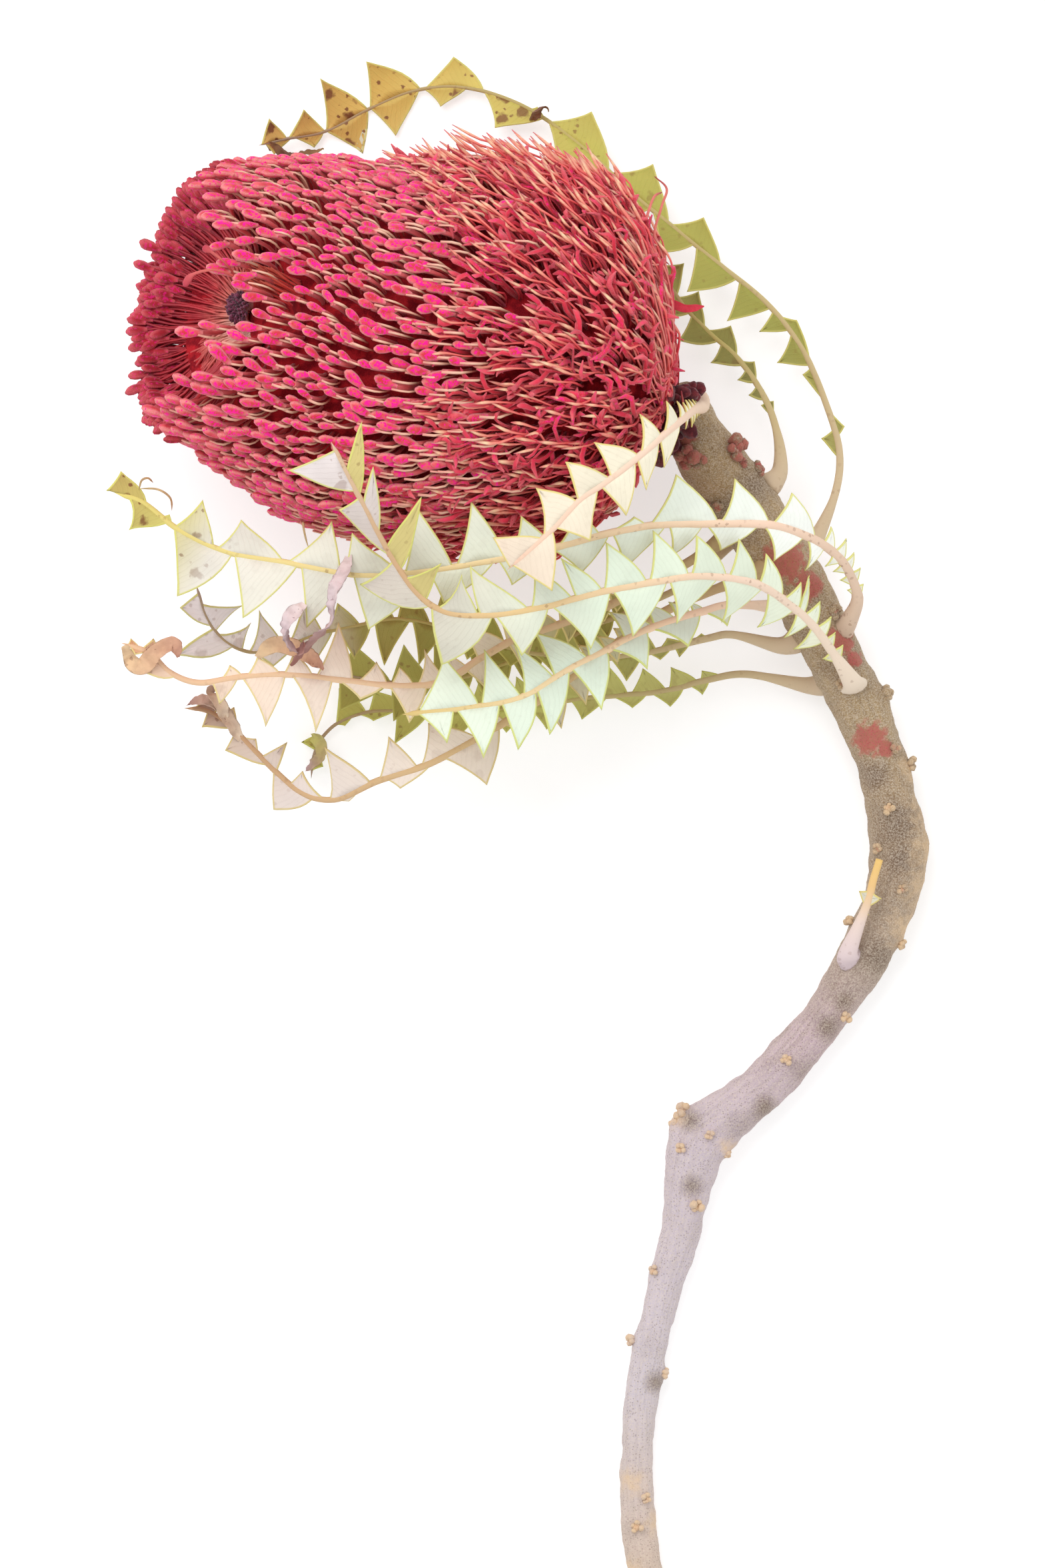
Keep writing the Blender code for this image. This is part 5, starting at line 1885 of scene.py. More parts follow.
@dataclass
class Leaf:
    """A dried leaf cut to the rib into lobes, with its rib and petiole."""

    shop: Workshop
    shape: LeafShape
    finish: LeafFinish
    seed: int
    rib_half_width: float = 1.1
    rib_rise: float = 0.75
    rib_sides: int = 12
    ring_step: float = 0.9
    # How far the rib runs into the bark, past the last lobe, to a point and to a cut end.
    root_run: float = 2.4
    tip_run: float = 1.5
    point_run: float = 3.0
    cut_edge: float = 0.03
    # How far out the petiole's extra width fades, and the flare where it leaves the stem.
    petiole_run: float = 14.0
    flare: float = 0.9
    flare_run: float = 2.2
    # A rib on the upper face is slimmer past this run, down to this share.
    slim_run: float = 30.0
    slim_share: float = 0.6
    margin_width: float = 0.27
    # Rows of points between a lobe's margin and the rib, and its dish and ripple as shares
    # of its reach.
    inner_rows: tuple[float, ...] = (0.25, 0.52, 0.8, 1.0)
    dish: float = 0.06
    ripple: float = 0.035
    # A lobe's two edges, as shares of the way along the rib and of the reach.
    rising: Table = ((0.0, 0.0), (0.08, 0.14), (0.2, 0.3), (0.35, 0.465), (0.5, 0.6),
                     (0.65, 0.725), (0.8, 0.84), (0.92, 0.94), (1.0, 1.0))
    falling: Table = ((0.05, 0.92), (0.14, 0.79), (0.3, 0.61), (0.5, 0.41), (0.72, 0.215),
                      (0.9, 0.08), (1.0, 0.0))
    half_thickness: tuple[float, ...] = (0.13, 0.27, 0.19, 0.18, 0.2, 0.25, 0.3)

    def lobes(self, route: LeafRoute) -> list[Lobe]:
        """Lists the lobes as photographed, and even ones where the photograph hides them.

        A row with a negative reach is a lobe that has folded over and shows its other face.

        Args:
            route: The leaf's line.

        Returns:
            The lobes of both sides.
        """
        shape = self.shape
        rng = random.Random(self.seed)
        marks = [mark for mark in route.stations() if mark >= shape.bare]
        found = []
        for sign, rows in ((-1, shape.right), (1, shape.left)):
            first = rows[0][0] if rows else route.length + 1.0
            lobes = list(rows)
            for start, end in zip(marks, marks[1:]):
                if end > first + 0.5:
                    break
                reach = float(read_table(shape.reach, np.array((start + end) / 2 / route.length)))
                _, along, side, _ = route.frame(np.array([start, end]))
                turn = float((along[1] - along[0]) @ (side[0] * sign))
                limit = 0.6 * (end - start) / turn if turn > 1e-4 else 99.0
                reach = min(reach * rng.uniform(0.9, 1.08), limit)
                lobes.append((start, start + 0.86 * (end - start), end, reach))
            for start, peak, end, reach in lobes:
                turned = reach < 0
                reach = abs(reach)
                fold = rng.uniform(0.02, 0.2) * reach * (-1 if shape.under else 1)
                tint = (math.sin(start * 12.9 + sign * 4.1) * 43758.5) % 1.0
                found.append(Lobe(start, peak, end, reach, sign, fold, tint, turned))
        return found

    def outline(self, lobe: Lobe) -> Array:
        """Draws a lobe's edge.

        Args:
            lobe: The lobe.

        Returns:
            Places and reaches, from its start over its apex to its end.
        """
        rise, fall = np.array(self.rising), np.array(self.falling)
        up = np.stack([lobe.start + rise[:, 0] * (lobe.peak - lobe.start),
                       rise[:, 1] * lobe.reach], axis=1)
        down = np.stack([lobe.peak + fall[:, 0] * (lobe.end - lobe.peak),
                         fall[:, 1] * lobe.reach], axis=1)
        return np.concatenate([up, down])

    def inset(self, edge: Array, depth: float) -> Array:
        """Moves an edge inwards, without passing the rib.

        Args:
            edge: Places and reaches of the edge.
            depth: How far it moves.

        Returns:
            The moved edge.
        """
        step = np.diff(edge, axis=0)
        normal = unit(np.stack([step[:, 1], -step[:, 0]], axis=1))
        before = np.concatenate([normal[:1], normal])
        after = np.concatenate([normal, normal[-1:]])
        mean = unit(before + after)
        grow = 1.0 / np.maximum((mean * after).sum(axis=1), 0.42)
        moved = edge + mean * (depth * grow)[:, None]
        moved[:, 1] = np.maximum(moved[:, 1], 0.0)
        return moved

    def lobe_grid(self, route: LeafRoute, lobe: Lobe) -> tuple[Array, Values]:
        """Makes the points of one lobe, as rings across its two faces.

        Args:
            route: The leaf's line.
            lobe: The lobe.

        Returns:
            Points, rings by ring points by three, and values in the same order.
        """
        edge = self.outline(lobe)
        depth = min(self.margin_width, 0.1 * lobe.reach)
        inner = self.inset(edge, depth * 1.9)
        rib = np.stack([np.linspace(lobe.start, lobe.end, len(edge)),
                        np.full(len(edge), 0.15)], axis=1)
        rows = [edge, self.inset(edge, depth), inner]
        rows += [inner + (rib - inner) * share for share in self.inner_rows]
        grid = np.stack(rows, axis=1)
        place, out = grid[..., 0], grid[..., 1]
        base, _, side, face = route.frame(place)
        high = np.clip(out / lobe.reach, 0.0, 1.0)
        over = (place - lobe.start) / max(lobe.end - lobe.start, 1.0) - 0.5
        bent = math.copysign(1.0, lobe.fold or 1.0)
        phase = lobe.tint * 6.28
        slope = (0.1 + 0.12 * (lobe.tint - 0.5)) * lobe.reach
        lift = lobe.fold * high ** 1.25 + slope * over * high
        lift -= bent * self.dish * lobe.reach * np.sin(high * math.pi)
        lift += np.sin(over * 6.5 + phase) * high ** 2 * self.ripple * lobe.reach
        middle = base + side * (lobe.sign * out)[..., None] + face * lift[..., None]
        half = np.array(self.half_thickness)[None, :] * min(1.0, 0.5 + lobe.reach / 8.0)
        top = middle + face * half[..., None]
        low = middle - face * half[..., None]
        margin = np.array((1.0, 1.0, 0.0, 0.0, 0.0, 0.0, 0.0))
        order = slice(None, None, lobe.sign)

        def both(first: Array, last: Array) -> Array:
            """Lays values out over the upper and then the lower face, in the rings' order."""
            joined = np.concatenate([first, last[:, ::-1]], axis=1)
            return joined[:, order]

        def twice(value: Array) -> Array:
            """Lays the same values out over both faces."""
            full = np.broadcast_to(value, place.shape)
            return both(full, full).ravel()

        ones = np.ones(place.shape)
        values = {"share": twice(place / route.length), "across": twice(out),
                  "run": twice(place), "margin": twice(margin[None, :]),
                  "seen": both(ones * (not lobe.turned), ones * lobe.turned).ravel(),
                  "rib": twice(ones * 0.0),
                  "tint": twice(ones * lobe.tint),
                  "lift": both(face, face).reshape(-1, 3)}
        return both(top, low), values

    def rib_grid(self, route: LeafRoute) -> tuple[Array, Values]:
        """Makes the rings of the rib and petiole.

        Args:
            route: The leaf's line.

        Returns:
            Points, rings by ring points by three, and values in the same order.
        """
        shape = self.shape
        count = int(route.length / self.ring_step)
        end = route.length + (0.0 if shape.blunt else self.tip_run)
        place = np.linspace(-self.root_run, end, count)
        if shape.blunt:
            place = np.append(place, place[-1] + self.cut_edge)
        base, _, side, face = route.frame(place)
        share = np.clip(place / route.length, 0.0, 1.0)
        outer = np.maximum(place, 0.0)
        fade = np.clip(1 - place / self.petiole_run, 0.0, 1.0)
        flare = self.flare * np.exp(-outer / self.flare_run)
        taper = 0.3 if shape.blunt else 0.5
        width = self.rib_half_width * (1.1 - taper * share)
        if not shape.under:
            width *= self.slim_share + (1 - self.slim_share) * np.exp(-outer / self.slim_run)
        width = width + shape.petiole * 0.6 * fade + flare
        rise = self.rib_rise * (1.05 - 0.45 * share) + 1.1 * fade
        drop = 0.3 + 1.1 * fade if shape.under else rise
        rise = rise if shape.under else 0.34 + 1.1 * fade
        closing = self.cut_edge if shape.blunt else self.point_run
        close = np.clip((place[-1] - place) / closing, 0.05, 1.0)
        angle = 2 * math.pi * np.arange(self.rib_sides) / self.rib_sides
        cos, sin = np.cos(angle), np.sin(angle)
        height = np.where(sin > 0, rise[:, None] * sin, drop[:, None] * sin)
        rings = (base[:, None] + side[:, None] * ((width * close)[:, None] * cos)[..., None]
                 + face[:, None] * (height * close[:, None])[..., None])
        rings = rings[:, ::-1]
        grid = rings.shape[:2]
        values = {"share": np.broadcast_to(share[:, None], grid),
                  "across": np.zeros(grid), "run": np.broadcast_to(place[:, None], grid),
                  "margin": np.zeros(grid),
                  "seen": np.broadcast_to((sin[::-1] > -0.2)[None, :] * 1.0, grid),
                  "rib": np.ones(grid), "tint": np.full(grid, 0.5)}
        values = {name: value.ravel() for name, value in values.items()}
        lifts = np.broadcast_to(face[:, None], rings.shape).reshape(-1, 3)
        return rings, {**values, "lift": lifts}

    def closed_tube(self, rings: Array, start: int) -> Array:
        """Returns the faces of a tube of rings with its two ends closed.

        Args:
            rings: The tube's points.
            start: The number of its first point.

        Returns:
            Four point numbers for each face.
        """
        rows, sides = rings.shape[:2]
        walls = ring_quads(rows, sides, start)
        half = sides // 2
        k = np.arange(half - 1)
        near = np.stack([k + 1, k, sides - 1 - k, sides - 2 - k], axis=1) + start
        far = near[:, ::-1] + (rows - 1) * sides
        return np.concatenate([walls, near, far])

    def build(self) -> None:
        """Makes the leaf."""
        points, quads, values = self.surfaces()
        points[:, 2] = np.maximum(points[:, 2], TABLE_CLEARANCE)
        obj = mesh_object(self.shape.name + "_blade", points, quads, values)
        self.shop.weather.apply(obj, self.finish.material(self.shop.effects), wave=0.0008,
                                wave_size=0.007, grain=0.0, grain_size=0.001, seed=self.seed)
        self.shop.keep(obj, self.shape.name)

    def surfaces(self) -> tuple[Array, Array, Values]:
        """Makes all the closed surfaces of the leaf.

        Returns:
            Their points, faces and values.
        """
        route = LeafRoute(self.shape)
        parts = [self.rib_grid(route)]
        parts += [self.lobe_grid(route, lobe) for lobe in self.lobes(route)]
        points, quads, values = [], [], {}
        start = 0
        for rings, stored in parts:
            quads.append(self.closed_tube(rings, start))
            start += rings.shape[0] * rings.shape[1]
            points.append(rings.reshape(-1, 3))
            for name, value in stored.items():
                values.setdefault(name, []).append(value)
        joined = {name: np.concatenate(value) for name, value in values.items()}
        return np.concatenate(points), np.concatenate(quads), joined


LEAF_SHAPES: tuple[LeafShape, ...] = (
    LeafShape(
        "leaf_top_arc", False, 12.4, 30.0, 1.7,
        ((70.7, 68.8, 14.2), (72.9, 71.5, 13.0), (77.5, 82.5, 12.0), (78.5, 92.5, 11.6),
         (75.5, 103.5, 11.4), (69.5, 117.5, 11.4), (61.0, 128.5, 11.4), (49.5, 138.0, 11.6),
         (36.5, 148.5, 11.4), (27.0, 156.5, 10.4), (16.5, 166.5, 8.4), (2.5, 176.5, 5.6),
         (-12.0, 181.5, 3.2), (-24.5, 181.0, 1.6), (-36.0, 176.5, 1.1), (-46.5, 171.0, 2.3),
         (-56.0, 169.0, 5.5), (-61.5, 167.5, 8.5)),
        ((0, 0), (0.25, -15), (0.35, 8), (0.5, 16), (0.6, 14), (0.74, 10), (0.85, -8), (1, -20)),
        ((0.14, 1.5), (0.24, 4), (0.34, 8), (0.45, 11), (0.85, 11.5), (1, 6)),
        ((29.6, 31.5, 36.9, 2.6), (48.7, 59, 62.8, 2.9), (81.2, 91.8, 97.1, 6.4),
         (97.4, 110.2, 116.5, 8.7), (117, 129.6, 136.1, 8.1), (137.6, 140.6, 142.1, 1.5),
         (154, 162, 168.8, 7.3), (169.7, 179.2, 183.1, 10.9), (183.5, 190.8, 195.2, 12.7),
         (195.4, 201, 205.1, 6.9), (205.4, 210, 212.6, 6.1)),
        ((24, 30.2, 31.8, 3.8), (38.6, 46.9, 47.7, 2.8), (48, 52.8, 57.5, 7),
         (58, 62.7, 64.4, 6.1), (65, 71.4, 75.4, 9.9), (75.9, 83.5, 88.8, 10.9),
         (89.3, 94.7, 102.6, 7.7), (103.2, 107.7, 117.3, 7.7), (117.9, 126.5, 136.5, 9.5),
         (137.6, 147.8, 154.2, 8), (158.3, 165.2, 169.2, 4.9), (170.1, 180.2, 183.1, 8.6),
         (183.6, 189.9, 195.3, 9), (195.8, 198.9, 203.9, 3.2), (204.2, 209.7, 211.6, 3))),
    LeafShape(
        "leaf_side_arc", False, 8.5, 17.0, 1.5,
        ((62.0, 85.0, 21.0), (63.9, 87.9, 20.4), (63.5, 95.5, 19.0), (60.5, 105.0, 17.0),
         (54.0, 115.0, 12.0), (46.0, 122.5, 8.0), (39.5, 130.0, 5.0), (35.5, 137.5, 3.4),
         (33.5, 144.0, 2.6)),
        ((0, 0), (0.4, 20), (0.7, 8), (1, 0)),
        ((0.25, 1.5), (0.45, 4), (0.62, 8.5), (0.8, 9), (1, 4)),
        ((21.9, 24.2, 25.6, 0.8), (26.9, 31.7, 34.3, 2.7), (35.4, 42.2, 45.9, 4.9),
         (46.5, 55.2, 57.1, 5.1), (57.4, 64.2, 66.2, 5.4)),
        ((21.5, 24.2, 26.3, 3.5), (26.8, 29.4, 31.4, 3.8), (32.4, 38.4, 40.8, 5.9),
         (41.5, 48.1, 51.4, 7.1), (51.9, 56.4, 61.1, 6.8))),
    LeafShape(
        "leaf_short", True, 10.6, 6.0, 1.7,
        ((43.8, 103.6, 38.6), (44.3, 102.7, 42.1), (42.0, 101.0, 57.0), (37.0, 96.5, 77.0),
         (28.5, 89.0, 86.5), (21.5, 83.5, 89.0), (15.0, 79.0, 90.5), (9.5, 73.0, 91.0),
         (2.5, 66.5, 91.0), (-1.0, 63.5, 90.0)),
        ((0, 0), (0.2, -30), (0.42, -28), (0.65, -12), (1, 2)),
        ((0.08, 2), (0.3, 4), (0.5, 10.5), (0.8, 12), (1, 8)),
        ((27.8, 30.5, 34.7, 4.5), (35.3, 38.6, 44.8, 6.4), (45.2, 47.6, 53.7, 7.8),
         (53.9, 61.3, 63.2, 9.3), (63.2, 70.1, 72.9, 9.4), (72.9, 77, 84.9, 9.6),
         (84.9, 94.2, 95.6, 8.1)),
        ((23.9, 30, 27.8, 2.7), (34.3, 48.4, 46.3, 6.8), (46.6, 57.3, 55.1, 7.7),
         (55.7, 64.7, 66.5, 9.7), (67, 78, 81.4, 8.5), (81.9, 91.6, 94.8, 10.8))),
    LeafShape(
        "leaf_upper", True, 10.4, 10.0, 1.7,
        ((79.4, 50.1, 18.9), (80.8, 51.9, 21.5), (82.5, 57.0, 26.0), (80.0, 63.5, 31.5),
         (76.0, 68.0, 37.0), (69.5, 71.5, 44.5), (60.5, 74.0, 52.0), (45.0, 74.0, 62.0),
         (32.5, 73.5, 69.0), (20.0, 71.0, 74.0), (7.0, 67.5, 77.0), (-5.5, 65.0, 78.5),
         (-21.5, 62.5, 79.0), (-37.5, 61.5, 78.0), (-55.0, 64.5, 76.5), (-69.0, 67.0, 77.0),
         (-80.0, 72.0, 79.5), (-88.5, 78.5, 82.5), (-94.0, 80.5, 84.0)),
        ((0, 0), (0.15, 8), (0.32, -20), (0.7, -20), (0.8, 0), (0.9, -14), (1, 20)),
        ((0.03, 1.5), (0.12, 4.5), (0.24, 10), (0.34, 12), (0.85, 12.5), (1, 7)),
        ((34.6, 45.4, 49.5, 8.6), (50, 60.5, 64.3, 10.7), (64.6, 77.8, 83.8, 12.1),
         (84.6, 87.7, 95.8, 2.8), (96.7, 101.5, 107.7, 7.1), (108.5, 115.1, 119.2, 9.5),
         (120, 126.4, 132.4, 15.1), (133, 140.2, 144.7, 16.4), (145.5, 158.2, 158.9, 10.1),
         (159.9, 164.5, 173.2, 11.7), (173.8, 186.3, 190.3, 8.4), (190.9, 199.3, 201.8, 9.1),
         (202.4, 204.5, 206.1, 1.7), (210.4, 218.2, 220.8, 6.0)),
        ((30.3, 31.5, 38.2, 7.6), (38.4, 45.5, 52.2, 8.5), (52.8, 62.5, 68.6, 7),
         (68.9, 76.2, 78.7, 8.8), (79.2, 91.3, 93.8, 10.3), (94.3, 102.9, 109.3, 8.6),
         (109.8, 119.8, 122.4, 7.4), (122.9, 136.5, 139.2, 8.7), (139.8, 153.7, 157, 14.1),
         (158.6, 165.8, 169.7, 14.6), (170.3, 181.4, 185.8, 14.8), (186.1, 193.5, 201.8, 14.6),
         (203.5, 210.6, 215.4, 7.2))),
    LeafShape(
        "leaf_middle", True, 10.2, 11.0, 2.4,
        ((81.7, 35.7, 19.6), (81.2, 36.6, 22.8), (77.5, 42.0, 28.5), (71.5, 50.0, 36.0),
         (65.0, 55.5, 43.5), (57.0, 60.0, 53.0), (45.5, 61.5, 63.0), (36.0, 60.5, 69.5),
         (20.0, 57.5, 75.5), (7.0, 54.0, 78.5), (-5.5, 52.0, 80.5), (-16.5, 52.5, 83.0),
         (-24.0, 57.5, 87.5), (-31.0, 68.0, 94.5), (-36.0, 77.5, 101.0), (-40.0, 85.0, 105.0),
         (-43.0, 91.0, 107.5)),
        ((0, 0), (0.2, -8), (0.35, -18), (0.62, -12), (0.8, -18), (1, 15)),
        ((0.03, 1.5), (0.1, 4), (0.22, 9), (0.34, 11.5), (0.85, 12), (1, 9)),
        ((29.1, 35.9, 31.3, 8.5), (31.5, 36.7, 37.7, 6), (38, 48.8, 47.7, 7.5),
         (48.4, 57.8, 57.9, 9.8), (58.5, 68.7, 69.5, 10), (70.1, 78.5, 81, 12.1),
         (81.4, 90.5, 92.7, 11.6), (92.9, 101.2, 99.8, 10.6), (100.5, 108.4, 111, 10.2),
         (111.3, 126.9, 123.4, 12), (123.7, 130.6, 134.4, 9.8), (137.9, 145.1, 146.3, -9.5),
         (148.5, 163.5, 156, -13), (160, 176, 169.4, 6.4), (171.3, 187, 178.6, -9)),
        ((18.4, 21.5, 25, 7.4), (25.7, 27.9, 31.9, 7.2), (32.3, 36.8, 44.2, 9.3),
         (45.5, 54, 60.2, 11.5), (60.8, 73.3, 75.8, 11.4), (76.1, 85.6, 90.8, 13.1),
         (90.9, 98.6, 106.3, 13.4), (106.6, 114.6, 119.9, 10.9), (120.2, 129.4, 135.9, 13.4),
         (135.9, 148.4, 151.9, 11), (152.9, 170.9, 171.3, 5.7), (172.9, 185.5, 184.7, 11.8))),
    LeafShape(
        "leaf_lower_mid", True, 10.4, 30.0, 1.8,
        ((65.9, 55.5, 22.2), (63.9, 54.6, 25.2), (52.0, 55.0, 38.0), (44.0, 53.0, 45.0),
         (34.5, 50.0, 50.5), (27.5, 47.0, 54.0), (20.0, 43.0, 57.5), (12.0, 39.0, 60.0),
         (1.0, 32.5, 62.5), (-12.0, 30.0, 63.5), (-21.5, 29.0, 63.0), (-26.0, 28.5, 61.0)),
        ((0, 10), (0.4, 25), (0.7, -6), (1, 10)),
        ((0.25, 2), (0.38, 7.5), (0.55, 11), (0.9, 12), (1, 9)),
        ((59.4, 62.3, 64.2, 8.8), (64.2, 72, 73.9, 11.8), (73.9, 78, 82.8, 12.4),
         (83.1, 90.2, 93.2, 13.3), (93.5, 101, 108.4, 13.2)),
        ((21.1, 26.2, 31.6, 5.3), (32, 39.3, 46.9, 7.5), (47.4, 52.3, 58.8, 8.6),
         (59, 67.2, 69.4, 12.4), (69.6, 81, 79.3, 11.2), (79.5, 86.8, 88.4, 12.1),
         (88.6, 94.3, 99.3, 12.6), (99.7, 102.1, 108.7, 8))),
    LeafShape(
        "leaf_green_upper", False, 10.4, 26.0, 1.6,
        ((67.1, 46.2, 14.5), (63.6, 45.4, 14.9), (52.5, 48.0, 17.0), (46.0, 47.0, 18.5),
         (31.0, 43.5, 20.5), (17.0, 42.0, 23.5), (1.0, 44.0, 27.5), (-12.0, 47.5, 31.0),
         (-21.5, 50.5, 34.0), (-29.5, 51.5, 36.0), (-38.0, 50.0, 38.0), (-47.5, 48.0, 40.0),
         (-56.0, 45.0, 41.5), (-64.0, 43.5, 43.0), (-70.5, 46.5, 46.0), (-74.5, 52.0, 50.0),
         (-76.5, 58.5, 54.0)),
        ((0, 0), (0.3, -18), (0.6, 12), (0.8, -14), (1, 10)),
        ((0.12, 1.5), (0.24, 4), (0.38, 9), (0.5, 11), (0.8, 10), (1, 6)),
        ((21.7, 23, 26.9, 1.6), (27.3, 31.5, 34.2, 2.6), (34.5, 38.3, 42.7, 7.7),
         (43.6, 50.4, 52.1, 10), (52.9, 60.2, 61.8, 9.9), (62.8, 71.6, 71.6, 11.2),
         (72.4, 82.4, 81.9, 10.1), (82.7, 91.3, 91.6, 9.9), (92.3, 99, 100.6, 8.1),
         (101.2, 105.3, 108.9, 6.9), (109.8, 114.6, 118.5, 6.3), (119.2, 121.6, 128.3, 8.2),
         (129.1, 133.9, 138.1, 10.3), (139.7, 140.8, 147.6, 7), (148.5, 151.6, 157.1, 8.9)),
        ((30.5, 34.2, 37.3, 2.4), (38, 43, 46.3, 5.9), (46.8, 52, 55.6, 5.2),
         (56.3, 59.9, 66, 4.1), (66.9, 70.5, 76.7, 4.3), (77.5, 81, 87.3, 5.5),
         (88, 93.8, 96.9, 11), (97.3, 106.8, 106.3, 11), (107, 113.2, 115.7, 7.9),
         (116.6, 124.4, 125, 7.1), (125.7, 133, 137, 4.1), (142.2, 150.4, 149.6, 11.1),
         (150.3, 158.4, 160.2, 5.4))),
    LeafShape(
        "leaf_green_lower", False, 10.2, 26.0, 1.6,
        ((73.9, 36.1, 8.2), (70.5, 35.8, 7.1), (56.0, 38.5, 8.0), (46.0, 37.0, 7.2),
         (36.5, 34.5, 6.4), (27.0, 33.5, 5.8), (15.5, 32.5, 5.0), (1.0, 30.5, 4.2),
         (-12.0, 29.5, 3.6), (-22.0, 29.5, 3.0), (-35.0, 29.5, 2.2), (-43.0, 27.0, 1.6),
         (-47.5, 23.0, 1.4), (-49.5, 18.5, 1.3), (-50.0, 14.5, 1.1)),
        ((0, 0), (0.4, -10), (0.7, 5), (1, -4)),
        ((0.18, 1.5), (0.28, 4.5), (0.42, 9.5), (0.6, 11), (0.9, 10), (1, 5)),
        ((19.9, 23.2, 23.9, 0.7), (24.4, 29, 30.1, 2.6), (30.4, 36, 38.1, 5.5),
         (38.4, 43.8, 47.4, 6.3), (47.9, 51.9, 57.2, 7.4), (58, 63.7, 67.1, 7.8),
         (67.9, 74.6, 76.9, 7.6), (77.8, 83.9, 87.6, 8.3), (88, 95.1, 97.4, 7.7),
         (98.1, 109.8, 111.6, 4.9), (112.1, 116.2, 120.1, 7.6), (124.4, 127.9, 128.5, 4)),
        ((27.6, 30.3, 33.3, 3.3), (34, 38.4, 42.8, 4), (43.1, 47.2, 52.4, 3.3),
         (52.9, 59.9, 62.2, 5), (63, 68.9, 72.9, 6.3), (73.2, 78.4, 84.4, 5.9),
         (85, 89.4, 95.8, 6.1), (96.5, 105, 104.6, 8.3), (104.9, 110.7, 114.6, 2.4),
         (115.5, 118.4, 120.7, 1.5), (125.5, 132.2, 133.6, 2.7))),
    LeafShape(
        "leaf_tan", True, 10.2, 34.0, 1.7,
        ((59.9, 64.0, 23.8), (57.4, 62.3, 26.0), (46.0, 58.0, 31.0), (36.0, 53.5, 34.5),
         (26.5, 47.5, 37.5), (17.0, 40.0, 40.0), (4.0, 31.0, 41.5), (-5.5, 25.0, 42.0),
         (-12.5, 21.0, 42.0), (-22.5, 16.0, 41.5), (-33.5, 12.5, 40.0), (-44.0, 8.0, 37.0),
         (-52.5, 10.0, 33.5), (-61.5, 18.0, 29.5), (-69.0, 25.5, 26.5), (-75.0, 29.5, 25.0),
         (-79.0, 30.0, 24.5)),
        ((0, 0), (0.3, -12), (0.55, 10), (0.75, -25), (1, 25)),
        ((0.2, 1.5), (0.32, 7), (0.45, 10.5), (0.85, 11), (1, 6)),
        ((76.2, 79.5, 83.1, 7.9), (83.9, 93.1, 99.5, 9.1), (100, 104.9, 110.1, 9.5),
         (112, 117.9, 123.6, 13.4), (124.7, 134.1, 135.1, 4.6), (139.6, 143, 145.2, 7),
         (146.3, 149.4, 152.4, 2.3), (154.4, 158.4, 159.9, 4.4), (160.7, 162.4, 166.5, 4.4)),
        ((68.7, 74.3, 77.3, 5.1), (78, 87.5, 93.8, 10.9), (96.3, 105.8, 108.7, 3.5),
         (115.4, 119.2, 122.6, 1.6), (127.8, 135.2, 140.6, 7.8), (142, 152.7, 154.4, 5.1),
         (155.2, 162.3, 162.9, 4.2))),
    LeafShape(
        "leaf_cream", True, 10.2, 36.0, 1.7,
        ((51.6, 72.4, 22.7), (49.0, 70.4, 24.3), (41.0, 65.0, 34.0), (29.5, 58.5, 40.0),
         (18.5, 53.0, 44.5), (7.0, 49.0, 47.5), (-1.5, 46.0, 49.0), (-8.5, 42.0, 50.0),
         (-14.5, 38.0, 51.0), (-21.5, 35.5, 52.0), (-32.0, 35.5, 53.0), (-44.5, 37.0, 54.0),
         (-55.0, 38.0, 55.5), (-66.0, 37.5, 57.0), (-76.0, 36.0, 58.5), (-83.0, 38.5, 60.5),
         (-87.5, 43.0, 62.5), (-93.0, 45.0, 64.0)),
        ((0, 0), (0.35, -15), (0.6, 20), (0.8, -15), (1, 25)),
        ((0.2, 1.5), (0.32, 6), (0.42, 8), (0.6, 10.5), (0.85, 10), (1, 4)),
        ((78.8, 81.6, 84.4, 6.5), (85.1, 88, 92.2, 9), (92.7, 96.4, 98.6, 4.9),
         (99.1, 102.3, 106.7, 5.9), (107.5, 112.4, 116.6, 14.1), (117.2, 122.3, 124.5, 5.5),
         (125, 130.6, 133.4, 4.6), (134.2, 136.9, 139.8, 3.1), (157.5, 160.2, 162, 3.8),
         (162.2, 165, 165.4, 1.9)),
        ((72.2, 78.4, 79.9, 6.1), (80.6, 86.7, 89.1, 6.1), (89.6, 94.2, 99.1, 9.2),
         (99.7, 105.4, 111.7, 4.2), (112.4, 115, 122.5, 13.2), (123.8, 128.8, 134.7, 13.1),
         (135.3, 140.9, 141.9, 5.8), (150.7, 157.2, 159.8, 4.6), (160.2, 163.2, 165.4, 1.9))),
    LeafShape(
        "leaf_hidden", False, 10.4, 30.0, 1.5,
        ((54.6, 72.6, 14.7), (52.0, 70.8, 13.3), (43.0, 61.5, 15.5), (31.5, 55.5, 16.0),
         (20.0, 50.5, 16.5), (7.5, 45.0, 16.5), (-5.5, 40.0, 17.0), (-15.5, 37.0, 18.0),
         (-25.0, 36.0, 19.5), (-34.5, 37.0, 21.5), (-43.0, 38.5, 23.5)),
        ((0, 0), (0.5, 8), (1, -12)),
        ((0.25, 1.5), (0.4, 6), (0.6, 9.5), (0.9, 10), (1, 6))),
    LeafShape(
        "leaf_stub", True, 6.0, 12.0, 2.0,
        ((80.9, -30.6, 13.5), (80.6, -28.8, 16.0), (85.0, -17.5, 18.5), (86.5, -11.5, 20.0),
         (88.0, -6.5, 21.0)),
        ((0, 0), (1, -10)),
        ((0.4, 2.5), (0.6, 4.5), (0.8, 2), (1, 1.2)),
        ((12.6, 13.6, 14.6, 1.4), (15.2, 18.2, 19.4, 3.0)), ((15.0, 18.6, 19.6, 2.8),), True),
)


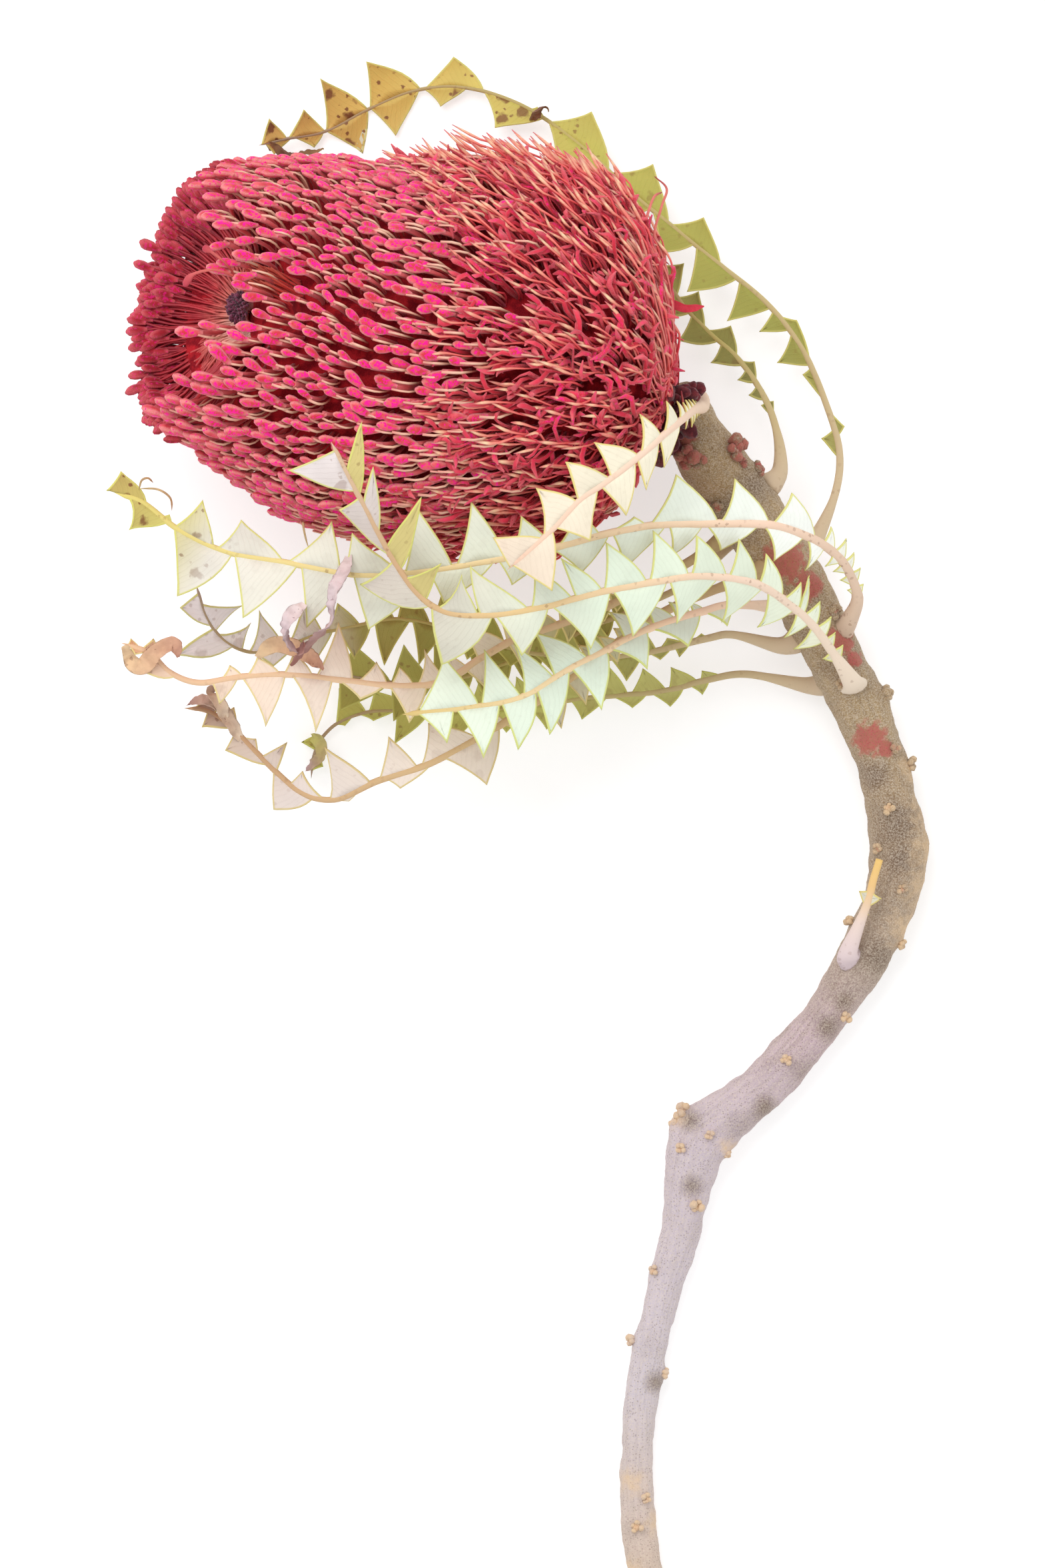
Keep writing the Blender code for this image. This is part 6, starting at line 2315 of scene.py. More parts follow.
@dataclass(frozen=True)
class Curls:
    """Dried ribbons, threads or stray styles that are placed one by one."""

    name: str
    node: str
    width: float
    paths: tuple[tuple[Point, ...], ...]
    stops: Stops
    shade: Colour = rgb(110, 60, 60)
    turn: float = 0.0
    twist: float = 0.0
    flatness: float = 0.22
    curl: float = 0.0
    crumple: float = 0.0
    widths: Table = ((0, 0.35), (0.15, 0.85), (0.5, 1.0), (0.85, 0.8), (1, 0.15))

    def seat(self, points: Array) -> Array:
        """Draws the root of each curl onto the leaf or the curl that carries it.

        Args:
            points: The curls' paths in drawn millimetres.

        Returns:
            The paths, with their roots seated and their free ends where they were.
        """
        blade = bpy.data.objects.get(self.node + "_blade")
        if blade is None:
            return points
        flat = np.empty(len(blade.data.vertices) * 3, np.float32)
        blade.data.vertices.foreach_get("co", flat)
        carrier = flat.reshape(-1, 3).astype(float)
        points = points.copy()
        fall = (1 - np.linspace(0.0, 1.0, points.shape[1]))[:, None] ** 2
        for k in range(len(points)):
            root = to_world(points[k, 0])
            nearest = carrier[((carrier - root) ** 2).sum(axis=1).argmin()]
            points[k] += (nearest - root) / MM * fall
            carrier = np.concatenate([carrier, to_world(points[k])])
        return points

    def build(self, shop: Workshop) -> None:
        """Sweeps the curls and keeps them as one piece.

        Args:
            shop: The shared tools.
        """
        count = 56
        t = np.linspace(0.0, 1.0, count)
        points = np.concatenate([smooth_paths(np.array(path, float)[None], count)
                                 for path in self.paths])
        points = self.seat(points)
        along = unit(np.gradient(points, axis=1))
        side = unit(np.cross(along, UP))
        face = np.cross(side, along)
        angle = np.radians(self.turn + self.twist * t)[None, :, None]
        lift = face * np.cos(angle) + side * np.sin(angle)
        breadth = np.broadcast_to(self.width * read_table(self.widths, t), points.shape[:2])
        paths = Paths(points, breadth, lift,
                      {"along": np.broadcast_to(t, points.shape[:2]),
                       "tint": np.full(points.shape[:2], 0.4)})
        obj = paths.to_object(self.name)
        finish = StrandFinish(self.name + "_look", roughness=0.7, stops=self.stops,
                              shade=self.shade, shade_share=0.3)
        made = finish.material(shop.effects)
        shop.sweep.apply(obj, made, sides=12, flatness=self.flatness, curl=self.curl,
                         fuzz=0.0, fuzz_size=0.001, seed=31)
        shop.weather.apply(obj, made, wave=self.crumple, wave_size=0.0032,
                           grain=self.crumple * 0.3, grain_size=0.0012, seed=33)
        shop.keep(obj, self.node)


LILAC = ((0.0, rgb(238, 220, 216)), (0.4, rgb(222, 202, 206)), (0.7, rgb(206, 168, 160)),
         (1.0, rgb(170, 112, 96)))
RUST = ((0.0, rgb(236, 204, 162)), (0.5, rgb(226, 184, 148)), (1.0, rgb(206, 152, 130)))
CURLS: tuple[Curls, ...] = (
    Curls("dried_strip", "leaf_upper", 2.6,
          (((-38.1, 67.4, 74.0), (-40.1, 61.9, 80.0), (-42.6, 56.3, 82.0), (-43.5, 50.8, 80.0),
            (-46.1, 47.7, 76.0), (-49.7, 43.8, 70.0), (-53.6, 39.5, 66.0)),
           ((-51.2, 53.2, 78.0), (-54.3, 50.0, 79.0), (-54.7, 46.4, 77.0), (-52.2, 43.7, 74.0),
            (-50.6, 45.8, 76.0))),
          LILAC, turn=25.0, twist=110.0, flatness=0.08, curl=0.4, crumple=0.004),
    Curls("leaf_threads", "leaf_upper", 0.28,
          (((-89.8, 81.4, 83.0), (-88.9, 83.6, 88.0), (-87.3, 84.2, 89.0), (-86.1, 83.2, 88.0)),
           ((-85.2, 84.2, 82.0), (-83.2, 82.6, 88.0), (-81.7, 79.9, 87.0), (-81.8, 76.7, 84.0)),
           ((-53.7, 74.2, 78.0), (-51.7, 74.8, 82.0), (-50.2, 73.3, 80.0))),
          ((0.0, rgb(214, 190, 140)), (1.0, rgb(176, 120, 80))), flatness=1.0),
    Curls("cream_leaf_curls", "leaf_cream", 2.2,
          (((-62.2, 43.9, 58.0), (-58.2, 46.0, 60.0), (-53.4, 44.7, 61.0), (-49.9, 42.3, 59.0),
            (-46.3, 39.1, 57.0)),
           ((-96.5, 40.5, 62.5), (-93.5, 37.7, 61.0), (-90.0, 38.5, 62.0), (-86.5, 42.5, 64.0),
            (-82.2, 44.9, 65.0), (-80.9, 42.0, 63.0))),
          RUST, turn=20.0, twist=-60.0, flatness=0.08, curl=0.35, crumple=0.0035),
    Curls("tan_tip_folds", "leaf_tan", 2.3,
          (((-67.0, 22.5, 27.5), (-69.5, 26.5, 29.0), (-73.0, 30.5, 29.5), (-76.5, 31.5, 28.5),
            (-80.0, 30.8, 27.0)),
           ((-70.0, 27.5, 29.5), (-72.5, 31.5, 31.0), (-74.0, 34.0, 30.0), (-72.0, 34.8, 28.0))),
          ((0.0, rgb(234, 214, 192)), (0.5, rgb(214, 184, 160)), (1.0, rgb(170, 126, 116))),
          turn=20.0, twist=50.0, flatness=0.08, curl=0.5, crumple=0.003),
    Curls("olive_tip_curl", "leaf_green_lower", 2.0,
          (((-50.5, 24.7, 2.5), (-47.9, 22.8, 6.5), (-47.2, 19.2, 8.0), (-49.2, 16.4, 6.5),
            (-51.5, 15.1, 3.5)),),
          ((0.0, rgb(196, 190, 104)), (0.6, rgb(196, 176, 128)), (1.0, rgb(196, 164, 168))),
          turn=20.0, twist=40.0, flatness=0.1, curl=0.5, crumple=0.0025),
    Curls("top_tip_curls", "leaf_top_arc", 1.7,
          (((4.0, 173.2, 7.0), (5.0, 175.3, 10.0), (6.6, 176.6, 9.0), (7.9, 175.8, 7.0)),
           ((-63.7, 168.1, 4.0), (-59.3, 166.7, 6.0), (-53.6, 165.8, 5.0), (-47.0, 166.5, 4.0))),
          ((0.0, rgb(150, 116, 76)), (0.5, rgb(120, 84, 60)), (1.0, rgb(176, 146, 84))),
          turn=30.0, twist=80.0, flatness=0.1, curl=0.5, crumple=0.004),
    Curls("stray_styles", "flower_head", 0.34,
          (((35.0, 128.0, 55.0), (35.5, 138.5, 58.0), (33.0, 143.0, 58.0), (34.8, 150.2, 57.0),
            (36.0, 154.5, 54.0), (33.2, 157.5, 52.0)),
           ((30.0, 143.0, 60.0), (31.6, 148.8, 60.0), (33.0, 152.4, 58.0), (34.8, 153.6, 55.0)),
           ((36.4, 104.0, 50.0), (38.5, 98.0, 52.0), (40.0, 101.5, 54.0), (39.5, 106.0, 55.0))),
          ((0.0, rgb(230, 130, 124)), (0.7, rgb(224, 130, 116)), (1.0, rgb(150, 60, 70))),
          flatness=1.0, shade=rgb(170, 40, 60), widths=((0, 1), (0.8, 0.9), (1, 0.4))),
    Curls("stray_strip", "flower_head", 1.1,
          (((33.0, 125.0, 56.0), (36.5, 126.8, 58.0), (40.5, 125.6, 58.0), (45.0, 126.2, 57.0)),),
          ((0.0, rgb(206, 50, 70)), (1.0, rgb(214, 60, 78))), flatness=0.2, curl=0.5,
          crumple=0.003, shade=rgb(150, 20, 40)),
    Curls("bent_florets", "flower_head", 0.75,
          (((-62.5, 127.5, 92.0), (-66.5, 131.5, 99.0), (-71.3, 133.0, 102.0),
            (-76.2, 132.0, 102.5), (-78.4, 129.4, 100.5)),
           ((-64.5, 129.5, 92.0), (-68.5, 134.5, 99.0), (-71.5, 137.0, 101.0),
            (-74.0, 138.5, 101.0))),
          ((0.0, rgb(206, 70, 66)), (0.6, rgb(214, 108, 100)), (1.0, rgb(196, 62, 84))),
          flatness=0.9, shade=rgb(140, 24, 40), crumple=0.0006,
          widths=((0, 0.34), (0.5, 0.4), (0.74, 0.5), (0.86, 1.25), (0.96, 1.1), (1, 0.5))),
)

GREEN_BACK = rgb(214, 214, 188)
OLIVE_BACK = rgb(158, 156, 82)
PALE_RIB = ((0.0, rgb(226, 202, 182)), (0.3, rgb(240, 206, 180)), (0.7, rgb(236, 212, 166)),
            (1.0, rgb(214, 188, 122)))
GREEN_RIB = ((0.0, rgb(206, 184, 156)), (0.2, rgb(196, 176, 132)), (0.6, rgb(184, 170, 100)),
             (0.85, rgb(170, 146, 104)), (1.0, rgb(160, 136, 116)))

LEAF_FINISHES: dict[str, LeafFinish] = {
    "leaf_top_arc": LeafFinish(
        "olive_spotted_leaf", roughness=0.55, front=(
            (0.0, rgb(158, 148, 92)), (0.3, rgb(160, 160, 78)), (0.55, rgb(180, 176, 84)),
            (0.7, rgb(200, 184, 94)), (0.85, rgb(208, 176, 92)), (1.0, rgb(206, 168, 96))),
        back=GREEN_BACK, rib=GREEN_RIB, margin=rgb(204, 196, 110),
        spots=((0.0, 0.1), (0.45, 0.25), (0.7, 0.85), (1.0, 0.95))),
    "leaf_side_arc": LeafFinish(
        "dull_olive_leaf", roughness=0.6, front=(
            (0.0, rgb(140, 128, 84)), (0.4, rgb(132, 128, 66)), (0.7, rgb(146, 142, 72)),
            (1.0, rgb(166, 162, 86))),
        back=GREEN_BACK, rib=GREEN_RIB, margin=rgb(190, 182, 104),
        spots=((0.0, 0.2), (1.0, 0.5))),
    "leaf_short": LeafFinish(
        "cream_short_leaf", front=(
            (0.0, rgb(232, 214, 178)), (0.3, rgb(242, 236, 212)), (0.7, rgb(234, 225, 202)),
            (1.0, rgb(228, 210, 190))),
        back=OLIVE_BACK, rib=((0.0, rgb(228, 202, 178)), (0.5, rgb(238, 208, 186)),
                              (1.0, rgb(232, 196, 172))),
        margin=rgb(222, 206, 118), spots=((0.0, 0.02), (1.0, 0.05)), fleck=0.1),
    "leaf_upper": LeafFinish(
        "bleached_upper_leaf", front=(
            (0.0, rgb(226, 222, 196)), (0.16, rgb(248, 250, 244)), (0.4, rgb(230, 238, 222)),
            (0.62, rgb(224, 226, 208)), (0.88, rgb(226, 220, 208)), (0.94, rgb(206, 194, 112)),
            (1.0, rgb(186, 166, 96))),
        back=OLIVE_BACK, rib=((0.0, rgb(208, 184, 162)), (0.25, rgb(240, 208, 184)),
                              (0.6, rgb(234, 210, 160)), (1.0, rgb(220, 204, 116))),
        margin=rgb(214, 210, 112),
        spots=((0.0, 0.02), (0.85, 0.05), (0.93, 0.8), (1.0, 0.9)), fleck=0.45),
    "leaf_middle": LeafFinish(
        "mint_middle_leaf", front=(
            (0.0, rgb(222, 206, 172)), (0.15, rgb(232, 238, 216)), (0.5, rgb(222, 234, 214)),
            (0.72, rgb(214, 208, 192)), (0.85, rgb(206, 192, 182)), (1.0, rgb(226, 216, 214))),
        back=rgb(208, 192, 126), rib=((0.0, rgb(226, 210, 190)), (0.3, rgb(240, 212, 190)),
                              (0.6, rgb(226, 196, 142)), (0.8, rgb(206, 168, 128)),
                              (1.0, rgb(212, 182, 150))),
        margin=rgb(212, 212, 116),
        spots=((0.0, 0.0), (0.72, 0.04), (0.86, 0.25), (1.0, 0.4)), fleck=0.4),
    "leaf_lower_mid": LeafFinish(
        "mint_lower_leaf", front=(
            (0.0, rgb(206, 198, 160)), (0.3, rgb(216, 222, 206)), (0.6, rgb(220, 234, 216)),
            (1.0, rgb(224, 232, 214))),
        back=OLIVE_BACK, rib=PALE_RIB, margin=rgb(208, 212, 110),
        spots=((0.0, 0.02), (1.0, 0.05)), fleck=0.35),
    "leaf_green_upper": LeafFinish(
        "olive_grey_leaf", roughness=0.6, front=(
            (0.0, rgb(150, 134, 100)), (0.2, rgb(166, 162, 92)), (0.5, rgb(172, 170, 84)),
            (0.68, rgb(164, 154, 84)), (0.78, rgb(228, 218, 214)), (1.0, rgb(222, 210, 210))),
        back=GREEN_BACK, rib=GREEN_RIB, margin=rgb(196, 188, 100),
        spots=((0.0, 0.1), (0.5, 0.4), (0.8, 0.25), (1.0, 0.3))),
    "leaf_green_lower": LeafFinish(
        "olive_lower_leaf", roughness=0.6, front=(
            (0.0, rgb(168, 154, 122)), (0.2, rgb(190, 186, 116)), (0.6, rgb(196, 194, 106)),
            (1.0, rgb(176, 166, 80))),
        back=GREEN_BACK, rib=GREEN_RIB, margin=rgb(198, 198, 104),
        spots=((0.0, 0.05), (0.6, 0.3), (1.0, 0.7))),
    "leaf_tan": LeafFinish(
        "tan_dried_leaf", front=(
            (0.0, rgb(156, 148, 90)), (0.3, rgb(198, 192, 158)), (0.5, rgb(230, 216, 200)),
            (0.8, rgb(224, 210, 202)), (0.93, rgb(206, 184, 166)), (1.0, rgb(164, 124, 100))),
        back=OLIVE_BACK, rib=((0.0, rgb(186, 160, 120)), (0.5, rgb(212, 182, 136)),
                              (1.0, rgb(190, 150, 116))),
        margin=rgb(212, 190, 122), spots=((0.0, 0.1), (0.8, 0.12), (1.0, 0.7))),
    "leaf_cream": LeafFinish(
        "pinkish_cream_leaf", front=(
            (0.0, rgb(160, 150, 96)), (0.3, rgb(170, 162, 96)), (0.42, rgb(228, 216, 196)),
            (0.7, rgb(240, 222, 206)), (0.92, rgb(234, 206, 182)), (1.0, rgb(206, 148, 106))),
        back=OLIVE_BACK, rib=((0.0, rgb(180, 156, 110)), (0.5, rgb(232, 200, 164)),
                              (1.0, rgb(226, 186, 150))),
        margin=rgb(226, 206, 138), spots=((0.0, 0.1), (0.8, 0.05), (1.0, 0.5))),
    "leaf_hidden": LeafFinish(
        "deep_olive_leaf", roughness=0.6, front=(
            (0.0, rgb(146, 134, 88)), (0.4, rgb(160, 156, 80)), (1.0, rgb(166, 156, 78))),
        back=GREEN_BACK, rib=GREEN_RIB, margin=rgb(186, 180, 92),
        spots=((0.0, 0.2), (1.0, 0.5))),
    "leaf_stub": LeafFinish(
        "tan_stub_leaf", front=(
            (0.0, rgb(214, 206, 196)), (0.5, rgb(208, 206, 190)), (1.0, rgb(214, 206, 180))),
        back=OLIVE_BACK, rib=((0.0, rgb(214, 196, 200)), (0.4, rgb(222, 202, 192)),
                              (0.75, rgb(226, 188, 130)), (1.0, rgb(228, 190, 116))),
        margin=rgb(214, 196, 112), spots=((0.0, 0.02), (1.0, 0.2))),
}


@dataclass
class Stem:
    """The bent woody stem with its felted bark, buds, scars and plain cut end."""

    shop: Workshop
    head: HeadForm = HeadForm()
    node: str = "flower_stem"
    # Centre line with radii: x, y, z, radius.
    rows: tuple[Row, ...] = (
        (37.8, 105.0, 33.0, 5.8), (40.6, 101.0, 30.6, 6.2), (43.9, 95.5, 28.0, 6.6),
        (47.6, 89.0, 25.2, 7.8), (55.6, 78.0, 21.2, 7.8), (65.5, 64.5, 17.5, 7.2),
        (74.0, 49.0, 14.2, 6.7),
        (82.5, 32.5, 11.2, 6.7), (87.0, 22.5, 9.6, 5.9), (89.5, 14.0, 8.8, 6.1),
        (92.0, 3.0, 8.4, 6.5), (93.0, -6.5, 8.2, 6.8), (90.5, -17.5, 8.0, 6.4),
        (83.5, -31.5, 7.6, 5.9), (74.5, -45.5, 7.0, 5.3), (60.0, -62.0, 7.0, 5.7),
        (46.5, -73.0, 7.6, 6.8), (42.5, -82.0, 7.0, 6.2), (40.0, -97.0, 5.8, 4.7),
        (35.5, -113.0, 5.2, 4.1), (31.0, -134.0, 4.8, 3.9), (29.5, -149.5, 4.4, 3.9),
        (29.5, -165.5, 4.2, 4.0), (31.0, -177.0, 4.3, 4.2), (32.5, -188.5, 4.2, 4.2))
    # Buds, knobs and scars as seen from above: x, y, size.
    buds: tuple[Point, ...] = (
        (50.6, 94.3, 3.3), (40.9, 93.9, 3.2), (43.0, 92.7, 2.2), (57.0, 88.2, 2.2),
        (53.0, 90.7, 1.5), (45.7, 80.9, 1.7), (48.0, 80.7, 1.7), (75.8, 54.5, 2.2),
        (78.7, 37.4, 1.7), (88.5, 33.9, 2.2), (91.3, 20.6, 1.6), (95.2, 16.4, 1.9),
        (90.5, 6.2, 1.5), (88.5, -3.7, 1.5), (93.5, -13.6, 1.5), (81.5, -21.5, 1.5),
        (92.9, -27.1, 1.5), (79.7, -44.2, 1.6), (65.8, -55.2, 1.5), (40.1, -67.3, 2.3),
        (37.8, -69.9, 2.0), (46.6, -73.7, 1.3), (40.5, -76.5, 1.5), (50.6, -77.8, 1.4),
        (43.3, -90.6, 1.8), (34.0, -106.6, 1.5), (27.2, -123.5, 1.7), (36.7, -132.1, 1.5),
        (31.1, -162.2, 1.5), (29.3, -168.9, 1.6))
    # Red dye: x, y and radius of the patches seen from above.
    dyed: tuple[Point, ...] = (
        (39.5, 95.5, 5.0), (65.0, 66.0, 7.0), (70.5, 60.0, 4.6), (78.5, 46.5, 4.2),
        (82.0, 42.0, 2.6), (86.0, 22.8, 5.2), (89.5, 20.4, 2.6))
    stained: tuple[Point, ...] = (
        (58.0, 84.0, 5.0), (52.0, 78.0, 5.0), (92.0, 3.0, 6.0), (93.5, -7.0, 5.0),
        (88.0, -30.0, 4.0), (87.5, 14.0, 4.0), (42.0, -70.0, 3.0), (34.0, -134.0, 3.0),
        (75.5, -47.5, 3.4), (79.5, -41.0, 2.8), (60.5, -67.0, 3.2), (42.6, -86.0, 3.0))
    rusty: tuple[Point, ...] = (
        (102.0, 6.0, 8.0), (102.5, -4.0, 8.0), (100.5, -14.0, 8.0), (96.0, -24.0, 7.0),
        (98.0, 16.0, 6.0), (38.0, -69.0, 3.6), (51.5, -76.5, 3.0), (28.0, -158.0, 4.0),
        (34.5, -168.0, 4.0), (27.0, -180.0, 4.0))
    rings: int = 640
    sides: int = 44
    # Waves in the radius: size, phase per mm along, phase per radian round, start.
    waves: tuple[Row, ...] = ((0.035, 0.21, 2, 0.0), (0.025, 0.37, -3, 0.0),
                              (0.02, 0.9, 5, 1.0))
    groove: float = 0.035
    bud_scales: int = 9

    def line(self) -> tuple[Array, Array, Array]:
        """Draws the centre line evenly.

        Returns:
            Its points, the places along it and the radii, one for each ring.
        """
        rows = np.array(self.rows)
        dense = smooth_paths(rows[None], 4000)[0]
        gaps = np.linalg.norm(np.diff(dense[:, :3], axis=0), axis=1)
        places = np.concatenate([[0.0], np.cumsum(gaps)])
        wanted = np.linspace(0.0, places[-1], self.rings)
        found = np.stack([np.interp(wanted, places, dense[:, k]) for k in range(4)], axis=1)
        return found[:, :3], wanted, found[:, 3]

    def frames(self, centres: Array) -> tuple[Array, Array, Array]:
        """Works out the directions of the centre line.

        Args:
            centres: Its points.

        Returns:
            The along, side and raised directions.
        """
        along = unit(np.gradient(centres, axis=0))
        across = unit(np.cross(along, UP))
        return along, -across, np.cross(across, along)

    def bud_places(self, centres: Array, radii: Array) -> tuple[Array, Array, Array, Array]:
        """Finds where the buds stand on the stem.

        Args:
            centres: The centre line's points.
            radii: The radii there.

        Returns:
            The buds' ring numbers, angles, sizes and outward directions.
        """
        _, side, up = self.frames(centres)
        table = np.array(self.buds)
        apart = table[:, None, :2] - centres[None, :, :2]
        ring = (apart ** 2).sum(axis=-1).argmin(axis=1)
        across = (table[:, :2] - centres[ring, :2]) * side[ring, :2]
        angle = np.arccos(np.clip(across.sum(axis=1) / radii[ring], -0.97, 0.97))
        out = np.cos(angle)[:, None] * side[ring] + np.sin(angle)[:, None] * up[ring]
        return ring, angle, table[:, 2], out

    def seen_mask(self, points: Array, spots: tuple[Point, ...]) -> Array:
        """Tells how much each point lies in the given patches.

        Args:
            points: The points in drawn millimetres.
            spots: The patches' x, y and radius.

        Returns:
            A value from 0 to 1 for each point.
        """
        mask = np.zeros(points.shape[:-1])
        for x, y, radius in spots:
            reach = np.hypot(points[..., 0] - x, points[..., 1] - y) / radius
            mask = np.maximum(mask, np.clip(1.25 - reach, 0.0, 1.0))
        return mask

    def build_body(self) -> None:
        """Makes the stem's surface with swellings under its buds."""
        centres, places, radii = self.line()
        _, side, up = self.frames(centres)
        angle = 2 * math.pi * np.arange(self.sides) / self.sides
        swell = np.ones((self.rings, self.sides))
        for size, rise, round_rise, start in self.waves:
            swell += size * np.sin(rise * places[:, None] + round_rise * angle + start)
        swell += self.groove * np.abs(np.sin(2.5 * angle + 0.03 * places[:, None]))
        radius = radii[:, None] * swell
        ring, turn, size, _ = self.bud_places(centres, radii)
        for k, at in enumerate(ring):
            apart = (places - places[at])[:, None] / (size[k] * 1.5)
            round_it = (angle[None, :] - turn[k] + math.pi) % (2 * math.pi) - math.pi
            wide = round_it * radii[at] / (size[k] * 1.35)
            radius = radius + size[k] * 0.42 * np.exp(-(apart ** 2 + wide ** 2))
        way = np.cos(angle)[None, :, None] * side[:, None] + np.sin(angle)[None, :, None] \
            * up[:, None]
        points = centres[:, None] + way * radius[..., None]
        first = np.broadcast_to(centres[:1, None], (1, self.sides, 3)).copy()
        last = np.broadcast_to(centres[-1:, None], (1, self.sides, 3)).copy()
        points = np.concatenate([first + way[:1] * 0.05, points, last + way[-1:] * 0.05])
        way = np.concatenate([way[:1], way, way[-1:]])
        points[..., 2] = np.maximum(points[..., 2], TABLE_CLEARANCE)
        down = np.concatenate([[0.0], places / places[-1], [1.0]])
        grid = points.shape[:2]
        values = {"lift": way.reshape(-1, 3),
                  "down": np.broadcast_to(down[:, None], grid).ravel(),
                  "dye": self.seen_mask(points, self.dyed).ravel(),
                  "stain": self.seen_mask(points, self.stained).ravel(),
                  "rust": self.seen_mask(points, self.rusty).ravel() * 0.75,
                  "wrap": np.stack([np.broadcast_to(np.cos(angle) * 6, grid),
                                    np.broadcast_to(np.sin(angle) * 6, grid),
                                    np.broadcast_to(down[:, None] * 26, grid)],
                                   axis=-1).reshape(-1, 3)}
        obj = mesh_object("stem_bark", points.reshape(-1, 3), ring_quads(*grid), values)
        self.shop.weather.apply(obj, self.bark, wave=0.0011, wave_size=0.006, grain=0.0005,
                                grain_size=0.0012, seed=21)
        self.shop.keep(obj, self.node)

    def build_buds(self) -> None:
        """Makes the scaly buds and knobs on the swellings."""
        rng = np.random.default_rng(23)
        centres, _, radii = self.line()
        along, _, _ = self.frames(centres)
        ring, _, size, out = self.bud_places(centres, radii)
        base, aim, lift, scale, middles, tones = [], [], [], [], [], []
        for k, at in enumerate(ring):
            tone = rng.uniform(0.0, 1.0)
            middle = centres[at] + out[k] * (radii[at] + size[k] * 0.15)
            side = np.cross(along[at], out[k])
            for j in range(self.bud_scales):
                turn = 2 * math.pi * (j + rng.uniform(-0.2, 0.2)) / self.bud_scales
                ring_way = along[at] * math.cos(turn) + side * math.sin(turn)
                spread = 0.52 if j % 2 else 0.2
                middles.append(0.0 if j % 2 else 1.0)
                tones.append(tone)
                base.append(middle + ring_way * size[k] * spread)
                aim.append(unit(out[k] + ring_way * rng.uniform(-0.1, 0.35)))
                lift.append(unit(ring_way))
                scale.append(size[k] * rng.uniform(0.8, 1.2) * (1.0 if j % 2 else 0.8))
        base = np.array(base)
        inner, tone, height = np.array(middles), np.array(tones), base[:, 1]
        dye = self.seen_mask(base, self.dyed) * 0.6 + np.clip((height - 50.0) / 110.0, 0.0, 1.0)
        values = {"aim": np.array(aim), "lift": np.array(lift), "size": np.array(scale),
                  "tint": rng.uniform(0, 1, len(base)), "wrap": base * 0.4,
                  "down": np.clip((107.0 - height) / 296.0, 0, 1),
                  "dye": np.clip(dye + 0.3 * tone + 0.35 * inner, 0.0, 0.7),
                  "stain": np.clip(height / 160.0 + 0.5 * inner, 0.1, 0.7),
                  "rust": np.clip(0.95 - 0.4 * tone - height / 110.0, 0.1, 0.9)}
        obj = point_object("stem_buds", base, values)
        self.shop.scatter.apply(obj, self.bark, length=0.00105, width=0.00048, flatness=0.85,
                                rings=6, sides=7, size_spread=0.15, fuzz=0.0003,
                                fuzz_size=0.0007, seed=25)
        self.shop.keep(obj, self.node)

    def build(self) -> None:
        """Makes the whole stem."""
        finish = BarkFinish("felted_bark", roughness=0.9, sheen=0.25,
                            sheen_tint=rgb(240, 225, 205), bump=0.8, bump_depth=0.0003,
                            stops=((0.0, rgb(158, 130, 88)), (0.25, rgb(164, 138, 98)),
                                   (0.38, rgb(148, 124, 96)), (0.47, rgb(158, 138, 122)),
                                   (0.54, rgb(190, 166, 176)), (0.66, rgb(200, 186, 198)),
                                   (0.84, rgb(202, 192, 202)), (1.0, rgb(204, 178, 156))))
        self.bark = finish.material(self.shop.effects)
        self.build_body()
        self.build_buds()


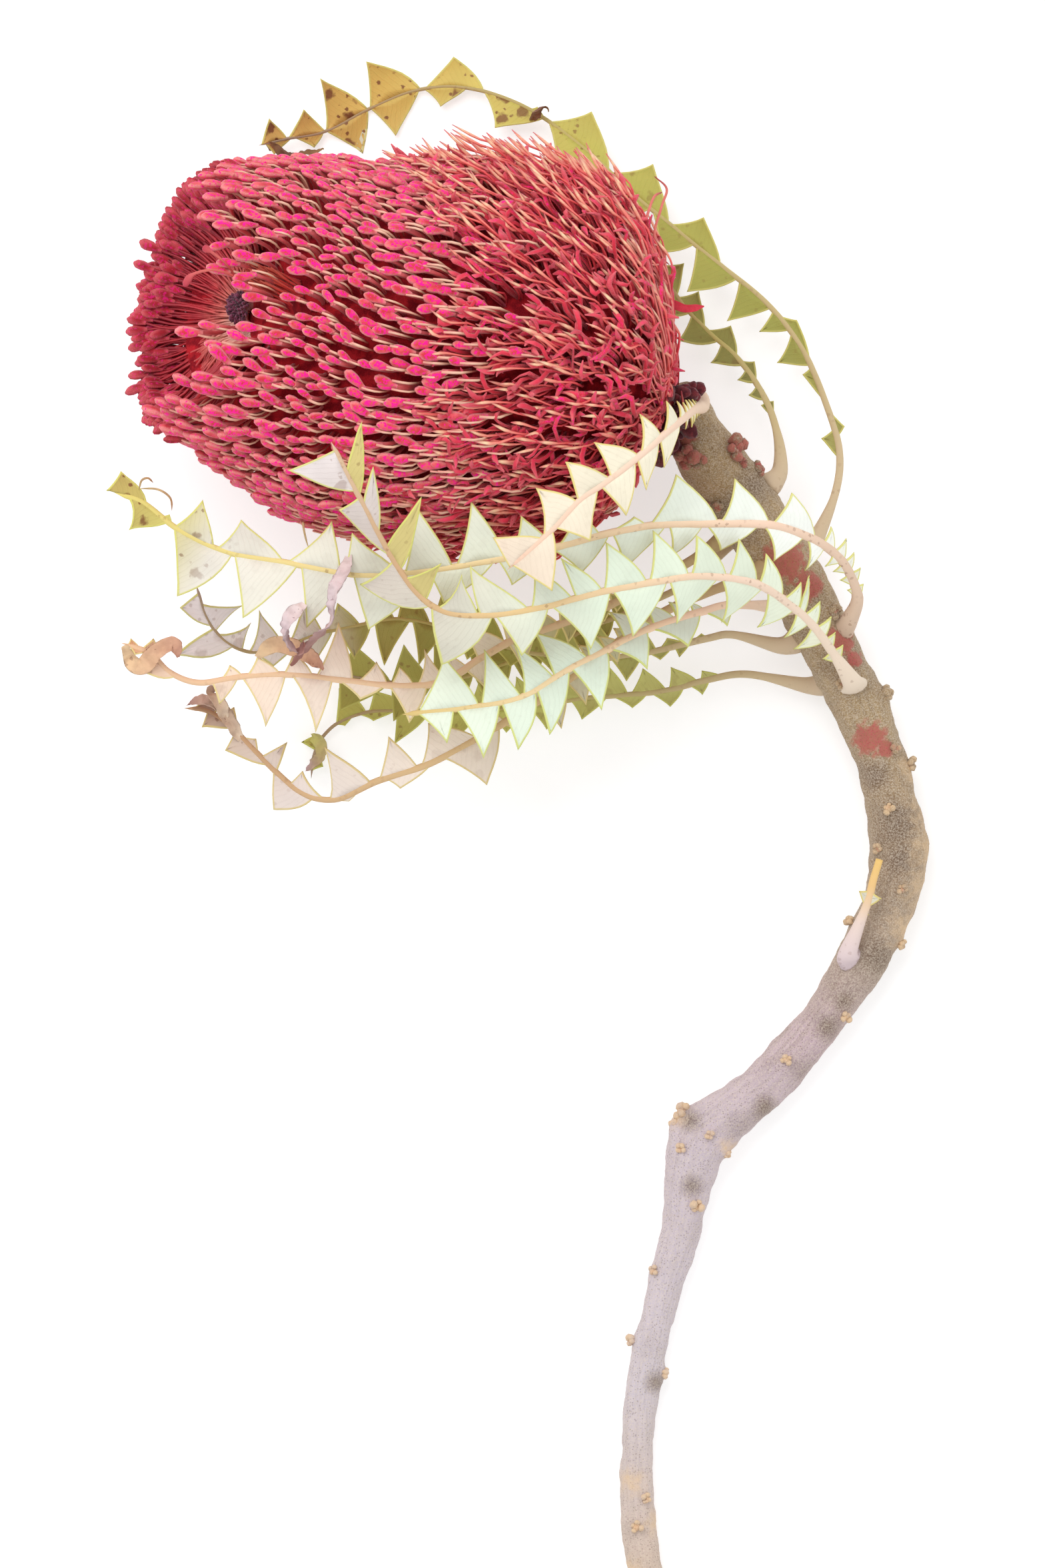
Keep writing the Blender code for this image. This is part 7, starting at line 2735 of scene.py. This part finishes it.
@dataclass
class Studio:
    """The pale table, the soft lights and the camera straight above the flower."""

    shop: Workshop
    centre: Point = (0.00094, 0.00966, 3.05)
    # What the photograph takes in from top to bottom, at this height above the table.
    view_height: float = 0.37648
    sharp_height: float = 0.05
    sensor: float = 24.0
    lit_point: Point = (0.0, 0.03, 0.04)
    clip_end: float = 20.0
    # Lights: name, place in metres, power in watts and side in metres.
    lights: tuple[tuple[str, Point, float, float], ...] = (
        ("key_light", (-0.7, 1.1, 1.9), 28.0, 1.5),
        ("fill_light", (1.2, -0.8, 1.6), 8.0, 2.0))
    sky_strength: float = 0.76
    # Half of the table's side in metres, and its depth under the flower in millimetres.
    table_half: float = 2.5
    table_depth: float = 0.05

    def build_camera(self) -> None:
        """Makes the camera that frames the flower as the photograph does."""
        data = bpy.data.cameras.new("camera")
        data.sensor_fit = "VERTICAL"
        data.sensor_height = self.sensor
        data.lens = self.sensor * (self.centre[2] - self.sharp_height) / self.view_height
        data.clip_end = self.clip_end
        obj = place_object("camera", data)
        obj.location = self.centre
        bpy.context.scene.camera = obj

    def build_light(self, name: str, place: Point, power: float, size: float) -> None:
        """Makes a soft square light that points at the flower.

        Args:
            name: The light's name.
            place: Where it stands, in metres.
            power: Its power in watts.
            size: Its side in metres.
        """
        data = bpy.data.lights.new(name, "AREA")
        data.energy = power
        data.size = size
        obj = place_object(name, data)
        obj.location = place
        x, y, z = np.array(self.lit_point) - np.array(place)
        obj.rotation_euler = (math.atan2(math.hypot(x, y), -z), 0.0, math.atan2(-x, y))

    def build(self) -> None:
        """Makes table, lights, surroundings and camera."""
        half = self.table_half
        corners = np.array([(-half, -half, 0), (half, -half, 0), (half, half, 0),
                            (-half, half, 0)]) / MM - SHIFT
        corners[:, 2] = -self.table_depth
        table = mesh_object("table_top", corners, np.array([[0, 1, 2, 3]]), {})
        finish = TableFinish("pale_table", roughness=0.9, specular=0.1, bump=0.0, glow=0.5)
        table.data.materials.append(finish.material(self.shop.effects))
        self.build_camera()
        for name, place, power, size in self.lights:
            self.build_light(name, place, power, size)
        world = bpy.data.worlds.new("studio")
        world.use_nodes = True
        back = world.node_tree.nodes["Background"]
        back.inputs["Color"].default_value = WHITE
        back.inputs["Strength"].default_value = self.sky_strength
        bpy.context.scene.world = world
        bpy.context.scene.view_settings.view_transform = "Standard"


def build_leaves(shop: Workshop, seed: int = 11) -> None:
    """Makes every leaf and what has dried and curled on them.

    Args:
        shop: The shared tools.
        seed: The seed of the first leaf, which the CAD leaves share.
    """
    for order, shape in enumerate(LEAF_SHAPES):
        Leaf(shop, shape, LEAF_FINISHES[shape.name], seed + order).build()
    for curl in CURLS:
        curl.build(shop)


def main() -> None:
    """Builds every sub-assembly and the studio."""
    logging.basicConfig(level=logging.INFO, format="%(message)s")
    shop = Workshop()
    Studio(shop).build()
    Stem(shop).build()
    build_leaves(shop)
    FlowerHead(shop).build()


if __name__ == "__main__":
    main()
